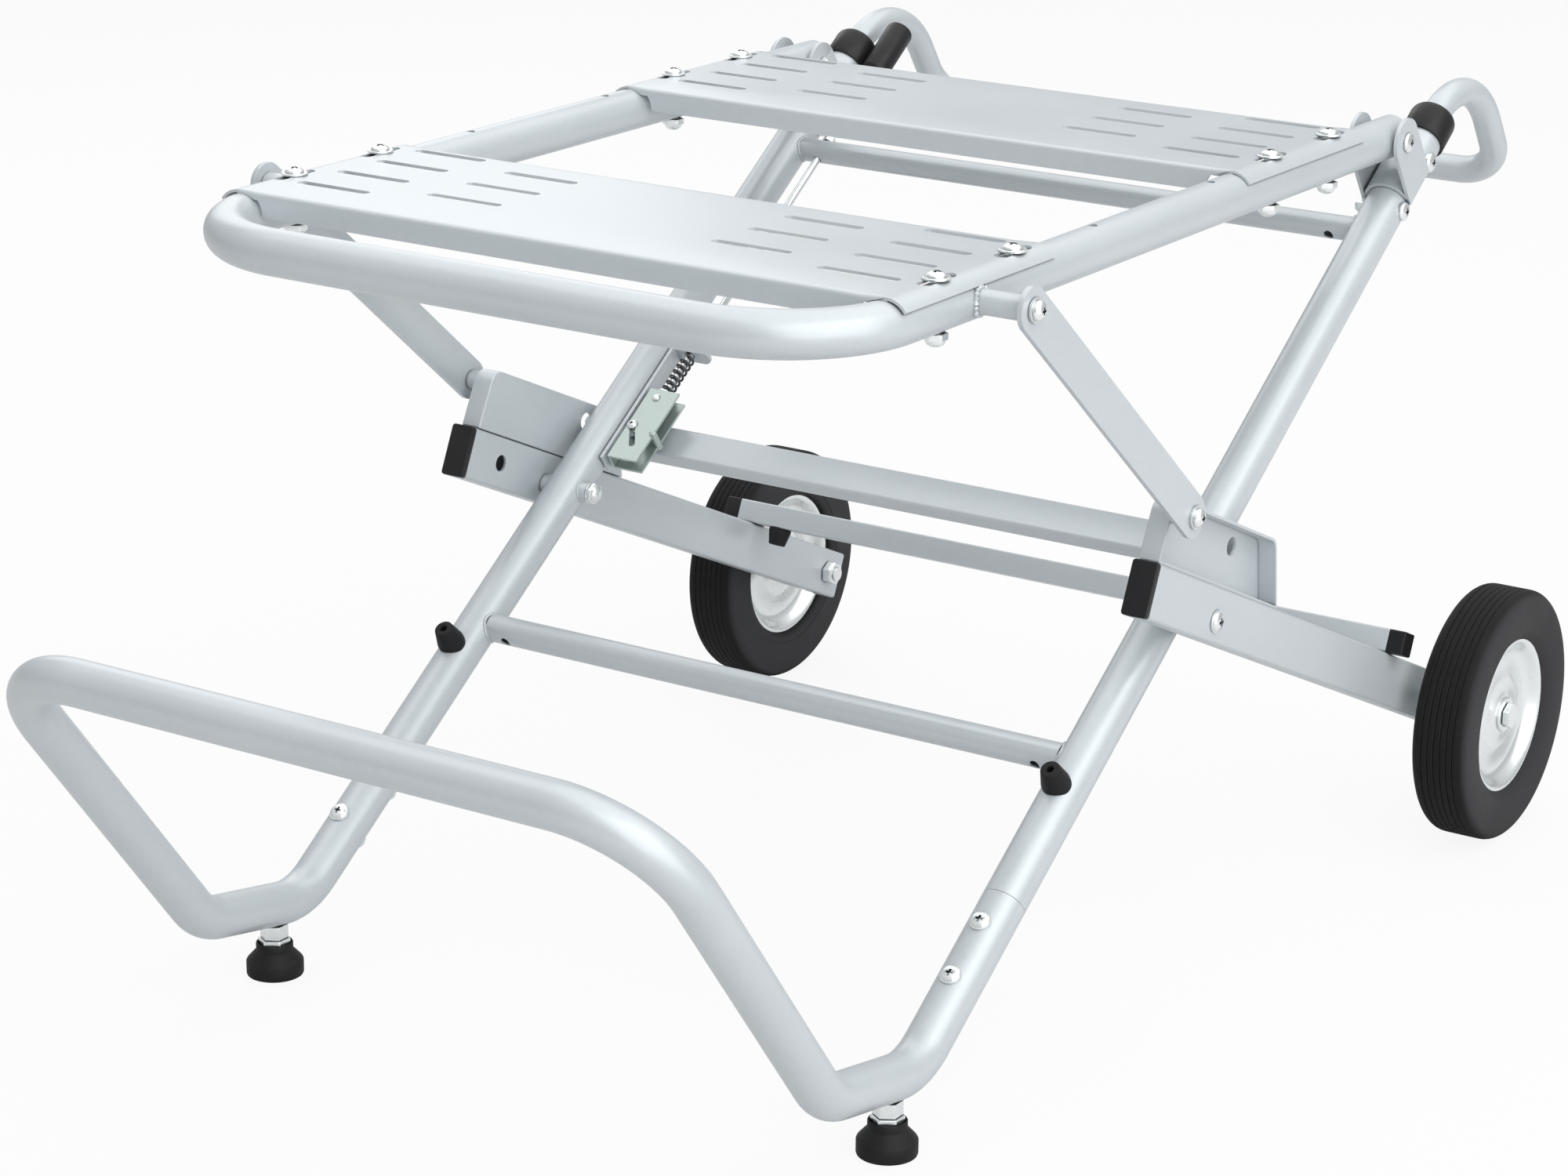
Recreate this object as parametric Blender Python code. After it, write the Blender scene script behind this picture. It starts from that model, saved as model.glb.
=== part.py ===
"""Folding rolling stand for a table saw, modelled as separate pieces on their joint axes.

Lengths are in metres, +X is the stand's right side, +Y its back (the handle end) and +Z up.
The levelling feet and the wheels stand on z = 0.
"""

import math

import bmesh
import bpy
from mathutils import Matrix, Vector

MM = 0.001

# Clearances
SEAT_GAP = 0.3 * MM
RUN_GAP = 0.5 * MM
CUT_OVERRUN = 2.0 * MM
SIDES = {"left": -1.0, "right": 1.0}

# Facets
TUBE_FACETS = 12
BOLT_FACETS = 8
NUT_FACETS = 12
WHEEL_FACETS = 24
BEND_STEP_DEG = 22.5
SHARP_ANGLE_DEG = 35.0
ACROSS_SHARE = 0.9

# Stance of the main frame, measured from the leg pivot
PIVOT_HEIGHT = 282.4 * MM
FRAME_TILT_DEG = 35.0
FRAME_HALF_WIDTH = 264.5 * MM
TUBE_RADIUS = 16.0 * MM
TUBE_WALL = 1.5 * MM
HINGE_REACH = 433.0 * MM
HINGE_TO_TOP = 57.0 * MM
MAIN_TUBE_TOP = HINGE_REACH + HINGE_TO_TOP
MAIN_TUBE_SHOULDER = 266.0 * MM
SPIGOT_LENGTH = 88.0 * MM
SPIGOT_WALL = 1.5 * MM

# Toe tube
TOE_BEND_HEIGHT = 48.0 * MM
TOE_FOOT_LENGTH = 109.0 * MM
TOE_FOOT_RISE_DEG = 10.6
TOE_LEG_LENGTH = 316.0 * MM
TOE_LEG_ANGLE_DEG = 52.1
TOE_FRONT_BEND = 46.0 * MM
TOE_REAR_BEND = 55.0 * MM
TOE_BAR_BEND = 74.0 * MM
TOE_BOLT_UPPER = 27.0 * MM
TOE_BOLT_PITCH = 46.0 * MM

# Crossbars between the main tubes
LOWER_BAR_PLACE = 141.0 * MM
LOWER_BAR_RADIUS = 10.75 * MM
UPPER_BAR_BACK = 51.0 * MM
UPPER_BAR_PLACE = HINGE_REACH - UPPER_BAR_BACK
UPPER_BAR_RADIUS = 9.5 * MM
BAR_WALL = 1.2 * MM
DRAIN_HOLE_RADIUS = 4.0 * MM
DRAIN_HOLE_INSET = 32.0 * MM

# Bumpers that the folded table rests on
BUMPER_PLACE = 172.0 * MM
BUMPER_BASE_RADIUS = 10.5 * MM
BUMPER_TIP_RADIUS = 7.0 * MM
BUMPER_HEIGHT = 16.0 * MM
BUMPER_HOLE_RADIUS = 2.6 * MM
BUMPER_HOLE_DEPTH = 9.0 * MM

# Handle and its collars
HANDLE_RADIUS = 11.0 * MM
HANDLE_REACH = 90.0 * MM
HANDLE_DROP = 135.0 * MM
HANDLE_TOP_BEND = 71.0 * MM
HANDLE_SIDE_BEND = 36.0 * MM
HANDLE_INSERT = 24.0 * MM
COLLAR_SKIRT = 10.0 * MM
COLLAR_NECK = 18.0 * MM
COLLAR_WALL = 2.0 * MM
COLLAR_ROUND = 4.0 * MM

# Table hinge and its brackets on the main tubes
HINGE_RISE = 48.5 * MM
BRACKET_SHEET = 3.0 * MM
BRACKET_HALF_WIDTH = 18.5 * MM
SADDLE_ARC_STEPS = 6
EAR_ARC_STEPS = 6

# Frame bolts beside each hinge bracket
FRAME_BOLT_BACK = 26.0 * MM
FRAME_BOLT_FRONT = 27.0 * MM

# Fasteners
SMALL_SHANK_RADIUS = 3.0 * MM
SMALL_HEAD_RADIUS = 6.5 * MM
SMALL_HEAD_HEIGHT = 3.6 * MM
SMALL_NUT_RADIUS = 6.5 * MM
SMALL_NUT_HEIGHT = 8.0 * MM
PIVOT_SHANK_RADIUS = 4.5 * MM
PIVOT_HEAD_RADIUS = 8.5 * MM
PIVOT_HEAD_HEIGHT = 4.6 * MM
PIVOT_NUT_RADIUS = 8.5 * MM
PIVOT_NUT_HEIGHT = 7.5 * MM
WASHER_RADIUS = 8.2 * MM
WASHER_THICKNESS = 1.4 * MM
FERRULE_RADIUS = 8.0 * MM
FERRULE_OVERHANG = 5.8 * MM
HINGE_SHANK_RADIUS = 4.0 * MM
HINGE_HEAD_RADIUS = 7.5 * MM
HINGE_HEAD_HEIGHT = 3.6 * MM
HINGE_NUT_HEIGHT = 6.5 * MM
HEAD_SUNK = 1.3 * MM
HEAD_EDGE_SHARE = 0.4
HEAD_CROWN_SHARE = 0.55
HEAD_CROWN_HEIGHT_SHARE = 0.86
NUT_EDGE_SHARE = 0.5
NUT_CROWN_SHARE = 0.62
HEX_FLAT_SHARE = 0.866

# Table frame
TABLE_INSET = 2.5 * MM
TABLE_HALF_WIDTH = FRAME_HALF_WIDTH - TABLE_INSET
TABLE_REACH = 779.2 * MM
TABLE_TAIL = 17.0 * MM
TABLE_BEND = 92.0 * MM
TABLE_HOLE_RADIUS = 3.2 * MM
TABLE_HOLE_FRONT = 448.0 * MM
TABLE_HOLE_REAR = 279.0 * MM

# Saw plates
PLATE_SHEET = 2.0 * MM
PLATE_DEPTH = 186.0 * MM
FRONT_PLATE_PLACE = 709.0 * MM
REAR_PLATE_PLACE = 247.0 * MM
PLATE_WRAP_DEG = 55.0
PLATE_LIP = 17.0 * MM
PLATE_BEND = 3.5 * MM
PLATE_BEND_STEPS = 1
LIP_NOTCH_GAP = 5.5 * MM
LIP_NOTCH_STEPS = 3
PLATES = {"front": FRONT_PLATE_PLACE, "rear": REAR_PLATE_PLACE}
SLOT_WIDTH = 8.0 * MM
SLOT_LENGTH = 62.0 * MM
SLOT_OUTER_INSET = 48.0 * MM
SLOT_COLUMN_PITCH = 96.5 * MM
SLOT_OUTER_CENTRE = TABLE_HALF_WIDTH - SLOT_OUTER_INSET
SLOT_INNER_CENTRE = SLOT_OUTER_CENTRE - SLOT_COLUMN_PITCH
SLOT_PITCH = 43.6 * MM
SLOT_OUTER_ROWS = 4
SLOT_INNER_ROWS = 3
SLOT_SETBACK = 16.4 * MM
SLOT_ARC_STEPS = 2
CLAMP_SLOT_WIDTH = 9.6 * MM
CLAMP_SLOT_LENGTH = 40.0 * MM
CLAMP_BOLT_PITCH = 95.0 * MM
CLAMP_SETBACK = 14.5 * MM
CLAMP_HEAD_RADIUS = 9.3 * MM
CLAMP_HEAD_HEIGHT = 5.2 * MM
CLAMP_NUT_RADIUS = 8.5 * MM
CLAMP_NUT_HEIGHT = 9.5 * MM

# Links from the table to the wheel frame
LINK_PLACE = 618.5 * MM
LINK_STANDOFF = 34.0 * MM
LINK_THICKNESS = 4.0 * MM
LINK_WIDTH = 31.0 * MM
LINK_ARC_STEPS = 6
LINK_BOSS_RADIUS = 8.5 * MM
LINK_SHANK_RADIUS = 4.0 * MM
LINK_HEAD_RADIUS = 6.6 * MM
LINK_HEAD_HEIGHT = 6.5 * MM
LINK_SHANK_LENGTH = 26.0 * MM
LINK_BUSH_RADIUS = 7.7 * MM

# Wheel frame
LEG_INSET = 5.4 * MM
LEG_WIDTH = 20.0 * MM
LEG_DEPTH = 40.0 * MM
LEG_WALL = 2.0 * MM
LEG_CORNER = 2.5 * MM
LEG_FRONT = 105.0 * MM
LEG_TAIL = 21.4 * MM
LEG_OFFSET = 4.24 * MM
AXLE_REACH = 451.9 * MM
LEG_HOLE_RADIUS = 6.5 * MM
LEG_HOLE_PLACE = 64.4 * MM
CAP_HEAD = 5.0 * MM
CAP_STEM = 12.0 * MM
CAP_CROWN = 1.2 * MM
BRACKET_WEB = 2.0 * MM
BRACKET_FLANGE = 16.3 * MM
BRACKET_FRONT_LOW = 103.0 * MM
BRACKET_FRONT_TOP = 101.0 * MM
BRACKET_REAR_TOP = 76.0 * MM
BRACKET_REAR_LOW = 104.0 * MM
BRACKET_FRONT_HEIGHT = 47.0 * MM
BRACKET_REAR_HEIGHT = 48.0 * MM
BRACKET_CORNER = 12.0 * MM
BRACKET_CORNER_STEPS = 3
LINK_PIN_FORWARD = 92.0 * MM
LINK_PIN_RISE = 61.5 * MM
CROSS_TUBE_PLACE = 75.5 * MM
CROSS_TUBE_LENGTHWAYS = 29.0 * MM
CROSS_TUBE_HEIGHT = 14.0 * MM
CROSS_TUBE_WALL = 1.5 * MM
SQUARE_BAR_PLACE = 323.5 * MM
SQUARE_BAR_SIZE = 18.5 * MM
SQUARE_BAR_CORNER = 1.5 * MM
SQUARE_BAR_OVERHANG = 17.3 * MM
SQUARE_BAR_WALL = 1.5 * MM
BAR_CAP_LENGTH = 13.5 * MM
BAR_BUMPER_HEIGHT = 14.0 * MM
BAR_BUMPER_BASE_RADIUS = 9.5 * MM
BAR_BUMPER_TIP_RADIUS = 7.0 * MM

# Wheels
WHEEL_RADIUS = 101.6 * MM
WHEEL_STANDOFF = 15.5 * MM
TYRE_WIDTH = 45.8 * MM
TYRE_BEAD_RADIUS = 62.0 * MM
TYRE_SHOULDER = 9.0 * MM
TREAD_GROOVES = 4
TREAD_GROOVE_DEPTH = 2.4 * MM
TREAD_LAND_SHARE = 0.62
RIM_RADIUS = 63.3 * MM
RIM_INSET = 5.6 * MM
RIM_SHEET = 2.0 * MM
RIM_WELL_RADIUS = 50.0 * MM
DISC_DISH = 9.0 * MM
HUB_RADIUS = 14.0 * MM
AXLE_RADIUS = 6.0 * MM
AXLE_HEAD_RADIUS = 10.5 * MM
AXLE_HEAD_HEIGHT = 5.5 * MM
AXLE_NUT_HEIGHT = 9.0 * MM
AXLE_END = 2.0 * MM
HUB_FACE_SHARE = 0.72

# Levelling feet
FOOT_SETBACK = 29.4 * MM
PAD_RADIUS = 21.0 * MM
PAD_EDGE = 1.5 * MM
PAD_BODY_HEIGHT = 11.0 * MM
PAD_NECK_RADIUS = 13.6 * MM
PAD_SHOULDER_HEIGHT = 18.5 * MM
PAD_HEIGHT = 25.0 * MM
PAD_CUP_DEPTH = 5.0 * MM
PAD_CUP_RADIUS = 12.6 * MM
PAD_FLOOR = 8.0 * MM
STUD_RADIUS = 5.0 * MM
STUD_TOP = 6.0 * MM
LOCK_NUT_RADIUS = 12.0 * MM
LOCK_NUT_HEIGHT = 8.0 * MM
WELD_NUT_RADIUS = 10.5 * MM

# Release latch on the left main tube
LOCK_PLACE = 67.0 * MM
LOCK_PIN_RADIUS = 5.0 * MM
LOCK_PIN_TIP = 4.7 * MM
LOCK_PIN_TAIL = 16.5 * MM
LOCK_HOLE_RADIUS = 7.0 * MM
GUIDE_SHEET = 3.0 * MM
GUIDE_HALF_WIDTH = 8.0 * MM
GUIDE_START = 30.0 * MM
GUIDE_END = 153.0 * MM
GUIDE_TAB = 34.0 * MM
GUIDE_ARC_STEPS = 6
ROD_INSET = 32.0 * MM
ROD_RADIUS = 3.0 * MM
ROD_START = 90.0 * MM
ROD_FLANGE_RADIUS = 7.4 * MM
ROD_FLANGE_PLACE = 107.2 * MM
ROD_FLANGE_THICKNESS = 1.3 * MM
ROD_NUT_RADIUS = 5.6 * MM
ROD_NUT_HEIGHT = 5.0 * MM
GRIP_RADIUS = 11.5 * MM
GRIP_BACK = 14.0 * MM
GRIP_LENGTH = 51.0 * MM
GRIP_COVER = 22.0 * MM
GRIP_ROUND = 2.5 * MM
GRIP_START = MAIN_TUBE_TOP - GRIP_BACK
GRIP_END = GRIP_START + GRIP_LENGTH
ROD_TOP = GRIP_END - GRIP_COVER
LATCH_SHEET = 2.0 * MM
LATCH_HALF_HEIGHT = 7.5 * MM
LATCH_INSET = 21.9 * MM
LATCH_WIDTH = 27.5 * MM
LATCH_START = 33.0 * MM
LATCH_END = 105.5 * MM
LATCH_SLOT_RUN = 18.4 * MM
LATCH_SLOT_RISE = 10.0 * MM
LATCH_SLOT_WIDTH = 5.0 * MM
LATCH_ARC_STEPS = 4
LOCK_SCREW_RADIUS = 2.1 * MM
LOCK_SCREW_INSET = 26.5 * MM
LOCK_SCREW_HEAD_RADIUS = 4.4 * MM
LOCK_SCREW_HEAD_HEIGHT = 2.6 * MM
RIVET_PLACE = 97.0 * MM
RIVET_RADIUS = 1.6 * MM
RIVET_HEAD_RADIUS = 3.4 * MM
RIVET_HEAD_HEIGHT = 1.8 * MM
SPACER_PLACE = 62.0 * MM
SPACER_INSET = 49.0 * MM
SPRING_MEAN_RADIUS = 4.8 * MM
SPRING_WIRE_RADIUS = 1.0 * MM
SPRING_TURNS = 6.25
SPRING_POINTS_PER_TURN = 10
SPRING_BEVEL_RESOLUTION = 1

# Frames of reference
AXLE_RADIAL = math.hypot(AXLE_REACH, LEG_OFFSET)
LEG_TILT = math.atan2(LEG_OFFSET, AXLE_REACH) + math.asin((PIVOT_HEIGHT - WHEEL_RADIUS) / AXLE_RADIAL)
FRAME_TILT = math.radians(FRAME_TILT_DEG)
FRAME_AXIS = Vector((0.0, math.cos(FRAME_TILT), math.sin(FRAME_TILT)))
FRAME_NORMAL = Vector((0.0, -math.sin(FRAME_TILT), math.cos(FRAME_TILT)))
X_AXIS = Vector((1.0, 0.0, 0.0))
Y_AXIS = Vector((0.0, 1.0, 0.0))
Z_AXIS = Vector((0.0, 0.0, 1.0))

TOE_START = (PIVOT_HEIGHT - TOE_BEND_HEIGHT) / math.sin(FRAME_TILT)
TOE_FOOT_RISE = math.radians(TOE_FOOT_RISE_DEG)
TOE_LEG_ANGLE = math.radians(TOE_LEG_ANGLE_DEG)
TOE_REACH = (
    TOE_START * math.cos(FRAME_TILT)
    + TOE_FOOT_LENGTH * math.cos(TOE_FOOT_RISE)
    + TOE_LEG_LENGTH * math.cos(TOE_LEG_ANGLE)
    + TUBE_RADIUS
)
HANDLE_BACK = (
    (MAIN_TUBE_TOP + HANDLE_REACH) * math.cos(FRAME_TILT)
    + HANDLE_DROP * math.sin(FRAME_TILT)
    + HANDLE_RADIUS
)
PIVOT = Vector((0.0, (TOE_REACH - HANDLE_BACK) / 2.0, PIVOT_HEIGHT))
HINGE = PIVOT + FRAME_AXIS * HINGE_REACH + FRAME_NORMAL * HINGE_RISE
WORLD = Matrix.Identity(4)
FRAME = Matrix.Translation(PIVOT) @ Matrix.Rotation(FRAME_TILT, 4, "X")
LEG = Matrix.Translation(PIVOT) @ Matrix.Rotation(-LEG_TILT, 4, "X")
TABLE = Matrix.Translation(HINGE)

FERRULE_INNER = FRAME_HALF_WIDTH - TUBE_RADIUS - FERRULE_OVERHANG
LEG_INNER = FRAME_HALF_WIDTH + TUBE_RADIUS + LEG_INSET + SEAT_GAP
LEG_OUTER = LEG_INNER + LEG_WIDTH
FERRULE_OUTER = LEG_INNER - SEAT_GAP
LEG_TOP = LEG_OFFSET + LEG_DEPTH / 2.0
LINK_INNER = TABLE_HALF_WIDTH + TUBE_RADIUS + LINK_STANDOFF
TYRE_INNER = LEG_OUTER + WHEEL_STANDOFF
TYRE_OUTER = TYRE_INNER + TYRE_WIDTH
AXLE = LEG @ Vector((0.0, AXLE_REACH, LEG_OFFSET))
TABLE_LINK = HINGE - Y_AXIS * LINK_PLACE
FRAME_LINK = LEG @ Vector((0.0, -LINK_PIN_FORWARD, LINK_PIN_RISE))
ROD_OFFSET = FRAME_HALF_WIDTH - ROD_INSET
EAR_OUTER = FRAME_HALF_WIDTH + TUBE_RADIUS + SEAT_GAP
EAR_INNER = TABLE_HALF_WIDTH - TUBE_RADIUS - SEAT_GAP
FOOT_NUT_SEAT = PAD_HEIGHT - PAD_CUP_DEPTH + SEAT_GAP
FOOT_NUT_TOP = FOOT_NUT_SEAT + LOCK_NUT_HEIGHT
LEVEL_TOP = TUBE_RADIUS + SEAT_GAP + PLATE_SHEET


def foot_place(side):
    """The point on the toe tube's axis that stands over a levelling foot."""
    start = PIVOT - FRAME_AXIS * TOE_START
    back = FOOT_SETBACK / math.cos(TOE_FOOT_RISE)
    lean = Vector((0.0, -math.cos(TOE_FOOT_RISE), math.sin(TOE_FOOT_RISE)))
    return start + lean * back + X_AXIS * (side * FRAME_HALF_WIDTH)


# Finishes: colour, roughness and metallic value
FINISHES = {
    "powder_coat": ((0.62, 0.65, 0.68), 0.42, 0.35),
    "zinc": ((0.78, 0.80, 0.80), 0.28, 0.95),
    "yellow_zinc": ((0.66, 0.68, 0.40), 0.35, 0.85),
    "spring_steel": ((0.20, 0.20, 0.21), 0.40, 0.80),
    "black_rubber": ((0.025, 0.025, 0.027), 0.75, 0.0),
    "black_plastic": ((0.03, 0.03, 0.032), 0.45, 0.0),
    "tyre_rubber": ((0.035, 0.035, 0.038), 0.80, 0.0),
}

BODY_AXES = {
    "main_frame": Vector((0.0, 0.0, 0.0)),
    "table": HINGE,
    "wheel_frame": PIVOT,
    "release_rod": FRAME @ Vector((-ROD_OFFSET, LOCK_PLACE, 0.0)),
    "lock_pin": FRAME @ Vector((-FRAME_HALF_WIDTH, LOCK_PLACE, 0.0)),
}
for side_name, side_sign in SIDES.items():
    BODY_AXES[f"link_{side_name}"] = TABLE_LINK + X_AXIS * (side_sign * LINK_INNER)
    BODY_AXES[f"wheel_{side_name}"] = AXLE + X_AXIS * (side_sign * LEG_OUTER)
    BODY_AXES[f"foot_{side_name}"] = foot_place(side_sign)


def clear_scene():
    """Take every object and its data out of the file."""
    for obj in list(bpy.data.objects):
        bpy.data.objects.remove(obj, do_unlink=True)


def add_empties():
    """One empty on each body's joint axis."""
    empties = {}
    for body, place in BODY_AXES.items():
        empty = bpy.data.objects.new(f"{body}_axis", None)
        empty.location = place
        empty.empty_display_size = TUBE_RADIUS
        bpy.context.scene.collection.objects.link(empty)
        empties[body] = empty
    return empties


def make_material(name, finish):
    """A Principled material of one of the named finishes."""
    colour, roughness, metallic = FINISHES[finish]
    material = bpy.data.materials.new(name)
    material.use_nodes = True
    shader = material.node_tree.nodes["Principled BSDF"]
    shader.inputs["Base Color"].default_value = (*colour, 1.0)
    shader.inputs["Roughness"].default_value = roughness
    shader.inputs["Metallic"].default_value = metallic
    return material


def place_mesh(name, bm, body, place, smooth=True, closed=True):
    """Turn a shape in the frame `place` into an object that hangs on its body's empty."""
    origin = BODY_AXES[body]
    bmesh.ops.transform(bm, matrix=Matrix.Translation(-origin) @ place, verts=bm.verts)
    if closed:
        bmesh.ops.recalc_face_normals(bm, faces=bm.faces)
    mesh = bpy.data.meshes.new(name)
    bm.to_mesh(mesh)
    bm.free()
    if smooth:
        mesh.shade_smooth()
        mesh.set_sharp_from_angle(angle=math.radians(SHARP_ANGLE_DEG))
    obj = bpy.data.objects.new(name, mesh)
    bpy.context.scene.collection.objects.link(obj)
    obj.parent = EMPTIES[body]
    return obj


def add_part(name, bm, body, finish, place=WORLD, smooth=True, closed=True):
    """Add one named sub-part of the stand."""
    obj = place_mesh(name, bm, body, place, smooth, closed)
    obj.data.materials.append(make_material(f"{name}_finish", finish))
    return obj


def add_boolean(target, bm, body, operation, place=WORLD):
    """Cut a shape out of a part, join it on, or keep only what they share."""
    count = len(target.modifiers)
    helper = place_mesh(f"{target.name}_{operation.lower()}_{count}", bm, body, place, False)
    helper.hide_render = True
    helper.display_type = "WIRE"
    modifier = target.modifiers.new(helper.name, "BOOLEAN")
    modifier.operation = operation
    modifier.solver = "EXACT"
    modifier.object = helper
    return helper


def basis(direction):
    """Two unit vectors square to a direction, the first one along X where it can be."""
    axis = direction.normalized()
    guide = Y_AXIS if abs(axis.x) > ACROSS_SHARE else X_AXIS
    side = (guide - axis * guide.dot(axis)).normalized()
    return side, axis.cross(side)


def circle(radius, facets):
    """Corner points of a regular outline, in its own plane; a single point at radius zero."""
    if radius <= 0.0:
        return [(0.0, 0.0)]
    turns = [math.tau * index / facets for index in range(facets)]
    return [(radius * math.cos(turn), radius * math.sin(turn)) for turn in turns]


def hexagon(radius):
    """A hexagon by its corner radius, with a point in the middle of each side as well."""
    outline = []
    for index, (x, y) in enumerate(circle(radius, NUT_FACETS)):
        reach = 1.0 if index % 2 == 0 else HEX_FLAT_SHARE
        outline.append((x * reach, y * reach))
    return outline


def box_outline(width, depth, corner):
    """A rectangle with cut corners, in its own plane."""
    half_w = width / 2.0
    half_d = depth / 2.0
    quarter = [(half_w, half_d - corner), (half_w - corner, half_d)]
    points = quarter + [(-x, y) for x, y in reversed(quarter)]
    return points + [(-x, -y) for x, y in quarter] + [(x, -y) for x, y in reversed(quarter)]


def skin(bm, first, second):
    """Faces between two closed loops of vertices; a loop of one vertex is a point."""
    count = max(len(first), len(second))
    for index in range(count):
        following = (index + 1) % count
        corners = [
            first[index % len(first)],
            first[following % len(first)],
            second[following % len(second)],
            second[index % len(second)],
        ]
        bm.faces.new(list(dict.fromkeys(corners)))


def sweep(bm, path, outline, bore=None):
    """Carry an outline along a path of points; a bore outline makes it a hollow tube."""
    steps = [(b - a).normalized() for a, b in zip(path, path[1:])]
    tangents = [steps[0]]
    tangents += [(a + b).normalized() for a, b in zip(steps, steps[1:])]
    tangents.append(steps[-1])
    side, _ = basis(tangents[0])
    shapes = [outline, bore] if bore else [outline]
    shells = [[] for _ in shapes]
    for point, tangent in zip(path, tangents):
        side = (side - tangent * side.dot(tangent)).normalized()
        up = tangent.cross(side)
        for shell, shape in zip(shells, shapes):
            shell.append([bm.verts.new(point + side * x + up * y) for x, y in shape])
    for shell in shells:
        for first, second in zip(shell, shell[1:]):
            skin(bm, first, second)
    if bore:
        for end in (0, -1):
            skin(bm, shells[0][end], shells[1][end])
    else:
        bm.faces.new(shells[0][0])
        bm.faces.new(list(reversed(shells[0][-1])))


def stack(bm, levels, origin, direction, ring=False):
    """Join (outline, height) levels along an axis; ring=True closes the stack on itself."""
    axis = direction.normalized()
    side, up = basis(axis)
    loops = []
    for outline, height in levels:
        centre = origin + axis * height
        loops.append([bm.verts.new(centre + side * x + up * y) for x, y in outline])
    for first, second in zip(loops, loops[1:]):
        skin(bm, first, second)
    if ring:
        skin(bm, loops[-1], loops[0])
    else:
        for loop in (loops[0], loops[-1]):
            if len(loop) > 1:
                bm.faces.new(loop)


def turned(bm, profile, origin, direction, facets, ring=False):
    """Turn (radius, height) points about an axis; ring=True closes the profile on itself."""
    levels = [(circle(radius, facets), height) for radius, height in profile]
    stack(bm, levels, origin, direction, ring)


def rod(bm, radius, start, end, facets=BOLT_FACETS):
    """A plain round bar from one point to another."""
    sweep(bm, [start, end], circle(radius, facets))


def prism(bm, outline, offset):
    """Extrude a flat outline of points by an offset."""
    first = [bm.verts.new(point) for point in outline]
    second = [bm.verts.new(point + offset) for point in outline]
    skin(bm, first, second)
    bm.faces.new(first)
    bm.faces.new(list(reversed(second)))


def dome_head(head, height, sunk=0.0):
    """Levels of a dome head whose seat is at height zero."""
    return [
        (circle(head, BOLT_FACETS), -sunk),
        (circle(head, BOLT_FACETS), height * HEAD_EDGE_SHARE),
        (circle(head * HEAD_CROWN_SHARE, BOLT_FACETS), height),
    ]


def dome_nut(nut, height, seat, sunk=0.0):
    """Levels of a domed nut below a bolt's head, its seat at height `seat`, its end first."""
    return [
        (circle(nut * NUT_CROWN_SHARE, BOLT_FACETS), seat - height),
        (circle(nut, BOLT_FACETS), seat - height * NUT_EDGE_SHARE),
        (circle(nut, BOLT_FACETS), seat + sunk),
    ]


def shank_levels(shank, start, end, collars=()):
    """Levels of a shank from `start` up to `end`, with thicker collars given as (from, to, radius)."""
    levels = [(circle(shank, BOLT_FACETS), start)]
    for low, high, radius in collars:
        levels += [
            (circle(shank, BOLT_FACETS), low),
            (circle(radius, BOLT_FACETS), low),
            (circle(radius, BOLT_FACETS), high),
            (circle(shank, BOLT_FACETS), high),
        ]
    levels.append((circle(shank, BOLT_FACETS), end))
    return levels


def tube_bolt(bm, centre, outward):
    """A small bolt through a round tube, its head and nut bedded in the tube's curved wall."""
    across_tube = 2.0 * TUBE_RADIUS
    levels = dome_nut(SMALL_NUT_RADIUS, SMALL_NUT_HEIGHT, -across_tube, HEAD_SUNK)
    levels += shank_levels(SMALL_SHANK_RADIUS, -across_tube + HEAD_SUNK, -HEAD_SUNK)
    levels += dome_head(SMALL_HEAD_RADIUS, SMALL_HEAD_HEIGHT, HEAD_SUNK)
    stack(bm, levels, centre + outward * TUBE_RADIUS, outward)


def rounded_path(points, radii):
    """A path with each inner corner turned into an arc of its radius."""
    path = [points[0]]
    for before, corner, after, radius in zip(points, points[1:], points[2:], radii):
        towards = (before - corner).normalized()
        away = (after - corner).normalized()
        turn = math.pi - towards.angle(away)
        reach = radius * math.tan(turn / 2.0)
        centre = corner + (towards + away).normalized() * (radius / math.cos(turn / 2.0))
        start = corner + towards * reach - centre
        end = corner + away * reach - centre
        steps = round(math.degrees(turn) / BEND_STEP_DEG)
        for index in range(steps + 1):
            share = index / steps
            blend = start * math.sin((1.0 - share) * turn) + end * math.sin(share * turn)
            path.append(centre + blend / math.sin(turn))
    path.append(points[-1])
    return path


def mirrored(points):
    """The points, then the same points mirrored in x = 0, in reverse order."""
    return points + [Vector((-point.x, point.y, point.z)) for point in reversed(points)]


def across(side, inner, outer, y, z):
    """Two points on a line along X at one side of the stand."""
    return Vector((side * inner, y, z)), Vector((side * outer, y, z))


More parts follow.
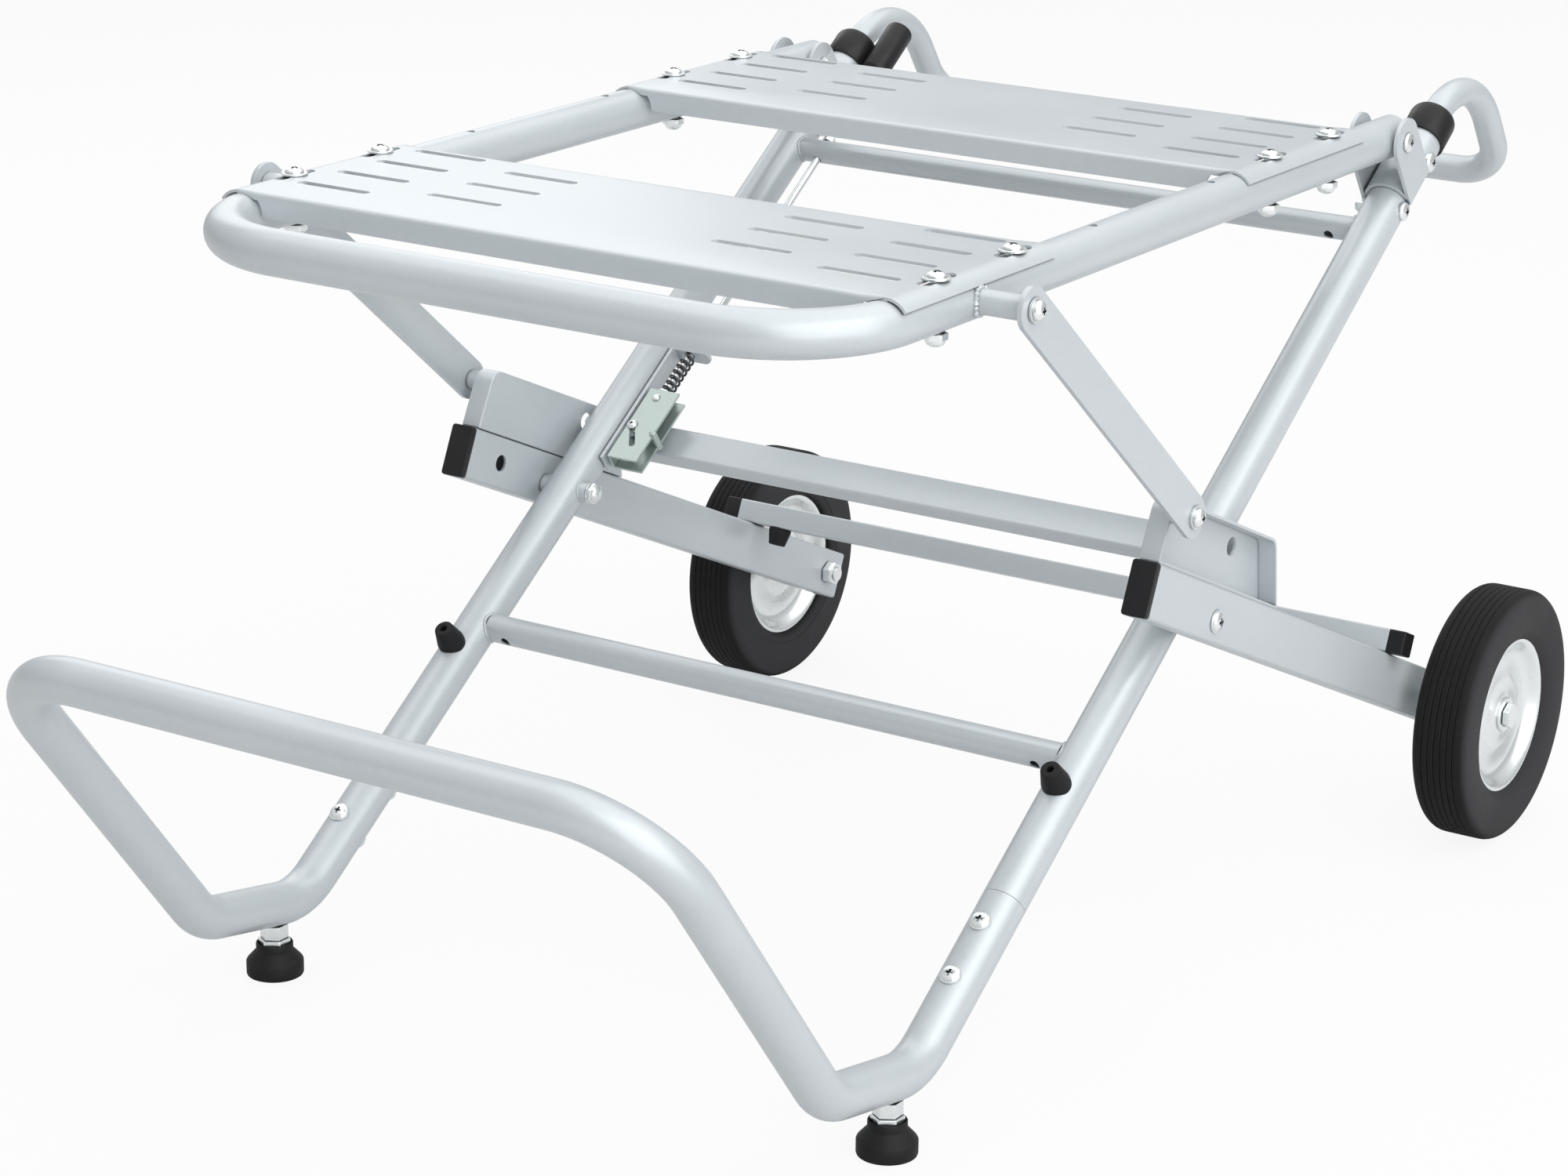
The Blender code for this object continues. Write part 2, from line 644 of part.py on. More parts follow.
def add_main_tubes():
    """Main tubes with the spigot that enters the toe tube, the pivot ferrule and the frame bolts."""
    shoulder = -MAIN_TUBE_SHOULDER
    bore = TUBE_RADIUS - TUBE_WALL
    spigot = bore - SEAT_GAP
    profile = [
        (spigot - SPIGOT_WALL, shoulder - SPIGOT_LENGTH),
        (spigot, shoulder - SPIGOT_LENGTH),
        (spigot, shoulder),
        (TUBE_RADIUS, shoulder),
        (TUBE_RADIUS, MAIN_TUBE_TOP),
        (bore, MAIN_TUBE_TOP),
        (bore, shoulder + TUBE_WALL),
        (spigot - SPIGOT_WALL, shoulder),
    ]
    inner_face = FRAME_HALF_WIDTH - TUBE_RADIUS
    outer_face = FRAME_HALF_WIDTH + TUBE_RADIUS
    for name, side in SIDES.items():
        bm = bmesh.new()
        middle = X_AXIS * (side * FRAME_HALF_WIDTH)
        turned(bm, profile, middle, Y_AXIS, TUBE_FACETS, ring=True)
        tube = add_part(f"main_tube_{name}", bm, "main_frame", "powder_coat", FRAME)
        welded = bmesh.new()
        rod(welded, FERRULE_RADIUS, *across(side, FERRULE_INNER, FERRULE_OUTER, 0.0, 0.0))
        for place in frame_bolt_places():
            tube_bolt(welded, middle + Y_AXIS * place, X_AXIS * side)
        add_boolean(tube, welded, "main_frame", "UNION", FRAME)
        cuts = bmesh.new()
        ends = across(side, FERRULE_INNER - CUT_OVERRUN, FERRULE_OUTER + CUT_OVERRUN, 0.0, 0.0)
        rod(cuts, PIVOT_SHANK_RADIUS + SEAT_GAP, *ends)
        if name == "left":
            ends = across(side, inner_face - CUT_OVERRUN, outer_face + CUT_OVERRUN, LOCK_PLACE, 0.0)
            rod(cuts, LOCK_PIN_RADIUS + SEAT_GAP, *ends)
        for place in toe_bolt_places():
            reach = Z_AXIS * (TUBE_RADIUS + CUT_OVERRUN)
            centre = middle + Y_AXIS * place
            rod(cuts, SMALL_SHANK_RADIUS + SEAT_GAP, centre - reach, centre + reach)
        add_boolean(tube, cuts, "main_frame", "DIFFERENCE", FRAME)


def toe_bolt_places():
    """Places along the main tube's axis of the two bolts at each toe joint."""
    first = -MAIN_TUBE_SHOULDER - TOE_BOLT_UPPER
    return [first, first - TOE_BOLT_PITCH]


def frame_bolt_places():
    """Places along the main tube's axis of the two bolts beside the hinge bracket."""
    return [HINGE_REACH - FRAME_BOLT_BACK, HINGE_REACH + FRAME_BOLT_FRONT]


def add_toe_tube():
    """The bent tube that the front of the stand rests on."""
    side = X_AXIS * FRAME_HALF_WIDTH
    start = PIVOT + side - FRAME_AXIS * (MAIN_TUBE_SHOULDER + SEAT_GAP)
    rear = PIVOT + side - FRAME_AXIS * TOE_START
    run = Vector((0.0, -math.cos(TOE_FOOT_RISE), math.sin(TOE_FOOT_RISE)))
    front = rear + run * TOE_FOOT_LENGTH
    rise = Vector((0.0, -math.cos(TOE_LEG_ANGLE), math.sin(TOE_LEG_ANGLE)))
    corner = front + rise * TOE_LEG_LENGTH
    radii = [TOE_REAR_BEND, TOE_FRONT_BEND, TOE_BAR_BEND]
    path = rounded_path(mirrored([start, rear, front, corner]), radii + radii[::-1])
    bm = bmesh.new()
    outline = circle(TUBE_RADIUS, TUBE_FACETS)
    sweep(bm, path, outline, circle(TUBE_RADIUS - TUBE_WALL, TUBE_FACETS))
    tube = add_part("toe_tube", bm, "main_frame", "powder_coat")
    welded = bmesh.new()
    for sign in SIDES.values():
        for place in toe_bolt_places():
            centre = PIVOT + FRAME_AXIS * place + X_AXIS * (sign * FRAME_HALF_WIDTH)
            tube_bolt(welded, centre, FRAME_NORMAL)
        over = foot_place(sign)
        rod(welded, WELD_NUT_RADIUS, Vector((over.x, over.y, FOOT_NUT_TOP + SEAT_GAP)),
            over - Z_AXIS * (TUBE_RADIUS - TUBE_WALL))
    add_boolean(tube, welded, "main_frame", "UNION")
    cuts = bmesh.new()
    for sign in SIDES.values():
        over = foot_place(sign)
        rod(cuts, STUD_RADIUS + RUN_GAP, Vector((over.x, over.y, 0.0)), over, NUT_FACETS)
    add_boolean(tube, cuts, "main_frame", "DIFFERENCE")


def add_crossbar(name, place, radius, holes):
    """A straight bar coped onto the insides of the two main tubes."""
    ends = [Vector((sign * FRAME_HALF_WIDTH, place, 0.0)) for sign in SIDES.values()]
    bm = bmesh.new()
    sweep(bm, ends, circle(radius, TUBE_FACETS), circle(radius - BAR_WALL, TUBE_FACETS))
    bar = add_part(name, bm, "main_frame", "powder_coat", FRAME)
    cuts = bmesh.new()
    reach = Y_AXIS * (TUBE_RADIUS + radius)
    for end in ends:
        sweep(cuts, [end - reach, end + reach], circle(TUBE_RADIUS + SEAT_GAP, TUBE_FACETS))
    for centre, direction, hole in holes:
        rod(cuts, hole, centre, centre + direction * (radius + CUT_OVERRUN))
    add_boolean(bar, cuts, "main_frame", "DIFFERENCE", FRAME)


def add_crossbars():
    """Lower bar with its drain holes, and upper bar that the release rod passes through."""
    inset = FRAME_HALF_WIDTH - DRAIN_HOLE_INSET
    lower = [
        (Vector((sign * inset, -LOWER_BAR_PLACE, 0.0)), -Y_AXIS, DRAIN_HOLE_RADIUS)
        for sign in SIDES.values()
    ]
    add_crossbar("lower_crossbar", -LOWER_BAR_PLACE, LOWER_BAR_RADIUS, lower)
    drain = Vector((inset, UPPER_BAR_PLACE, 0.0))
    rod_hole = Vector((-ROD_OFFSET, UPPER_BAR_PLACE, 0.0))
    upper = [(drain, -Y_AXIS, DRAIN_HOLE_RADIUS)]
    upper += [(rod_hole, direction, ROD_RADIUS + SEAT_GAP) for direction in (Y_AXIS, -Y_AXIS)]
    add_crossbar("upper_crossbar", UPPER_BAR_PLACE, UPPER_BAR_RADIUS, upper)


def saddle_outline(side):
    """Cross-section of a hinge bracket: a saddle on the main tube with an ear at each side."""
    inner = TUBE_RADIUS + SEAT_GAP
    outer = inner + BRACKET_SHEET
    top = HINGE_RISE + BRACKET_HALF_WIDTH + CUT_OVERRUN
    ear = EAR_INNER - FRAME_HALF_WIDTH
    points = [(outer, 0.0), (outer, top), (inner, top)]
    first = math.acos(inner / outer)
    last = math.acos(ear / outer)
    for index in range(SADDLE_ARC_STEPS + 1):
        angle = first + (last - first) * index / SADDLE_ARC_STEPS
        points.append((outer * math.cos(angle), outer * math.sin(angle)))
    points += [(ear, top), (ear - BRACKET_SHEET, top), (ear - BRACKET_SHEET, 0.0)]
    for index in range(SADDLE_ARC_STEPS + 1):
        angle = math.pi * (1.0 - index / SADDLE_ARC_STEPS)
        points.append((inner * math.cos(angle), inner * math.sin(angle)))
    return [(side * (FRAME_HALF_WIDTH + x), z) for x, z in points]


def add_hinge_brackets():
    """The two brackets on the main tubes whose ears carry the table's hinge bolts."""
    for name, side in SIDES.items():
        bm = bmesh.new()
        start = HINGE_REACH - BRACKET_HALF_WIDTH
        outline = [Vector((x, start, z)) for x, z in saddle_outline(side)]
        prism(bm, outline, Y_AXIS * (2.0 * BRACKET_HALF_WIDTH))
        bracket = add_part(f"hinge_bracket_{name}", bm, "main_frame", "powder_coat", FRAME)
        keep = bmesh.new()
        near = side * (EAR_INNER - BRACKET_SHEET - CUT_OVERRUN)
        wide = BRACKET_HALF_WIDTH + CUT_OVERRUN
        points = [
            Vector((near, HINGE_REACH + wide, -CUT_OVERRUN)),
            Vector((near, HINGE_REACH + wide, HINGE_RISE)),
        ]
        for index in range(EAR_ARC_STEPS + 1):
            angle = math.pi * index / EAR_ARC_STEPS
            away = Vector((0.0, math.cos(angle), math.sin(angle))) * BRACKET_HALF_WIDTH
            points.append(Vector((near, HINGE_REACH, HINGE_RISE)) + away)
        points += [
            Vector((near, HINGE_REACH - wide, HINGE_RISE)),
            Vector((near, HINGE_REACH - wide, -CUT_OVERRUN)),
        ]
        span = EAR_OUTER - EAR_INNER + 2.0 * (BRACKET_SHEET + CUT_OVERRUN)
        prism(keep, points, X_AXIS * (side * span))
        add_boolean(bracket, keep, "main_frame", "INTERSECT", FRAME)
        hole = bmesh.new()
        ends = across(side, EAR_INNER - BRACKET_SHEET - CUT_OVERRUN,
                      EAR_OUTER + BRACKET_SHEET + CUT_OVERRUN, HINGE_REACH, HINGE_RISE)
        rod(hole, HINGE_SHANK_RADIUS + SEAT_GAP, *ends)
        add_boolean(bracket, hole, "main_frame", "DIFFERENCE", FRAME)


def add_handle():
    """The handle tube with the plastic collars that hold it in the main tubes."""
    side = FRAME_HALF_WIDTH
    points = [
        Vector((side, MAIN_TUBE_TOP - HANDLE_INSERT, 0.0)),
        Vector((side, MAIN_TUBE_TOP + HANDLE_REACH, 0.0)),
        Vector((side, MAIN_TUBE_TOP + HANDLE_REACH, -HANDLE_DROP)),
    ]
    radii = [HANDLE_TOP_BEND, HANDLE_SIDE_BEND]
    path = rounded_path(mirrored(points), radii + radii[::-1])
    bm = bmesh.new()
    outline = circle(HANDLE_RADIUS, TUBE_FACETS)
    sweep(bm, path, outline, circle(HANDLE_RADIUS - TUBE_WALL, TUBE_FACETS))
    add_part("handle_tube", bm, "main_frame", "powder_coat", FRAME)
    neck = HANDLE_RADIUS + SEAT_GAP
    bore = TUBE_RADIUS + SEAT_GAP
    outer = bore + COLLAR_WALL
    profile = [
        (bore, -COLLAR_SKIRT),
        (outer, -COLLAR_SKIRT),
        (outer, COLLAR_NECK - COLLAR_ROUND),
        (outer - COLLAR_ROUND / 2.0, COLLAR_NECK),
        (neck, COLLAR_NECK),
        (neck, SEAT_GAP),
        (bore, SEAT_GAP),
    ]
    for name, sign in SIDES.items():
        bm = bmesh.new()
        origin = Vector((sign * FRAME_HALF_WIDTH, MAIN_TUBE_TOP, 0.0))
        turned(bm, profile, origin, Y_AXIS, TUBE_FACETS, ring=True)
        add_part(f"handle_collar_{name}", bm, "main_frame", "black_plastic", FRAME)


def bumper(bm, seat, outward, base, tip, height, sunk):
    """A conical rubber buffer with a hole in its tip; `sunk` runs it into a round seat."""
    profile = [
        (0.0, -sunk),
        (base, -sunk),
        (base, 0.0),
        (tip, height),
        (BUMPER_HOLE_RADIUS, height),
        (BUMPER_HOLE_RADIUS, height - BUMPER_HOLE_DEPTH),
        (0.0, height - BUMPER_HOLE_DEPTH),
    ]
    turned(bm, profile, seat, outward, BOLT_FACETS)


def add_table_bumpers():
    """Two rubber buffers on the main tubes, hollowed to sit on the round tube."""
    surface = TUBE_RADIUS + SEAT_GAP
    sunk = TUBE_RADIUS - math.sqrt(TUBE_RADIUS ** 2 - BUMPER_BASE_RADIUS ** 2)
    for name, sign in SIDES.items():
        bm = bmesh.new()
        middle = Vector((sign * FRAME_HALF_WIDTH, -BUMPER_PLACE, 0.0))
        bumper(bm, middle + Z_AXIS * surface, Z_AXIS, BUMPER_BASE_RADIUS, BUMPER_TIP_RADIUS,
               BUMPER_HEIGHT, sunk)
        buffer = add_part(f"table_bumper_{name}", bm, "main_frame", "black_rubber", FRAME)
        cut = bmesh.new()
        reach = Y_AXIS * (BUMPER_BASE_RADIUS + CUT_OVERRUN)
        sweep(cut, [middle - reach, middle + reach], circle(surface, TUBE_FACETS))
        add_boolean(buffer, cut, "main_frame", "DIFFERENCE", FRAME)


def add_leg_pivots():
    """Pivot bolts through legs and ferrules, each with its washer and domed nut."""
    head_seat = LEG_OUTER + SEAT_GAP
    washer_top = FERRULE_INNER - SEAT_GAP - head_seat
    washer_low = washer_top - WASHER_THICKNESS
    for name, sign in SIDES.items():
        bm = bmesh.new()
        levels = dome_nut(PIVOT_NUT_RADIUS, PIVOT_NUT_HEIGHT, washer_low)
        levels += [
            (circle(WASHER_RADIUS, BOLT_FACETS), washer_low),
            (circle(WASHER_RADIUS, BOLT_FACETS), washer_top),
        ]
        levels += shank_levels(PIVOT_SHANK_RADIUS, washer_top, 0.0)
        levels += dome_head(PIVOT_HEAD_RADIUS, PIVOT_HEAD_HEIGHT)
        stack(bm, levels, X_AXIS * (sign * head_seat), X_AXIS * sign)
        add_part(f"pivot_bolt_{name}", bm, "main_frame", "zinc", FRAME)


def add_table_hinges():
    """Hinge bolts through the brackets' ears, each with a domed nut and a washer by the tube."""
    head_seat = EAR_OUTER + BRACKET_SHEET + SEAT_GAP
    nut_seat = EAR_INNER - BRACKET_SHEET - SEAT_GAP - head_seat
    low = TABLE_HALF_WIDTH + TUBE_RADIUS + SEAT_GAP - head_seat
    high = EAR_OUTER - SEAT_GAP - head_seat
    for name, sign in SIDES.items():
        bm = bmesh.new()
        levels = dome_nut(SMALL_NUT_RADIUS, HINGE_NUT_HEIGHT, nut_seat)
        levels += shank_levels(HINGE_SHANK_RADIUS, nut_seat, 0.0, [(low, high, WASHER_RADIUS)])
        levels += dome_head(HINGE_HEAD_RADIUS, HINGE_HEAD_HEIGHT)
        seat = Vector((sign * head_seat, HINGE_REACH, HINGE_RISE))
        stack(bm, levels, seat, X_AXIS * sign)
        add_part(f"hinge_bolt_{name}", bm, "main_frame", "zinc", FRAME)


def add_table_tube():
    """The table's U-shaped tube, hinged at its two rear ends."""
    side = TABLE_HALF_WIDTH
    points = [Vector((side, TABLE_TAIL, 0.0)), Vector((side, -TABLE_REACH, 0.0))]
    path = rounded_path(mirrored(points), [TABLE_BEND, TABLE_BEND])
    bm = bmesh.new()
    outline = circle(TUBE_RADIUS, TUBE_FACETS)
    sweep(bm, path, outline, circle(TUBE_RADIUS - TUBE_WALL, TUBE_FACETS))
    tube = add_part("table_tube", bm, "table", "powder_coat", TABLE)
    bosses = bmesh.new()
    for sign in SIDES.values():
        bore = TABLE_HALF_WIDTH + TUBE_RADIUS - HEAD_SUNK
        ends = across(sign, bore, LINK_INNER - SEAT_GAP, -LINK_PLACE, 0.0)
        rod(bosses, LINK_BOSS_RADIUS, *ends)
    add_boolean(tube, bosses, "table", "UNION", TABLE)
    cuts = bmesh.new()
    near = TABLE_HALF_WIDTH - TUBE_RADIUS - CUT_OVERRUN
    far = TABLE_HALF_WIDTH + TUBE_RADIUS + CUT_OVERRUN
    top = Z_AXIS * (TUBE_RADIUS + CUT_OVERRUN)
    for sign in SIDES.values():
        rod(cuts, HINGE_SHANK_RADIUS + RUN_GAP, *across(sign, near, far, 0.0, 0.0))
        ends = across(sign, TABLE_HALF_WIDTH, LINK_INNER + CUT_OVERRUN, -LINK_PLACE, 0.0)
        rod(cuts, LINK_SHANK_RADIUS + RUN_GAP, *ends)
        for place in (TABLE_HOLE_FRONT, TABLE_HOLE_REAR):
            centre = Vector((sign * TABLE_HALF_WIDTH, -place, 0.0))
            rod(cuts, TABLE_HOLE_RADIUS, centre, centre + top)
        for x, y in clamp_bolt_places().values():
            if x * sign > 0.0:
                centre = Vector((x, y, 0.0))
                rod(cuts, PIVOT_SHANK_RADIUS + SEAT_GAP, centre - top, centre + top)
    add_boolean(tube, cuts, "table", "DIFFERENCE", TABLE)


def clamp_bolt_places():
    """Where the plates' clamp bolts stand, from the hinge axis, by the bolt's name."""
    places = {}
    for plate, front in PLATES.items():
        middle = PLATE_DEPTH / 2.0 + CLAMP_SETBACK - front
        for side, sign in SIDES.items():
            for end, share in (("front", -0.5), ("rear", 0.5)):
                place = (sign * TABLE_HALF_WIDTH, middle + share * CLAMP_BOLT_PITCH)
                places[f"{plate}_plate_bolt_{side}_{end}"] = place
    return places


def plate_columns():
    """Places across a saw plate: x, height above the tube's axis and the depth of the lip."""
    crown = TUBE_RADIUS + SEAT_GAP + PLATE_SHEET
    notch = TUBE_RADIUS + LIP_NOTCH_GAP
    first = math.asin((crown - PLATE_LIP) / notch)
    last = math.asin((crown - PLATE_BEND - PLATE_SHEET) / notch)
    columns = []
    for index in range(LIP_NOTCH_STEPS + 1):
        angle = first + (last - first) * index / LIP_NOTCH_STEPS
        depth = crown - notch * math.sin(angle)
        columns.append((TABLE_HALF_WIDTH - notch * math.cos(angle), crown, depth))
    columns.append((TABLE_HALF_WIDTH, crown, 0.0))
    wrap = math.radians(PLATE_WRAP_DEG)
    facet = math.tau / TUBE_FACETS
    for index in range(1, math.ceil(wrap / facet) + 1):
        angle = min(facet * index, wrap)
        columns.append((TABLE_HALF_WIDTH + crown * math.sin(angle), crown * math.cos(angle), 0.0))
    left = [(-x, height, depth) for x, height, depth in reversed(columns)]
    return left + columns


def plate_surface(bm):
    """The outer skin of a saw plate: level top, lips bent down front and back, wrapped ends."""
    columns = plate_columns()
    half = PLATE_DEPTH / 2.0
    rims = {}
    for sign in (-1.0, 1.0):
        rims[sign] = []
        for x, height, depth in columns:
            column = [bm.verts.new((x, sign * (half - PLATE_BEND), height))]
            if depth > 0.0:
                for index in range(1, PLATE_BEND_STEPS + 1):
                    angle = math.pi / 2.0 * index / PLATE_BEND_STEPS
                    out = half - PLATE_BEND * (1.0 - math.sin(angle))
                    drop = PLATE_BEND * (1.0 - math.cos(angle))
                    column.append(bm.verts.new((x, sign * out, height - drop)))
                column.append(bm.verts.new((x, sign * half, height - depth)))
            rims[sign].append(column)
    edges = {
        sign: [bm.verts.new((x, sign * half, height)) for x, height, depth in columns]
        for sign in rims
    }
    for index in range(len(columns) - 1):
        bm.faces.new([rims[-1.0][index][0], rims[-1.0][index + 1][0],
                      rims[1.0][index + 1][0], rims[1.0][index][0]])
        for sign, rim in rims.items():
            this, following = rim[index], rim[index + 1]
            if min(len(this), len(following)) > 1:
                for first, second in zip(zip(this, this[1:]), zip(following, following[1:])):
                    bm.faces.new([first[0], first[1], second[1], second[0]])
            else:
                bm.faces.new([this[0], edges[sign][index], edges[sign][index + 1], following[0]])
    loose = [vertex for vertex in bm.verts if not vertex.link_faces]
    bmesh.ops.delete(bm, geom=loose, context="VERTS")
    bmesh.ops.recalc_face_normals(bm, faces=bm.faces)
    if sum(face.normal.z for face in bm.faces) < 0.0:
        bmesh.ops.reverse_faces(bm, faces=bm.faces)


def slot_outline(x, y, along, length, width, z):
    """A straight slot with round ends, lengthways along X or Y."""
    radius = width / 2.0
    reach = length / 2.0 - radius
    points = []
    for end in (1.0, -1.0):
        for index in range(SLOT_ARC_STEPS + 1):
            angle = math.pi * (index / SLOT_ARC_STEPS - 0.5) + (0.0 if end > 0.0 else math.pi)
            run = end * reach + radius * math.cos(angle)
            rise = radius * math.sin(angle)
            points.append(Vector((x + run, y + rise, z)) if along == "x"
                          else Vector((x - rise, y + run, z)))
    return points


def plate_slots():
    """Centres of a plate's saw slots, from the plate's own middle."""
    slots = []
    for sign in SIDES.values():
        for rows, centre in ((SLOT_OUTER_ROWS, SLOT_OUTER_CENTRE), (SLOT_INNER_ROWS, SLOT_INNER_CENTRE)):
            for row in range(rows):
                slots.append((sign * centre, SLOT_SETBACK + SLOT_PITCH * (row - (rows - 1) / 2.0)))
    return slots


def add_saw_plates():
    """Front and rear saw plates, bent from sheet, with their slots."""
    for name, front in PLATES.items():
        middle = TABLE @ Matrix.Translation(Y_AXIS * (PLATE_DEPTH / 2.0 - front))
        bm = bmesh.new()
        plate_surface(bm)
        plate = add_part(f"{name}_saw_plate", bm, "table", "powder_coat", middle, False, False)
        solid = plate.modifiers.new("sheet", "SOLIDIFY")
        solid.thickness = PLATE_SHEET
        solid.offset = -1.0
        solid.use_even_offset = True
        cuts = bmesh.new()
        low = -CUT_OVERRUN
        reach = Z_AXIS * (LEVEL_TOP + 2.0 * CUT_OVERRUN)
        for x, y in plate_slots():
            prism(cuts, slot_outline(x, y, "x", SLOT_LENGTH, SLOT_WIDTH, low), reach)
        for sign in SIDES.values():
            for share in (-0.5, 0.5):
                outline = slot_outline(sign * TABLE_HALF_WIDTH, CLAMP_SETBACK + share * CLAMP_BOLT_PITCH,
                                       "y", CLAMP_SLOT_LENGTH, CLAMP_SLOT_WIDTH, low)
                prism(cuts, outline, reach)
        add_boolean(plate, cuts, "table", "DIFFERENCE", middle)


def add_plate_bolts():
    """Clamp bolts through the plates and the table tube, each with a domed nut underneath."""
    top = LEVEL_TOP + SEAT_GAP
    nut_seat = -TUBE_RADIUS - SEAT_GAP - top
    for name, (x, y) in clamp_bolt_places().items():
        bm = bmesh.new()
        levels = dome_nut(CLAMP_NUT_RADIUS, CLAMP_NUT_HEIGHT, nut_seat)
        levels += shank_levels(PIVOT_SHANK_RADIUS, nut_seat, 0.0)
        levels += dome_head(CLAMP_HEAD_RADIUS, CLAMP_HEAD_HEIGHT)
        stack(bm, levels, Vector((x, y, top)), Z_AXIS)
        add_part(name, bm, "table", "zinc", TABLE)


def add_links():
    """Flat link straps with the bolt head at their lower end, and the bolt at their upper end."""
    run = FRAME_LINK - TABLE_LINK
    along = Vector((0.0, run.y, run.z)).normalized()
    square = X_AXIS.cross(along)
    for name, sign in SIDES.items():
        body = f"link_{name}"
        inner = X_AXIS * (sign * LINK_INNER)
        thick = X_AXIS * (sign * LINK_THICKNESS)
        points = []
        for centre, turn in ((FRAME_LINK, -0.5), (TABLE_LINK, 0.5)):
            for index in range(LINK_ARC_STEPS + 1):
                angle = math.pi * (index / LINK_ARC_STEPS + turn)
                away = along * math.cos(angle) + square * math.sin(angle)
                points.append(centre + inner + away * (LINK_WIDTH / 2.0))
        bm = bmesh.new()
        prism(bm, points, thick)
        strap = add_part(body, bm, body, "powder_coat")
        outward = X_AXIS * sign
        outer = inner + thick
        washers = circle(WASHER_RADIUS, BOLT_FACETS)
        lower = bmesh.new()
        levels = [(washers, -HEAD_SUNK), (washers, WASHER_THICKNESS)]
        lifted = [(ring, height + WASHER_THICKNESS) for ring, height in
                  dome_head(LINK_HEAD_RADIUS, LINK_HEAD_HEIGHT)]
        stack(lower, levels + lifted, FRAME_LINK + outer, outward)
        add_boolean(strap, lower, body, "UNION")
        hole = bmesh.new()
        over = outward * CUT_OVERRUN
        rod(hole, LINK_SHANK_RADIUS + SEAT_GAP, TABLE_LINK + inner - over, TABLE_LINK + outer + over)
        add_boolean(strap, hole, body, "DIFFERENCE")
        upper = bmesh.new()
        levels = shank_levels(LINK_SHANK_RADIUS, -LINK_THICKNESS - LINK_SHANK_LENGTH, 0.0)
        levels += [(washers, 0.0), (washers, WASHER_THICKNESS)]
        stack(upper, levels + lifted, TABLE_LINK + outer + outward * SEAT_GAP, outward)
        add_part(f"link_bolt_{name}", upper, body, "zinc")


def add_legs():
    """Rectangular leg tubes with the plugs in their front ends."""
    outline = box_outline(LEG_WIDTH, LEG_DEPTH, LEG_CORNER)
    bore = box_outline(LEG_WIDTH - 2.0 * LEG_WALL, LEG_DEPTH - 2.0 * LEG_WALL, LEG_CORNER)
    rear = AXLE_REACH + LEG_TAIL
    for name, sign in SIDES.items():
        middle = Vector((sign * (LEG_INNER + LEG_WIDTH / 2.0), 0.0, LEG_OFFSET))
        bm = bmesh.new()
        sweep(bm, [middle - Y_AXIS * LEG_FRONT, middle + Y_AXIS * rear], outline, bore)
        leg = add_part(f"leg_{name}", bm, "wheel_frame", "powder_coat", LEG)
        cuts = bmesh.new()
        near = LEG_INNER - CUT_OVERRUN
        far = LEG_OUTER + CUT_OVERRUN
        rod(cuts, PIVOT_SHANK_RADIUS + RUN_GAP, *across(sign, near, far, 0.0, 0.0))
        ends = across(sign, near, far, AXLE_REACH, LEG_OFFSET)
        rod(cuts, AXLE_RADIUS + SEAT_GAP, *ends, NUT_FACETS)
        half = LEG_INNER + LEG_WIDTH / 2.0
        rod(cuts, LEG_HOLE_RADIUS, *across(sign, near, half, -LEG_HOLE_PLACE, LEG_OFFSET))
        add_boolean(leg, cuts, "wheel_frame", "DIFFERENCE", LEG)
        cap = bmesh.new()
        seat = middle - Y_AXIS * (LEG_FRONT + SEAT_GAP)
        plug(cap, seat, -Y_AXIS, LEG_WIDTH, LEG_DEPTH, LEG_CORNER, LEG_WALL, CAP_HEAD)
        add_part(f"leg_cap_{name}", cap, "wheel_frame", "black_plastic", LEG)


def plug(bm, seat, outward, width, depth, corner, wall, head):
    """A plug with a stem inside a rectangular tube and a head over the tube's end."""
    inset = 2.0 * (wall + SEAT_GAP)
    outline = box_outline(width, depth, corner)
    stem = box_outline(width - inset, depth - inset, corner)
    crown = box_outline(width - 2.0 * CAP_CROWN, depth - 2.0 * CAP_CROWN, corner)
    levels = [
        (stem, -CAP_STEM),
        (stem, 0.0),
        (outline, 0.0),
        (outline, head - CAP_CROWN),
        (crown, head),
    ]
    stack(bm, levels, seat, outward)


def bracket_outline(inset, x):
    """Side bracket seen square to the leg, drawn in by `inset` all round."""
    base = LEG_TOP + SEAT_GAP + inset
    points = [
        Vector((x, -BRACKET_FRONT_LOW + inset, base)),
        Vector((x, -BRACKET_FRONT_TOP + inset, base + BRACKET_FRONT_HEIGHT - 2.0 * inset)),
        Vector((x, BRACKET_REAR_TOP - inset, base + BRACKET_REAR_HEIGHT - 2.0 * inset)),
        Vector((x, BRACKET_REAR_LOW - inset, base)),
    ]
    corner = BRACKET_CORNER - inset
    outline = [points[0]]
    for before, point, after in zip(points, points[1:], points[2:]):
        towards = (before - point).normalized()
        away = (after - point).normalized()
        turn = math.pi - towards.angle(away)
        reach = corner * math.tan(turn / 2.0)
        centre = point + (towards + away).normalized() * (corner / math.cos(turn / 2.0))
        start = point + towards * reach - centre
        end = point + away * reach - centre
        for index in range(BRACKET_CORNER_STEPS + 1):
            share = index / BRACKET_CORNER_STEPS
            blend = start * math.sin((1.0 - share) * turn) + end * math.sin(share * turn)
            outline.append(centre + blend / math.sin(turn))
    outline.append(points[-1])
    return outline


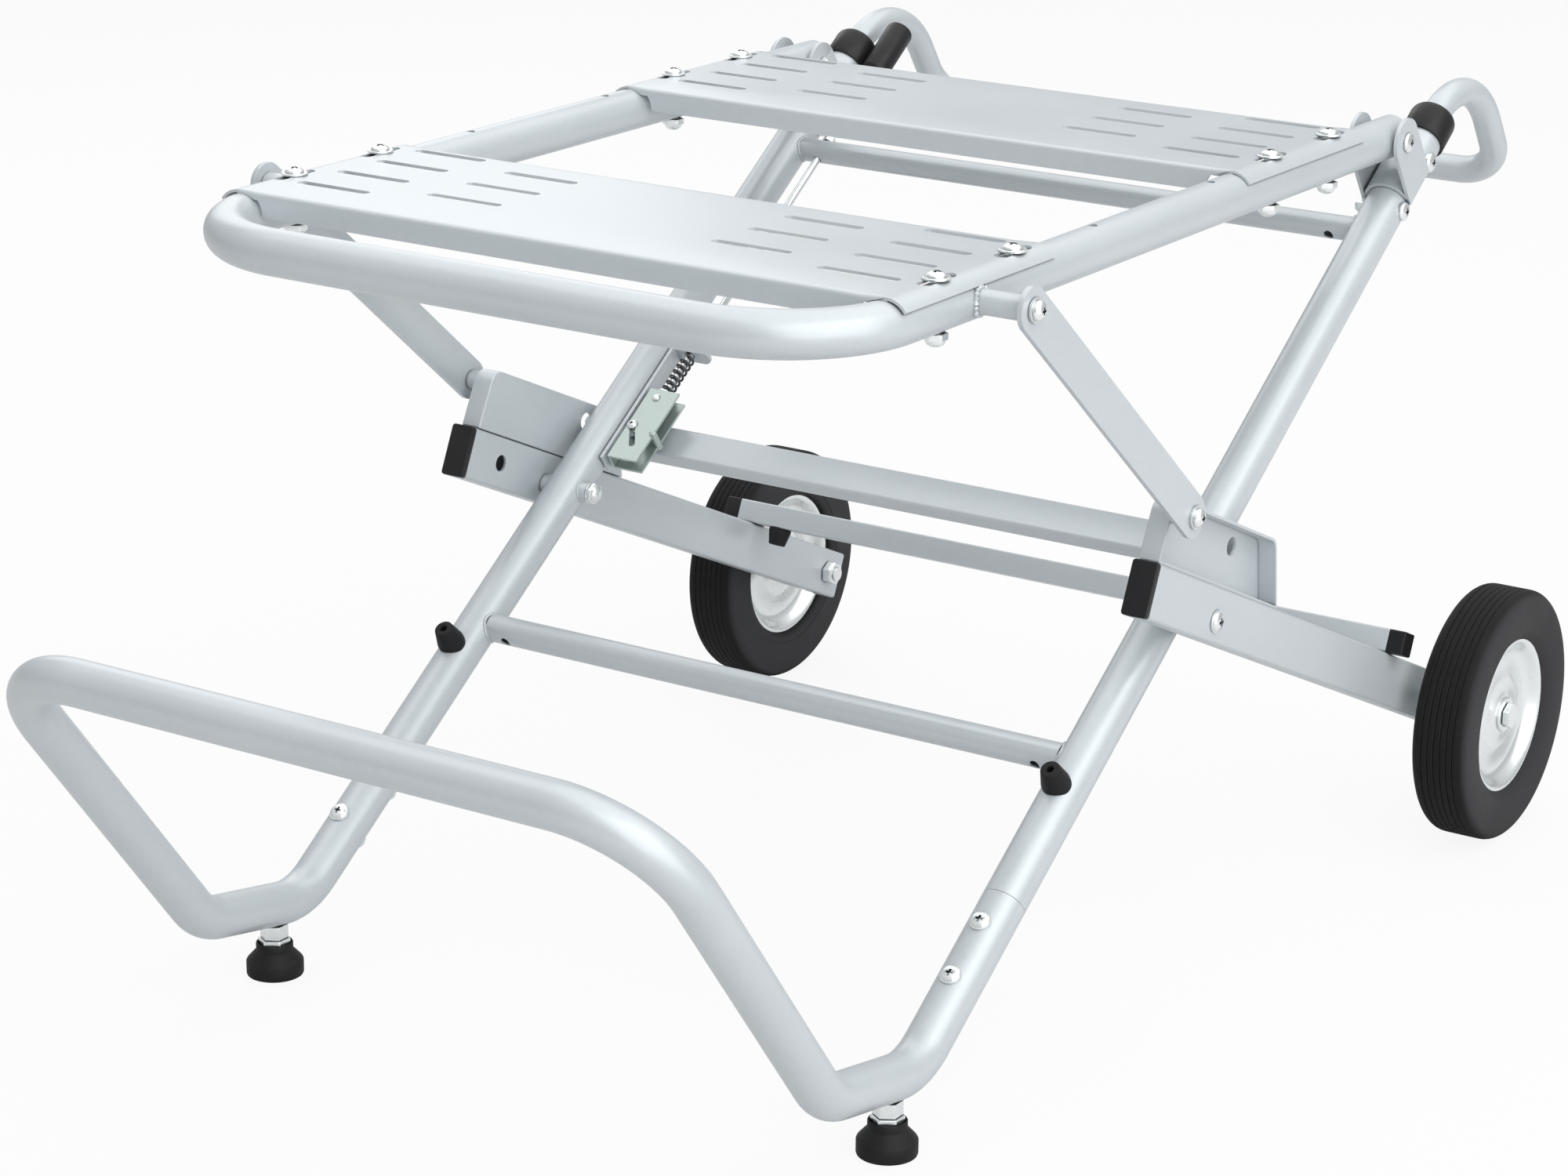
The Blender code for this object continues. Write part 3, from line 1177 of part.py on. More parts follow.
def add_side_brackets():
    """Pressed brackets on the legs: web, flange all round open to the outside, and link bush."""
    lock = FRAME @ Vector((0.0, LOCK_PLACE, 0.0))
    for name, sign in SIDES.items():
        bm = bmesh.new()
        prism(bm, bracket_outline(0.0, sign * LEG_INNER), X_AXIS * (sign * BRACKET_FLANGE))
        bracket = add_part(f"side_bracket_{name}", bm, "wheel_frame", "powder_coat", LEG)
        pocket = bmesh.new()
        web = sign * (LEG_INNER + BRACKET_WEB)
        prism(pocket, bracket_outline(BRACKET_WEB, web), X_AXIS * (sign * BRACKET_FLANGE))
        add_boolean(bracket, pocket, "wheel_frame", "DIFFERENCE", LEG)
        bush = bmesh.new()
        ends = across(sign, LEG_INNER + BRACKET_WEB / 2.0, LINK_INNER - SEAT_GAP,
                      FRAME_LINK.y, FRAME_LINK.z)
        rod(bush, LINK_BUSH_RADIUS, *ends)
        add_boolean(bracket, bush, "wheel_frame", "UNION")
        hole = bmesh.new()
        near = LEG_INNER - CUT_OVERRUN
        far = LEG_INNER + BRACKET_WEB + CUT_OVERRUN
        rod(hole, LOCK_HOLE_RADIUS, *across(sign, near, far, lock.y, lock.z))
        ends = across(sign, near, LINK_INNER + CUT_OVERRUN, FRAME_LINK.y, FRAME_LINK.z)
        rod(hole, LINK_SHANK_RADIUS + RUN_GAP, *ends)
        add_boolean(bracket, hole, "wheel_frame", "DIFFERENCE")


def add_cross_tube():
    """Flat tube between the side brackets; the main tubes bear on it when the stand is open."""
    half = LEG_INNER - SEAT_GAP
    height = -TUBE_RADIUS - SEAT_GAP - CROSS_TUBE_HEIGHT / 2.0
    ends = [Vector((sign * half, CROSS_TUBE_PLACE, height)) for sign in SIDES.values()]
    wall = 2.0 * CROSS_TUBE_WALL
    outline = box_outline(CROSS_TUBE_LENGTHWAYS, CROSS_TUBE_HEIGHT, LEG_CORNER)
    bore = box_outline(CROSS_TUBE_LENGTHWAYS - wall, CROSS_TUBE_HEIGHT - wall, LEG_CORNER)
    bm = bmesh.new()
    sweep(bm, ends, outline, bore)
    add_part("cross_tube", bm, "wheel_frame", "powder_coat", FRAME)


def add_square_bar():
    """Square bar across the legs, its end caps, and the buffers under it."""
    half = LEG_OUTER - LEG_WIDTH + SQUARE_BAR_OVERHANG
    height = LEG_TOP + SEAT_GAP + SQUARE_BAR_SIZE / 2.0
    ends = [Vector((sign * half, SQUARE_BAR_PLACE, height)) for sign in SIDES.values()]
    wall = 2.0 * SQUARE_BAR_WALL
    outline = box_outline(SQUARE_BAR_SIZE, SQUARE_BAR_SIZE, SQUARE_BAR_CORNER)
    bore = box_outline(SQUARE_BAR_SIZE - wall, SQUARE_BAR_SIZE - wall, SQUARE_BAR_CORNER)
    bm = bmesh.new()
    sweep(bm, ends, outline, bore)
    add_part("square_bar", bm, "wheel_frame", "powder_coat", LEG)
    for (name, sign), end in zip(SIDES.items(), ends):
        outward = X_AXIS * sign
        cap = bmesh.new()
        plug(cap, end + outward * SEAT_GAP, outward, SQUARE_BAR_SIZE, SQUARE_BAR_SIZE,
             SQUARE_BAR_CORNER, SQUARE_BAR_WALL, BAR_CAP_LENGTH)
        add_part(f"bar_cap_{name}", cap, "wheel_frame", "black_plastic", LEG)
        buffer = bmesh.new()
        seat = Vector((sign * FRAME_HALF_WIDTH, SQUARE_BAR_PLACE, LEG_TOP))
        bumper(buffer, seat, -Z_AXIS, BAR_BUMPER_BASE_RADIUS, BAR_BUMPER_TIP_RADIUS,
               BAR_BUMPER_HEIGHT, 0.0)
        add_part(f"bar_bumper_{name}", buffer, "wheel_frame", "black_rubber", LEG)


def tyre_profile():
    """Outline of the tyre's section: bead, rounded shoulders and a grooved tread."""
    half = TYRE_WIDTH / 2.0
    tread = half - TYRE_SHOULDER
    bead = TYRE_BEAD_RADIUS
    wall = WHEEL_RADIUS - TYRE_SHOULDER
    side = [
        (bead, half - RIM_INSET),
        (bead + TYRE_SHOULDER, half),
        (wall, half),
        (WHEEL_RADIUS - TYRE_SHOULDER / 4.0, half - TYRE_SHOULDER / 2.0),
    ]
    points = list(side)
    pitch = 2.0 * tread / TREAD_GROOVES
    land = pitch * TREAD_LAND_SHARE / 2.0
    points.append((WHEEL_RADIUS, tread))
    for groove in range(TREAD_GROOVES):
        centre = tread - pitch / 2.0 - pitch * groove
        cut = pitch / 2.0 - land
        points += [
            (WHEEL_RADIUS, centre + cut),
            (WHEEL_RADIUS - TREAD_GROOVE_DEPTH, centre),
            (WHEEL_RADIUS, centre - cut),
        ]
    points.append((WHEEL_RADIUS, -tread))
    points += [(radius, -place) for radius, place in reversed(side)]
    return points


def disc_profile():
    """Outline of the pressed wheel and its hub, from the hub's inner end round the rim."""
    half = TYRE_WIDTH / 2.0 - RIM_INSET
    face = half * HUB_FACE_SHARE
    bore = AXLE_RADIUS + RUN_GAP
    inner_end = -(TYRE_WIDTH / 2.0 + WHEEL_STANDOFF - SEAT_GAP)
    outer = [
        (HUB_RADIUS, face),
        (RIM_WELL_RADIUS - DISC_DISH, half - DISC_DISH),
        (RIM_WELL_RADIUS, half - DISC_DISH / 2.0),
        (RIM_RADIUS - RIM_SHEET, half),
        (TYRE_BEAD_RADIUS - SEAT_GAP, half - RIM_SHEET),
    ]
    inner = [(radius, -place) for radius, place in reversed(outer)]
    hub_outer = [(bore, hub_face()), (HUB_RADIUS, hub_face())]
    hub_inner = [(HUB_RADIUS, inner_end), (bore, inner_end)]
    return hub_outer + outer + inner + hub_inner


def hub_face():
    """Where a wheel hub's outer face lies, from the wheel's middle."""
    return (TYRE_WIDTH / 2.0 - RIM_INSET) * HUB_FACE_SHARE + RIM_SHEET


def add_wheels():
    """Tyres, and pressed wheels with their hubs, each on its own axle."""
    middle = (TYRE_INNER + TYRE_OUTER) / 2.0
    for name, sign in SIDES.items():
        body = f"wheel_{name}"
        origin = AXLE + X_AXIS * (sign * middle)
        tyre = bmesh.new()
        turned(tyre, tyre_profile(), origin, X_AXIS * sign, WHEEL_FACETS, ring=True)
        add_part(f"tyre_{name}", tyre, body, "tyre_rubber")
        disc = bmesh.new()
        turned(disc, disc_profile(), origin, X_AXIS * sign, WHEEL_FACETS, ring=True)
        add_part(f"wheel_disc_{name}", disc, body, "zinc")


def add_axles():
    """Axle bolts through wheels and legs, each with its nut on the leg's inner side."""
    head_seat = (TYRE_INNER + TYRE_OUTER) / 2.0 + hub_face() + SEAT_GAP
    nut_top = LEG_INNER - SEAT_GAP - head_seat
    nut_low = nut_top - AXLE_NUT_HEIGHT
    crown = circle(AXLE_HEAD_RADIUS * HEX_FLAT_SHARE * HEX_FLAT_SHARE, NUT_FACETS)
    levels = [
        (circle(AXLE_RADIUS, NUT_FACETS), nut_low - AXLE_END),
        (circle(AXLE_RADIUS, NUT_FACETS), nut_low),
        (hexagon(AXLE_HEAD_RADIUS), nut_low),
        (hexagon(AXLE_HEAD_RADIUS), nut_top),
        (circle(AXLE_RADIUS, NUT_FACETS), nut_top),
        (circle(AXLE_RADIUS, NUT_FACETS), 0.0),
        (hexagon(AXLE_HEAD_RADIUS), 0.0),
        (hexagon(AXLE_HEAD_RADIUS), AXLE_HEAD_HEIGHT * HEAD_CROWN_HEIGHT_SHARE),
        (crown, AXLE_HEAD_HEIGHT),
    ]
    for name, sign in SIDES.items():
        bm = bmesh.new()
        stack(bm, levels, AXLE + X_AXIS * (sign * head_seat), X_AXIS * sign)
        add_part(f"axle_bolt_{name}", bm, "wheel_frame", "zinc")


def add_feet():
    """Levelling feet: rubber pads, and threaded studs with their lock nuts."""
    profile = [
        (0.0, 0.0),
        (PAD_RADIUS - PAD_EDGE, 0.0),
        (PAD_RADIUS, PAD_EDGE),
        (PAD_RADIUS, PAD_BODY_HEIGHT),
        (PAD_NECK_RADIUS, PAD_SHOULDER_HEIGHT),
        (PAD_NECK_RADIUS, PAD_HEIGHT),
        (PAD_CUP_RADIUS, PAD_HEIGHT),
        (PAD_CUP_RADIUS, PAD_HEIGHT - PAD_CUP_DEPTH),
        (STUD_RADIUS + SEAT_GAP, PAD_HEIGHT - PAD_CUP_DEPTH),
        (STUD_RADIUS + SEAT_GAP, PAD_FLOOR),
        (0.0, PAD_FLOOR),
    ]
    for name, sign in SIDES.items():
        body = f"foot_{name}"
        over = foot_place(sign)
        ground = Vector((over.x, over.y, 0.0))
        pad = bmesh.new()
        turned(pad, profile, ground, Z_AXIS, NUT_FACETS)
        add_part(f"foot_pad_{name}", pad, body, "black_rubber")
        round_stud = circle(STUD_RADIUS, NUT_FACETS)
        levels = [
            (round_stud, PAD_FLOOR + SEAT_GAP),
            (round_stud, FOOT_NUT_SEAT),
            (hexagon(LOCK_NUT_RADIUS), FOOT_NUT_SEAT),
            (hexagon(LOCK_NUT_RADIUS), FOOT_NUT_TOP),
            (round_stud, FOOT_NUT_TOP),
            (round_stud, over.z + STUD_TOP),
        ]
        stud = bmesh.new()
        stack(stud, levels, ground, Z_AXIS)
        add_part(f"foot_stud_{name}", stud, body, "zinc")


def add_latch_guide():
    """L-shaped strip on the left main tube's inner side that guides the pin and holds the rod."""
    face = -(FRAME_HALF_WIDTH - TUBE_RADIUS - SEAT_GAP)
    inner = face + GUIDE_SHEET
    tip = face + GUIDE_TAB
    bm = bmesh.new()
    outline = [
        Vector((face, GUIDE_START, -GUIDE_HALF_WIDTH)),
        Vector((inner, GUIDE_START, -GUIDE_HALF_WIDTH)),
        Vector((inner, GUIDE_END - GUIDE_SHEET, -GUIDE_HALF_WIDTH)),
        Vector((tip, GUIDE_END - GUIDE_SHEET, -GUIDE_HALF_WIDTH)),
        Vector((tip, GUIDE_END, -GUIDE_HALF_WIDTH)),
        Vector((face, GUIDE_END, -GUIDE_HALF_WIDTH)),
    ]
    prism(bm, outline, Z_AXIS * (2.0 * GUIDE_HALF_WIDTH))
    guide = add_part("latch_guide", bm, "main_frame", "powder_coat", FRAME, False)
    keep = bmesh.new()
    low = GUIDE_START - CUT_OVERRUN
    round_end = []
    for index in range(GUIDE_ARC_STEPS + 1):
        angle = math.pi * (index / GUIDE_ARC_STEPS - 0.5)
        x = tip - GUIDE_HALF_WIDTH + GUIDE_HALF_WIDTH * math.cos(angle)
        round_end.append(Vector((x, low, GUIDE_HALF_WIDTH * math.sin(angle))))
    back = face - CUT_OVERRUN
    round_end.append(Vector((back, low, GUIDE_HALF_WIDTH)))
    round_end.append(Vector((back, low, -GUIDE_HALF_WIDTH)))
    prism(keep, round_end, Y_AXIS * (GUIDE_END - GUIDE_START + 2.0 * CUT_OVERRUN))
    add_boolean(guide, keep, "main_frame", "INTERSECT", FRAME)
    cuts = bmesh.new()
    rod(cuts, LOCK_PIN_RADIUS + SEAT_GAP, Vector((back, LOCK_PLACE, 0.0)),
        Vector((inner + CUT_OVERRUN, LOCK_PLACE, 0.0)))
    rod(cuts, ROD_RADIUS + SEAT_GAP, Vector((-ROD_OFFSET, GUIDE_END - GUIDE_SHEET - CUT_OVERRUN, 0.0)),
        Vector((-ROD_OFFSET, GUIDE_END + CUT_OVERRUN, 0.0)))
    add_boolean(guide, cuts, "main_frame", "DIFFERENCE", FRAME)


def latch_faces():
    """The latch plate's left face, right face and the height of its inner faces."""
    left = -(FRAME_HALF_WIDTH - LATCH_INSET)
    return left, left + LATCH_WIDTH, LATCH_HALF_HEIGHT - LATCH_SHEET


def add_latch_plate():
    """Folded latch plate with the slanted slots that draw the pin as the rod is pulled."""
    left, right, inner = latch_faces()
    height = LATCH_HALF_HEIGHT
    web = left + LATCH_SHEET
    section = [
        (left, -height), (right, -height), (right, -inner), (web, -inner),
        (web, inner), (right, inner), (right, height), (left, height),
    ]
    bm = bmesh.new()
    prism(bm, [Vector((x, LATCH_START, z)) for x, z in section], Y_AXIS * (LATCH_END - LATCH_START))
    plate = add_part("latch_plate", bm, "release_rod", "yellow_zinc", FRAME, False)
    cuts = bmesh.new()
    screw = Vector((-(FRAME_HALF_WIDTH - LOCK_SCREW_INSET), LOCK_PLACE, 0.0))
    travel = Vector((LATCH_SLOT_RISE, -LATCH_SLOT_RUN, 0.0))
    along = travel.normalized()
    square = Z_AXIS.cross(along)
    radius = LATCH_SLOT_WIDTH / 2.0
    depth = Z_AXIS * (height + CUT_OVERRUN)
    outline = []
    for centre, turn in ((screw + travel, -0.5), (screw, 0.5)):
        for index in range(LATCH_ARC_STEPS + 1):
            angle = math.pi * (index / LATCH_ARC_STEPS + turn)
            away = along * math.cos(angle) + square * math.sin(angle)
            outline.append(centre + away * radius - depth)
    prism(cuts, outline, depth * 2.0)
    pin = LOCK_PIN_RADIUS + SEAT_GAP
    low = LOCK_PLACE - LATCH_SLOT_RUN - pin
    high = LOCK_PLACE + pin
    window = [
        Vector((left - CUT_OVERRUN, low, -pin)), Vector((left - CUT_OVERRUN, high, -pin)),
        Vector((left - CUT_OVERRUN, high, pin)), Vector((left - CUT_OVERRUN, low, pin)),
    ]
    rivet = Vector((-ROD_OFFSET, RIVET_PLACE, 0.0))
    rod(cuts, RIVET_RADIUS + SEAT_GAP, rivet - depth, rivet + depth)
    add_boolean(plate, cuts, "release_rod", "DIFFERENCE", FRAME)
    opening = bmesh.new()
    prism(opening, window, X_AXIS * (LATCH_SHEET + 2.0 * CUT_OVERRUN))
    add_boolean(plate, opening, "release_rod", "DIFFERENCE", FRAME)
    spacer = bmesh.new()
    centre = Vector((-(FRAME_HALF_WIDTH - SPACER_INSET), SPACER_PLACE, 0.0))
    levels = [(circle(0.0, BOLT_FACETS), -height - RIVET_HEAD_HEIGHT)]
    levels += [(circle(ROD_RADIUS, BOLT_FACETS), place) for place in (-height, height)]
    levels.append((circle(0.0, BOLT_FACETS), height + RIVET_HEAD_HEIGHT))
    stack(spacer, levels, centre, Z_AXIS)
    add_boolean(plate, spacer, "release_rod", "UNION", FRAME)


def add_release_rod():
    """The release rod with its spring flange, stop nut and rivet, and the grip on its end."""
    middle = Vector((-ROD_OFFSET, 0.0, 0.0))
    nut_start = UPPER_BAR_PLACE + UPPER_BAR_RADIUS + SEAT_GAP
    bm = bmesh.new()
    profile = [
        (0.0, ROD_START),
        (ROD_RADIUS, ROD_START),
        (ROD_RADIUS, ROD_FLANGE_PLACE - ROD_FLANGE_THICKNESS),
        (ROD_FLANGE_RADIUS, ROD_FLANGE_PLACE - ROD_FLANGE_THICKNESS),
        (ROD_FLANGE_RADIUS, ROD_FLANGE_PLACE),
        (ROD_RADIUS, ROD_FLANGE_PLACE),
        (ROD_RADIUS, nut_start),
        (ROD_NUT_RADIUS, nut_start),
        (ROD_NUT_RADIUS, nut_start + ROD_NUT_HEIGHT),
        (ROD_RADIUS, nut_start + ROD_NUT_HEIGHT),
        (ROD_RADIUS, ROD_TOP),
        (0.0, ROD_TOP),
    ]
    turned(bm, profile, middle, Y_AXIS, BOLT_FACETS)
    release = add_part("release_rod", bm, "release_rod", "zinc", FRAME)
    rivet = bmesh.new()
    outer = LATCH_HALF_HEIGHT + SEAT_GAP
    profile = [
        (0.0, -outer - RIVET_HEAD_HEIGHT),
        (RIVET_HEAD_RADIUS, -outer),
        (RIVET_RADIUS, -outer),
        (RIVET_RADIUS, outer),
        (RIVET_HEAD_RADIUS, outer),
        (0.0, outer + RIVET_HEAD_HEIGHT),
    ]
    turned(rivet, profile, middle + Y_AXIS * RIVET_PLACE, Z_AXIS, BOLT_FACETS)
    add_boolean(release, rivet, "release_rod", "UNION", FRAME)
    grip = bmesh.new()
    bore = ROD_RADIUS + SEAT_GAP
    profile = [
        (0.0, ROD_TOP + SEAT_GAP),
        (bore, ROD_TOP + SEAT_GAP),
        (bore, GRIP_START),
        (GRIP_RADIUS - GRIP_ROUND, GRIP_START),
        (GRIP_RADIUS, GRIP_START + GRIP_ROUND),
        (GRIP_RADIUS, GRIP_END - GRIP_ROUND),
        (GRIP_RADIUS - GRIP_ROUND, GRIP_END),
        (0.0, GRIP_END),
    ]
    turned(grip, profile, middle, Y_AXIS, BOLT_FACETS)
    add_part("release_grip", grip, "release_rod", "black_plastic", FRAME)


def add_lock_pin():
    """Lock pin through the left main tube, with the screw that rides in the latch slots."""
    tip = Vector((-(FRAME_HALF_WIDTH + TUBE_RADIUS + LOCK_PIN_TIP), LOCK_PLACE, 0.0))
    tail = Vector((-(FRAME_HALF_WIDTH - TUBE_RADIUS - LOCK_PIN_TAIL), LOCK_PLACE, 0.0))
    bm = bmesh.new()
    length = (tail - tip).length
    nose = LOCK_PIN_RADIUS * HEAD_CROWN_SHARE
    profile = [
        (0.0, 0.0),
        (nose, 0.0),
        (LOCK_PIN_RADIUS, LOCK_PIN_RADIUS - nose),
        (LOCK_PIN_RADIUS, length),
        (0.0, length),
    ]
    turned(bm, profile, tip, X_AXIS, BOLT_FACETS)
    pin = add_part("lock_pin", bm, "lock_pin", "zinc", FRAME)
    screw_place = Vector((-(FRAME_HALF_WIDTH - LOCK_SCREW_INSET), LOCK_PLACE, 0.0))
    hole = bmesh.new()
    reach = Z_AXIS * (LOCK_PIN_RADIUS + CUT_OVERRUN)
    rod(hole, LOCK_SCREW_RADIUS + SEAT_GAP, screw_place - reach, screw_place + reach)
    add_boolean(pin, hole, "lock_pin", "DIFFERENCE", FRAME)
    screw = bmesh.new()
    outer = LATCH_HALF_HEIGHT + SEAT_GAP
    profile = [
        (0.0, -outer - RIVET_HEAD_HEIGHT),
        (RIVET_HEAD_RADIUS, -outer),
        (LOCK_SCREW_RADIUS, -outer),
        (LOCK_SCREW_RADIUS, outer),
        (LOCK_SCREW_HEAD_RADIUS, outer),
        (LOCK_SCREW_HEAD_RADIUS, outer + LOCK_SCREW_HEAD_HEIGHT * HEAD_EDGE_SHARE),
        (0.0, outer + LOCK_SCREW_HEAD_HEIGHT),
    ]
    turned(screw, profile, screw_place, Z_AXIS, BOLT_FACETS)
    add_part("lock_screw", screw, "lock_pin", "zinc", FRAME)


def spring_points():
    """Centre line of the return spring: straight ends, then turns that climb evenly."""
    start = ROD_FLANGE_PLACE + SEAT_GAP
    end = GUIDE_END - GUIDE_SHEET - SEAT_GAP
    straight = 2.0 * SPRING_WIRE_RADIUS
    low = start + straight + SPRING_WIRE_RADIUS
    high = end - straight - SPRING_WIRE_RADIUS
    count = round(SPRING_TURNS * SPRING_POINTS_PER_TURN)
    step = math.tau / SPRING_POINTS_PER_TURN
    points = []

    def on_circle(turn, height):
        x = -ROD_OFFSET + SPRING_MEAN_RADIUS * math.cos(turn)
        return Vector((x, height, SPRING_MEAN_RADIUS * math.sin(turn)))

    lead = SPRING_WIRE_RADIUS / SPRING_MEAN_RADIUS
    points.append(on_circle(-lead, start))
    points.append(on_circle(-lead, start + straight))
    for index in range(count + 1):
        points.append(on_circle(index * step, low + (high - low) * index / count))
    last = count * step + lead
    points.append(on_circle(last, end - straight))
    points.append(on_circle(last, end))
    return points


def least_self_gap(points):
    """Least clear distance between wire lengths that aren't neighbours."""
    apart = SPRING_POINTS_PER_TURN // 2
    least = min(
        (points[second] - points[first]).length
        for first in range(len(points))
        for second in range(first + apart, len(points))
    )
    return least - 2.0 * SPRING_WIRE_RADIUS


def add_latch_spring():
    """The return spring round the release rod, one unbroken wire."""
    points = spring_points()
    curve = bpy.data.curves.new("latch_spring", "CURVE")
    curve.dimensions = "3D"
    curve.bevel_depth = SPRING_WIRE_RADIUS
    curve.bevel_resolution = SPRING_BEVEL_RESOLUTION
    curve.use_fill_caps = True
    spline = curve.splines.new("POLY")
    spline.points.add(len(points) - 1)
    for target, point in zip(spline.points, points):
        target.co = (*(FRAME @ point), 1.0)
    spring = bpy.data.objects.new("latch_spring", curve)
    bpy.context.scene.collection.objects.link(spring)
    spring.parent = EMPTIES["main_frame"]
    curve.materials.append(make_material("latch_spring_finish", "spring_steel"))
    print(f"latch_spring least gap to itself {least_self_gap(points) / MM:.2f} mm")


clear_scene()
EMPTIES = add_empties()
add_main_tubes()
add_toe_tube()
add_crossbars()
add_hinge_brackets()
add_handle()
add_table_bumpers()
add_leg_pivots()
add_table_hinges()
add_table_tube()
add_saw_plates()
add_plate_bolts()
add_links()
add_legs()
add_side_brackets()
add_cross_tube()
add_square_bar()
add_wheels()
add_axles()
add_feet()
add_latch_guide()
add_latch_plate()
add_release_rod()
add_lock_pin()
add_latch_spring()
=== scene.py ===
"""Looks of the folding saw stand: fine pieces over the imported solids, finishes, light and camera.

Lengths are in metres. +X is the stand's right side, +Y its back (the handle end) and +Z up.
"""

import logging
import math
from collections.abc import Iterator, Sequence
from contextlib import contextmanager
from dataclasses import dataclass, field, replace
from enum import Enum

import bpy
from bpy.types import ID, Material, Node, NodeOutputs, NodeSocket, NodeTree, Object
from mathutils import Matrix, Vector


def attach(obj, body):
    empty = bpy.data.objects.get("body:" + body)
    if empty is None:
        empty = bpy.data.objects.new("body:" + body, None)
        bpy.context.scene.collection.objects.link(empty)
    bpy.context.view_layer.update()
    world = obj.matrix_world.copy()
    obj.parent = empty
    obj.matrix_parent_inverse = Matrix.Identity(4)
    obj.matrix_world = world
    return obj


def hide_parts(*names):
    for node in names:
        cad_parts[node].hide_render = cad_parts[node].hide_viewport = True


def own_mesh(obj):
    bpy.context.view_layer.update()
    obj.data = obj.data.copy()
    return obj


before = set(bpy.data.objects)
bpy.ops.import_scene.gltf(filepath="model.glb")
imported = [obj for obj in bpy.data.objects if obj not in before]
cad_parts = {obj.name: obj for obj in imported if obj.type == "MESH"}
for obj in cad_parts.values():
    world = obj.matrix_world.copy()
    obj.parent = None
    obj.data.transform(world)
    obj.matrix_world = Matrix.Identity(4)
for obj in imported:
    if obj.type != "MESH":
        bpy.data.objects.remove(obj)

MM = 0.001
MERGE = 0.01 * MM
SMOOTH_ANGLE = math.radians(38.0)
SHARP_LIMIT = math.radians(28.0)
X_AXIS = Vector((1.0, 0.0, 0.0))
Y_AXIS = Vector((0.0, 1.0, 0.0))
Z_AXIS = Vector((0.0, 0.0, 1.0))
MIRROR = Matrix.Scale(-1.0, 4, X_AXIS)
QUARTER = math.pi / 2.0
HOLE_FACETS = 24
RING_FACETS = 40
TUBE_FACETS = 56
WHEEL_FACETS = 96
SHEET_EASE = 0.5 * MM
RING_EASE = 0.4 * MM
CUTTER_SPARE = 2.0 * MM
Profile = Sequence[tuple[float, float]]
Colour = tuple[float, float, float]
Rgba = tuple[float, float, float, float]
Sockets = dict[str | int, object]
log = logging.getLogger("saw_stand")


class Side(Enum):
    """The stand's two sides, with the sign of their x."""

    LEFT = -1.0
    RIGHT = 1.0

    @property
    def label(self) -> str:
        """The side's name as the solids use it."""
        return self.name.lower()


class Slot(Enum):
    """The record's material slots."""

    POWDER_COAT = "powder_coat"
    ZINC = "zinc"
    YELLOW_ZINC = "yellow_zinc"
    SPRING_STEEL = "spring_steel"
    BLACK_RUBBER = "black_rubber"
    BLACK_PLASTIC = "black_plastic"
    TYRE_RUBBER = "tyre_rubber"


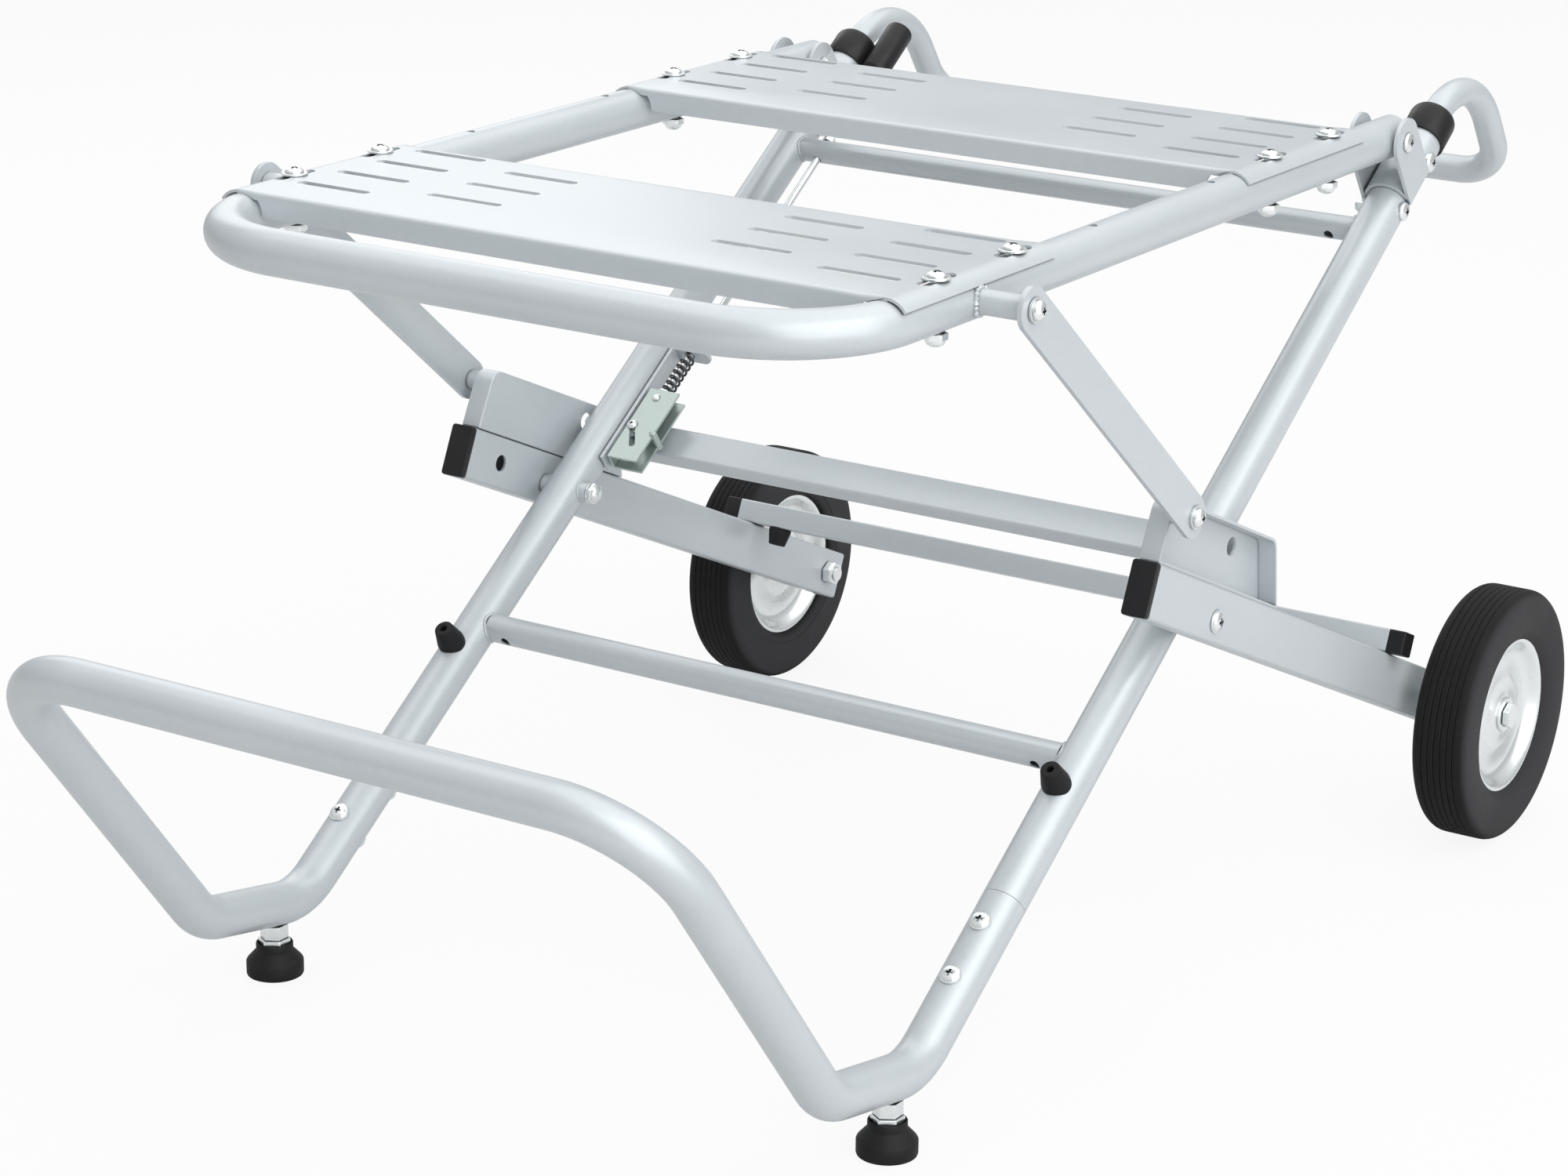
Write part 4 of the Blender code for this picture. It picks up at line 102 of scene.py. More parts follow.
@dataclass(frozen=True)
class Layout:
    """Where the stand's axes and pivots are."""

    gap: float = 0.3 * MM
    tilt: float = math.radians(35.0)
    pivot: Vector = Vector((0.0, 44.235 * MM, 282.4 * MM))
    half_width: float = 264.5 * MM
    table_half_width: float = 262.0 * MM
    tube_radius: float = 16.0 * MM
    tube_wall: float = 1.5 * MM
    hinge_reach: float = 433.0 * MM
    hinge_rise: float = 48.5 * MM
    axle_reach: float = 451.9 * MM
    leg_offset: float = 4.24 * MM
    leg_width: float = 20.0 * MM
    leg_depth: float = 40.0 * MM
    leg_inset: float = 5.4 * MM
    wheel_radius: float = 101.6 * MM
    link_place: float = 618.5 * MM
    link_pin_forward: float = 92.0 * MM
    link_pin_rise: float = 61.5 * MM
    link_standoff: float = 34.0 * MM
    lock_place: float = 67.0 * MM
    rod_inset: float = 32.0 * MM
    toe_start: float = 408.668 * MM
    toe_rise: float = math.radians(10.6)
    foot_setback: float = 29.4 * MM

    @property
    def frame(self) -> Matrix:
        """The main tubes' frame: Y runs up along them and Z is square to them."""
        return Matrix.Translation(self.pivot) @ Matrix.Rotation(self.tilt, 4, "X")

    @property
    def leg(self) -> Matrix:
        """The legs' frame: Y runs back along them and Z is square to them.

        Returns:
            The matrix from that frame to the row frame.
        """
        radial = math.hypot(self.axle_reach, self.leg_offset)
        fall = math.asin((self.pivot.z - self.wheel_radius) / radial)
        tilt = math.atan2(self.leg_offset, self.axle_reach) + fall
        return Matrix.Translation(self.pivot) @ Matrix.Rotation(-tilt, 4, "X")

    @property
    def tube_along(self) -> Vector:
        """The unit vector up along the main tubes."""
        return (self.frame.to_3x3() @ Y_AXIS).normalized()

    @property
    def tube_up(self) -> Vector:
        """The unit vector square to the main tubes."""
        return (self.frame.to_3x3() @ Z_AXIS).normalized()

    @property
    def leg_along(self) -> Vector:
        """The unit vector back along the legs."""
        return (self.leg.to_3x3() @ Y_AXIS).normalized()

    @property
    def leg_up(self) -> Vector:
        """The unit vector square to the legs."""
        return (self.leg.to_3x3() @ Z_AXIS).normalized()

    @property
    def hinge(self) -> Vector:
        """The table's hinge axis, in the middle plane."""
        return self.frame @ Vector((0.0, self.hinge_reach, self.hinge_rise))

    @property
    def table(self) -> Matrix:
        """The table's frame: its origin on the hinge axis."""
        return Matrix.Translation(self.hinge)

    @property
    def axle(self) -> Vector:
        """The wheels' axis, in the middle plane."""
        return self.leg @ Vector((0.0, self.axle_reach, self.leg_offset))

    @property
    def upper_pin(self) -> Vector:
        """The links' pivot on the table, in the middle plane."""
        return self.hinge - Y_AXIS * self.link_place

    @property
    def lower_pin(self) -> Vector:
        """The links' pivot on the wheel frame, in the middle plane."""
        return self.leg @ Vector((0.0, -self.link_pin_forward, self.link_pin_rise))

    @property
    def leg_inner(self) -> float:
        """Distance of a leg's inner face from the middle plane."""
        return self.half_width + self.tube_radius + self.leg_inset + self.gap

    @property
    def leg_outer(self) -> float:
        """Distance of a leg's outer face from the middle plane."""
        return self.leg_inner + self.leg_width

    @property
    def link_inner(self) -> float:
        """Distance of a link's inner face from the middle plane."""
        return self.table_half_width + self.tube_radius + self.link_standoff

    def foot(self, side: Side) -> Vector:
        """The point on the toe tube's axis over a levelling foot.

        Args:
            side: the foot's side.

        Returns:
            The point in the row frame.
        """
        start = self.frame @ Vector((side.value * self.half_width, -self.toe_start, 0.0))
        back = self.foot_setback / math.cos(self.toe_rise)
        return start + Vector((0.0, -math.cos(self.toe_rise), math.sin(self.toe_rise))) * back


LAYOUT = Layout()


def activate(obj: Object) -> None:
    """Make one object the only selected and active one.

    Args:
        obj: the object.
    """
    bpy.ops.object.select_all(action="DESELECT")
    obj.select_set(True)
    bpy.context.view_layer.objects.active = obj


@contextmanager
def editing(obj: Object) -> Iterator[None]:
    """Edit mode on one object with everything in it selected.

    Args:
        obj: the object.

    Yields:
        Nothing.
    """
    activate(obj)
    bpy.ops.object.mode_set(mode="EDIT")
    bpy.ops.mesh.select_all(action="SELECT")
    yield
    bpy.ops.object.mode_set(mode="OBJECT")


def named(name: str) -> Object:
    """Name the object that a primitive operator has just made, and settle its transform.

    Args:
        name: the piece's name.

    Returns:
        The object, at the origin.
    """
    obj = bpy.context.active_object
    obj.name = name
    bpy.ops.object.transform_apply(location=True, rotation=True, scale=True)
    return obj


def tidy(obj: Object) -> Object:
    """Merge coinciding points and turn every face outward.

    Args:
        obj: the object.

    Returns:
        The same object.
    """
    with editing(obj):
        bpy.ops.mesh.remove_doubles(threshold=MERGE)
        bpy.ops.mesh.normals_make_consistent(inside=False)
    return obj


def modified(obj: Object, kind: str, **settings: object) -> None:
    """Add a modifier and apply it.

    Args:
        obj: the object.
        kind: the modifier's type.
        **settings: the modifier's settings.
    """
    modifier = obj.modifiers.new(kind.title(), kind)
    for key, value in settings.items():
        setattr(modifier, key, value)
    activate(obj)
    bpy.ops.object.modifier_apply(modifier=modifier.name)


def eased(obj: Object, width: float, segments: int = 2) -> Object:
    """Round the sharp edges and shade the rest smooth.

    Args:
        obj: the object.
        width: the rounding's width, or zero for none.
        segments: steps across the rounding.

    Returns:
        The same object.
    """
    if width > 0.0:
        modified(obj, "BEVEL", width=width, segments=segments, limit_method="ANGLE",
                 angle_limit=SHARP_LIMIT)
    activate(obj)
    bpy.ops.object.shade_smooth_by_angle(angle=SMOOTH_ANGLE)
    if width > 0.0:
        modified(obj, "WEIGHTED_NORMAL", keep_sharp=True)
    return obj


def placed(name: str, data: ID) -> Object:
    """An object in the scene that shows this mesh, curve, lamp or camera.

    Args:
        name: the object's name.
        data: what it shows.

    Returns:
        The object.
    """
    obj = bpy.data.objects.new(name, data)
    bpy.context.scene.collection.objects.link(obj)
    return obj


def drawn(name: str, points: Sequence[Vector], loop: bool, face: bool = False) -> Object:
    """An object of one outline.

    Args:
        name: the piece's name.
        points: the outline's points.
        loop: whether the last point joins the first.
        face: whether the outline is filled.

    Returns:
        The object.
    """
    count = len(points)
    edges = [(index, (index + 1) % count) for index in range(count if loop else count - 1)]
    mesh = bpy.data.meshes.new(name)
    mesh.from_pydata(points, [] if face else edges, [list(range(count))] if face else [])
    return placed(name, mesh)


def extruded(name: str, outline: Sequence[Vector], offset: Vector) -> Object:
    """A solid pulled out of a flat outline.

    Args:
        name: the piece's name.
        outline: the outline's points.
        offset: how far it is pulled.

    Returns:
        The object.
    """
    obj = drawn(name, outline, True, True)
    with editing(obj):
        bpy.ops.mesh.extrude_region_move(TRANSFORM_OT_translate={"value": offset})
    return tidy(obj)


def turned(name: str, profile: Profile, origin: Vector, direction: Vector, steps: int,
           ring: bool = False) -> Object:
    """A piece spun from (radius, height) points about an axis.

    Args:
        name: the piece's name.
        profile: the points of the outline.
        origin: where height zero lies.
        direction: the axis.
        steps: facets round the piece.
        ring: whether the profile closes on itself.

    Returns:
        The object.
    """
    axis = direction.normalized()
    guide = Y_AXIS if abs(axis.x) > 0.9 else X_AXIS
    side = (guide - axis * guide.dot(axis)).normalized()
    obj = drawn(name, [origin + side * radius + axis * height for radius, height in profile], ring)
    with editing(obj):
        bpy.ops.mesh.spin(steps=steps, angle=math.tau, center=origin, axis=axis)
    return tidy(obj)


def rod(name: str, radius: float, start: Vector, end: Vector, facets: int = 32) -> Object:
    """A plain round bar.

    Args:
        name: the piece's name.
        radius: its radius.
        start: the middle of one end.
        end: the middle of the other end.
        facets: facets round it.

    Returns:
        The object.
    """
    run = end - start
    bpy.ops.mesh.primitive_cylinder_add(vertices=facets, radius=radius, depth=run.length,
                                        location=(start + end) / 2.0,
                                        rotation=run.to_track_quat("Z", "Y").to_euler())
    return named(name)


def sleeve(name: str, bore: float, radius: float, start: float, end: float, origin: Vector,
           axis: Vector) -> Object:
    """A ring with eased edges, such as a ferrule, between two places on an axis through origin."""
    ring = [(bore, start), (radius, start), (radius, end), (bore, end)]
    return eased(turned(name, ring, origin, axis, RING_FACETS, True), RING_EASE)


def rounding(before: Vector, corner: Vector, after: Vector,
             radius: float) -> tuple[Vector, Vector, Vector, Vector, float]:
    """The arc that rounds one corner of a path.

    Args:
        before: the path's point ahead of the corner.
        corner: the corner.
        after: the path's point past the corner.
        radius: the arc's radius.

    Returns:
        The arc's start, end, centre, axis and angle.
    """
    back = (before - corner).normalized()
    away = (after - corner).normalized()
    turn = math.pi - back.angle(away)
    reach = radius * math.tan(turn / 2.0)
    centre = corner + (back + away).normalized() * (radius / math.cos(turn / 2.0))
    return corner + back * reach, corner + away * reach, centre, back.cross(away), turn


def bent_tube(name: str, points: Sequence[Vector], radii: Sequence[float], radius: float, wall: float,
              facets: int) -> Object:
    """A hollow round tube along straight runs with arcs at their corners.

    Args:
        name: the piece's name.
        points: the corners of the tube's axis, ends included.
        radii: the bend radius at each inner corner.
        radius: the tube's outer radius.
        wall: its wall.
        facets: facets round it.

    Returns:
        The object.
    """
    heading = points[1] - points[0]
    bpy.ops.mesh.primitive_circle_add(vertices=facets, radius=radius, location=points[0],
                                      rotation=heading.to_track_quat("Z", "Y").to_euler())
    tube = named(name)
    place = points[0]
    with editing(tube):
        for before, corner, after, bend in zip(points, points[1:], points[2:], radii):
            start, end, centre, axis, turn = rounding(before, corner, after, bend)
            bpy.ops.mesh.extrude_region_move(TRANSFORM_OT_translate={"value": start - place})
            steps = max(4, round(math.degrees(turn) / 5.0))
            bpy.ops.mesh.spin(steps=steps, angle=turn, center=centre, axis=axis)
            place = end
        bpy.ops.mesh.extrude_region_move(TRANSFORM_OT_translate={"value": points[-1] - place})
    tidy(tube)
    modified(tube, "SOLIDIFY", thickness=wall, offset=-1.0)
    return eased(tube, 0.0)


def hoop(name: str, right: Sequence[Vector], bends: Sequence[float], radius: float,
         facets: int = TUBE_FACETS) -> Object:
    """A tube that is the same on both sides, from the corners and bend radii of its right half."""
    points = [*right, *(MIRROR @ point for point in reversed(right))]
    return bent_tube(name, points, [*bends, *reversed(bends)], radius, LAYOUT.tube_wall, facets)


def square_tube(name: str, start: Vector, end: Vector, up: Vector, width: float, depth: float,
                corner: float, wall: float = 0.0) -> Object:
    """A rectangular tube or block with rounded corners.

    Args:
        name: the piece's name.
        start: the middle of one end.
        end: the middle of the other end.
        up: the direction of its depth.
        width: its size square to up.
        depth: its size along up.
        corner: the corners' radius.
        wall: the wall, or zero for a solid.

    Returns:
        The object.
    """
    run = end - start
    heading = run.normalized()
    side = up.cross(heading).normalized()
    turn = Matrix((side, up.normalized(), heading)).transposed()
    bpy.ops.mesh.primitive_plane_add(size=1.0, location=start, rotation=turn.to_euler())
    bpy.context.active_object.scale = (width, depth, 1.0)
    tube = named(name)
    with editing(tube):
        bpy.ops.mesh.bevel(offset=corner, segments=5, affect="VERTICES")
        if wall > 0.0:
            bpy.ops.mesh.select_all(action="SELECT")
            bpy.ops.mesh.delete(type="ONLY_FACE")
            bpy.ops.mesh.select_all(action="SELECT")
        bpy.ops.mesh.extrude_region_move(TRANSFORM_OT_translate={"value": run})
    tidy(tube)
    if wall > 0.0:
        modified(tube, "SOLIDIFY", thickness=wall, offset=-1.0)
    return tube


def bead(name: str, points: Sequence[Vector], radius: float, closed: bool = True,
         ripple: float = 0.18) -> Object:
    """A round string along a path, such as a weld or a wire.

    Args:
        name: the piece's name.
        points: the path.
        radius: the string's radius.
        closed: whether the path joins up.
        ripple: how much the radius swells and shrinks, as a share of it.

    Returns:
        The object.
    """
    curve = bpy.data.curves.new(name, "CURVE")
    curve.dimensions = "3D"
    curve.bevel_depth = radius
    curve.bevel_resolution = 3
    curve.use_fill_caps = True
    spline = curve.splines.new("POLY")
    spline.use_cyclic_u = closed
    spline.points.add(len(points) - 1)
    for index, (target, point) in enumerate(zip(spline.points, points)):
        target.co = (*point, 1.0)
        target.radius = 1.0 + ripple * math.sin(2.4 * index)
    activate(placed(name, curve))
    bpy.ops.object.convert(target="MESH")
    return eased(tidy(bpy.context.active_object), 0.0)


def cut(obj: Object, *cutters: Object, operation: str = "DIFFERENCE") -> Object:
    """Cut shapes out of a piece, or keep only what it shares with them.

    Args:
        obj: the piece.
        *cutters: the shapes, which are used up.
        operation: the Boolean's kind.

    Returns:
        The piece.
    """
    for cutter in cutters:
        modified(obj, "BOOLEAN", operation=operation, solver="EXACT", object=cutter)
        bpy.data.objects.remove(cutter, do_unlink=True)
    return obj


def joined(name: str, *parts: Object) -> Object:
    """Several shapes as one object.

    Args:
        name: the piece's name.
        *parts: the shapes, which are used up.

    Returns:
        The object.
    """
    activate(parts[0])
    for part in parts[1:]:
        part.select_set(True)
    if len(parts) > 1:
        bpy.ops.object.join()
    parts[0].name = name
    return parts[0]


def copied(obj: Object, name: str, place: Matrix) -> Object:
    """A copy with its own mesh, moved inside the mesh.

    Args:
        obj: the model.
        name: the copy's name.
        place: where the copy goes.

    Returns:
        The copy.
    """
    twin = obj.copy()
    twin.data = obj.data.copy()
    twin.name = name
    bpy.context.scene.collection.objects.link(twin)
    twin.data.transform(place)
    if place.determinant() < 0.0:
        twin.data.flip_normals()
    return twin


def aim(origin: Vector, direction: Vector) -> Matrix:
    """The place of a piece that was modelled standing up: its foot at origin, its top along direction."""
    return Matrix.Translation(origin) @ direction.to_track_quat("Z", "Y").to_matrix().to_4x4()


def arc(centre: Vector, first: Vector, second: Vector, start: float, end: float,
        steps: int) -> list[Vector]:
    """Points on an arc about a centre, by two square vectors as long as the radius, between two angles."""
    angles = [start + (end - start) * index / steps for index in range(steps + 1)]
    return [centre + first * math.cos(angle) + second * math.sin(angle) for angle in angles]


def stadium(near: Vector, far: Vector, along: Vector, square: Vector, steps: int) -> list[Vector]:
    """Two half circles joined by straight sides, by two square radii; along points from far to near."""
    return (arc(near, along, square, -QUARTER, QUARTER, steps)
            + arc(far, along, square, QUARTER, 3.0 * QUARTER, steps))


def crown(radius: float, base: float, rise: float) -> list[tuple[float, float]]:
    """The (radius, height) points of a dome.

    Args:
        radius: the rim's radius.
        base: the rim's height.
        rise: how far the top is above the rim, or below it where it is negative.

    Returns:
        The points from the rim to the top.
    """
    turns = [QUARTER * index / 8.0 for index in range(8)]
    rim = [(radius * math.cos(turn), base + rise * math.sin(turn)) for turn in turns]
    return [*rim, (0.0, base + rise)]


class Workshop:
    """Hands finished pieces to their bodies with their finishes, and counts them."""

    def __init__(self, finishes: dict[Slot, Material]) -> None:
        """Start with each slot's material and no pieces."""
        self.finishes = finishes
        self.count = 0

    def fit(self, obj: Object, body: str, slot: Slot, *nodes: str) -> None:
        """Give a piece its finish and its body.

        Args:
            obj: the piece.
            body: the body it rides on.
            slot: its finish.
            *nodes: the solids it stands for.
        """
        obj.data.materials.clear()
        obj.data.materials.append(self.finishes[slot])
        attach(obj, body)
        if nodes:
            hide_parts(*nodes)
        self.count += 1

    def pair(self, right: Object, body: str, slot: Slot, stem: str,
             stands: bool = True) -> None:
        """Fit a right-hand piece and its mirror image.

        Args:
            right: the right-hand piece.
            body: the body's name, with a brace pair where the side's name goes.
            slot: the finish.
            stem: the pieces' name without the side.
            stands: whether each stands for the solid of its name.
        """
        left = copied(right, f"fine_{stem}_{Side.LEFT.label}", MIRROR)
        right.name = f"fine_{stem}_{Side.RIGHT.label}"
        for piece, side in ((left, Side.LEFT), (right, Side.RIGHT)):
            nodes = [f"{stem}_{side.label}"] if stands else []
            self.fit(piece, body.format(side.label), slot, *nodes)


@dataclass(frozen=True)
class Bolt:
    """A screw with its head, washers and nut, modelled head up with the head's seat at zero."""

    shank: float
    grip: float
    head: float
    height: float
    flange: float = 0.0
    nut: float = 0.0
    nut_height: float = 0.0
    washer: float = 0.0
    washer_thickness: float = 1.4 * MM
    washers: int = 0
    nut_washer: bool = False
    sunk: float = 0.0
    tail: float = 0.0
    hexagonal: bool = False
    facets: int = 40
    recess_arm: float = 0.36
    recess_width: float = 0.12
    recess_depth: float = 0.62

    def model(self, name: str) -> Object:
        """Build the bolt.

        Args:
            name: the piece's name.

        Returns:
            The object.
        """
        lift = self.washers * self.washer_thickness
        parts = [rod(name, self.shank, Z_AXIS * -(self.grip + self.tail), Z_AXIS * lift, self.facets)]
        parts += [self.disc(index * self.washer_thickness) for index in range(self.washers)]
        if self.hexagonal:
            parts.append(self.hexagon(lift, self.height))
        else:
            parts.append(self.dome(lift))
        if self.nut > 0.0:
            seat = -self.grip
            if self.nut_washer:
                parts.append(self.disc(seat - self.washer_thickness))
                seat -= self.washer_thickness
            if self.hexagonal:
                parts.append(self.hexagon(seat - self.nut_height, self.nut_height))
            else:
                parts += self.cap_nut(seat)
        return joined(name, *parts)

    def seated(self, name: str, seat: Vector, outward: Vector) -> Object:
        """Build the bolt with its head's seat at a point.

        Args:
            name: the piece's name.
            seat: the point.
            outward: where the head points.

        Returns:
            The object.
        """
        obj = self.model(name)
        obj.data.transform(aim(seat, outward))
        return obj

    def disc(self, low: float) -> Object:
        """A washer.

        Args:
            low: the height of its lower face.

        Returns:
            The object.
        """
        top = low + self.washer_thickness * 0.94
        ring = rod("washer", self.washer, Z_AXIS * low, Z_AXIS * top, self.facets)
        return eased(ring, self.washer_thickness * 0.2)

    def dome(self, lift: float) -> Object:
        """A domed head with a cross recess.

        Args:
            lift: the height of its seat.

        Returns:
            The object.
        """
        edge = self.height * (0.28 if self.flange > 0.0 else 0.2)
        profile = [(0.0, lift - self.sunk), (self.head, lift - self.sunk), (self.head, lift + edge * 0.8),
                   (self.head - edge * 0.25, lift + edge)]
        profile += crown(self.head - self.flange, lift + edge, self.height - edge)
        head = turned("head", profile, Vector(), Z_AXIS, self.facets)
        arm = self.head * self.recess_arm
        half = self.head * self.recess_width
        corners = [(arm, half), (half, half), (half, arm)]
        outline = []
        for quarter in range(4):
            turn = Matrix.Rotation(quarter * QUARTER, 3, "Z")
            outline += [turn @ Vector((x, y, 0.0)) for x, y in corners]
        floor = Z_AXIS * (lift + self.height * (1.0 - self.recess_depth))
        cross = extruded("cross", [point + floor for point in outline], Z_AXIS * self.height)
        return eased(cut(head, cross), 0.0)

    def hexagon(self, low: float, height: float) -> Object:
        """A hexagonal head or nut with eased edges, by its lower face's height and its thickness."""
        body = rod("hexagon", max(self.nut, self.head), Z_AXIS * low, Z_AXIS * (low + height), 6)
        return eased(body, height * 0.12)

    def cap_nut(self, seat: float) -> list[Object]:
        """A domed nut below the work.

        Args:
            seat: the height of its seat.

        Returns:
            Its hexagon and its dome.
        """
        flat = self.nut_height * 0.5
        body = rod("nut", self.nut, Z_AXIS * (seat - flat), Z_AXIS * (seat + self.sunk), 6)
        profile = [(0.0, seat - flat), *crown(self.nut * 0.8, seat - flat, flat - self.nut_height)]
        cap = turned("cap", profile, Vector(), Z_AXIS, 32)
        return [eased(body, self.nut_height * 0.06), eased(cap, 0.0)]


def saddle(centre: Vector, along: Vector, across: Vector, bar: float, tube: float) -> list[Vector]:
    """The line on which a bar's end meets a round tube.

    Args:
        centre: where the two axes cross.
        along: the tube's axis.
        across: the bar's direction, away from the tube.
        bar: the bar's radius.
        tube: the tube's radius.

    Returns:
        The points of the closed line.
    """
    square = along.cross(across)
    points = []
    for index in range(48):
        turn = math.tau * index / 48.0
        rise = bar * math.sin(turn)
        reach = math.sqrt(tube ** 2 - rise ** 2)
        points.append(centre + along * (bar * math.cos(turn)) + square * rise + across * reach)
    return points


@dataclass
class MainFrame:
    """Main tubes, toe tube, crossbars, hinge brackets, handle, buffers and their bolts."""

    shop: Workshop
    top: float = 490.0 * MM
    shoulder: float = 266.0 * MM
    spigot_length: float = 88.0 * MM
    foot_run: float = 109.0 * MM
    toe_leg: float = 316.0 * MM
    toe_leg_angle: float = math.radians(52.1)
    toe_bends: tuple[float, float, float] = (55.0 * MM, 46.0 * MM, 74.0 * MM)
    weld_nut: float = 10.5 * MM
    weld_nut_low: float = 28.6 * MM
    toe_bolts: tuple[float, float] = (-293.0 * MM, -339.0 * MM)
    frame_bolts: tuple[float, float] = (407.0 * MM, 460.0 * MM)
    ferrule: float = 8.0 * MM
    ferrule_overhang: float = 5.8 * MM
    lower_bar: tuple[float, float] = (-141.0 * MM, 10.75 * MM)
    upper_bar: tuple[float, float] = (382.0 * MM, 9.5 * MM)
    bar_wall: float = 1.2 * MM
    drain: float = 4.0 * MM
    drain_inset: float = 32.0 * MM
    rod_hole: float = 3.3 * MM
    weld: float = 1.3 * MM
    bracket_sheet: float = 3.0 * MM
    bracket_half: float = 18.5 * MM
    handle_radius: float = 11.0 * MM
    handle_reach: float = 90.0 * MM
    handle_drop: float = 135.0 * MM
    handle_bends: tuple[float, float] = (74.0 * MM, 36.0 * MM)
    handle_insert: float = 24.0 * MM
    collar_wall: float = 2.0 * MM
    collar_skirt: float = -10.0 * MM
    collar_top: float = 18.0 * MM
    buffer_place: float = -172.0 * MM

    def build(self) -> None:
        """Build and dress the whole main frame."""
        self.main_tubes()
        self.toe_tube()
        self.crossbar("lower_crossbar", *self.lower_bar)
        self.crossbar("upper_crossbar", *self.upper_bar)
        self.hinge_brackets()
        self.handle()
        self.buffers()
        self.bolts()

    @staticmethod
    def at(x: float, y: float, z: float = 0.0) -> Vector:
        """A point across the stand, up along the main tubes and square to them."""
        return LAYOUT.frame @ Vector((x, y, z))

    def main_tubes(self) -> None:
        """The two main tubes with their spigots and pivot ferrules."""
        radius = LAYOUT.tube_radius
        bore = radius - LAYOUT.tube_wall
        spigot = bore - LAYOUT.gap
        low = -self.shoulder
        profile = [
            (spigot - LAYOUT.tube_wall, low - self.spigot_length), (spigot, low - self.spigot_length),
            (spigot, low), (radius - LAYOUT.gap, low), (radius, low + LAYOUT.gap),
            (radius, self.top), (bore, self.top), (bore, low + LAYOUT.tube_wall),
            (spigot - LAYOUT.tube_wall, low),
        ]
        along, middle = LAYOUT.tube_along, self.at(LAYOUT.half_width, 0.0)
        tube = turned("main_tube", profile, middle, along, TUBE_FACETS, True)
        inner = LAYOUT.half_width - radius - self.ferrule_overhang
        ferrule = sleeve("ferrule", self.ferrule * 0.6, self.ferrule, inner, LAYOUT.leg_inner - LAYOUT.gap,
                         LAYOUT.pivot, X_AXIS)
        lines = [saddle(middle, along, X_AXIS * sign, self.ferrule, radius) for sign in (1.0, -1.0)]
        beads = [bead("ferrule_weld", line, self.weld * 0.8) for line in lines]
        piece = joined("main_tube", eased(tube, 0.0), ferrule, *beads)
        self.shop.pair(piece, "main_frame", Slot.POWDER_COAT, "main_tube")

    def toe_tube(self) -> None:
        """The bent toe tube and the weld nuts of the levelling feet."""
        start = self.at(LAYOUT.half_width, -(self.shoulder + LAYOUT.gap))
        rear = self.at(LAYOUT.half_width, -LAYOUT.toe_start)
        rise = LAYOUT.toe_rise
        front = rear + Vector((0.0, -math.cos(rise), math.sin(rise))) * self.foot_run
        lean = self.toe_leg_angle
        corner = front + Vector((0.0, -math.cos(lean), math.sin(lean))) * self.toe_leg
        tube = hoop("fine_toe_tube", [start, rear, front, corner], self.toe_bends, LAYOUT.tube_radius)
        self.shop.fit(tube, "main_frame", Slot.POWDER_COAT, "toe_tube")
        over = LAYOUT.foot(Side.RIGHT)
        low = Vector((over.x, over.y, self.weld_nut_low))
        top = over - Z_AXIS * (LAYOUT.tube_radius - LAYOUT.tube_wall)
        nut = eased(rod("weld_nut", self.weld_nut, low, top, 6), SHEET_EASE)
        self.shop.pair(nut, "main_frame", Slot.ZINC, "weld_nut", False)

    def crossbar(self, name: str, place: float, radius: float) -> None:
        """A crossbar with its holes and the welds at its ends.

        Args:
            name: the solid it stands for.
            place: its place along the main tubes.
            radius: its radius.
        """
        reach = LAYOUT.half_width - LAYOUT.tube_radius * 0.9
        along = LAYOUT.tube_along
        through = along * (radius * 1.5)
        bar = bent_tube(name, [self.at(-reach, place), self.at(reach, place)], [], radius, self.bar_wall, 40)
        inset = LAYOUT.half_width - self.drain_inset
        sides = [Side.RIGHT] if name == "upper_crossbar" else list(Side)
        for side in sides:
            centre = self.at(side.value * inset, place)
            cut(bar, rod("drain", self.drain, centre, centre - through, HOLE_FACETS))
        if name == "upper_crossbar":
            middle = self.at(-inset, place)
            cut(bar, rod("rod_hole", self.rod_hole, middle - through, middle + through, HOLE_FACETS))
        beads = []
        for side in Side:
            end = self.at(side.value * LAYOUT.half_width, place)
            line = saddle(end, along, X_AXIS * -side.value, radius, LAYOUT.tube_radius)
            beads.append(bead("bar_weld", line, self.weld))
        piece = joined(f"fine_{name}", eased(bar, 0.0), *beads)
        self.shop.fit(piece, "main_frame", Slot.POWDER_COAT, name)

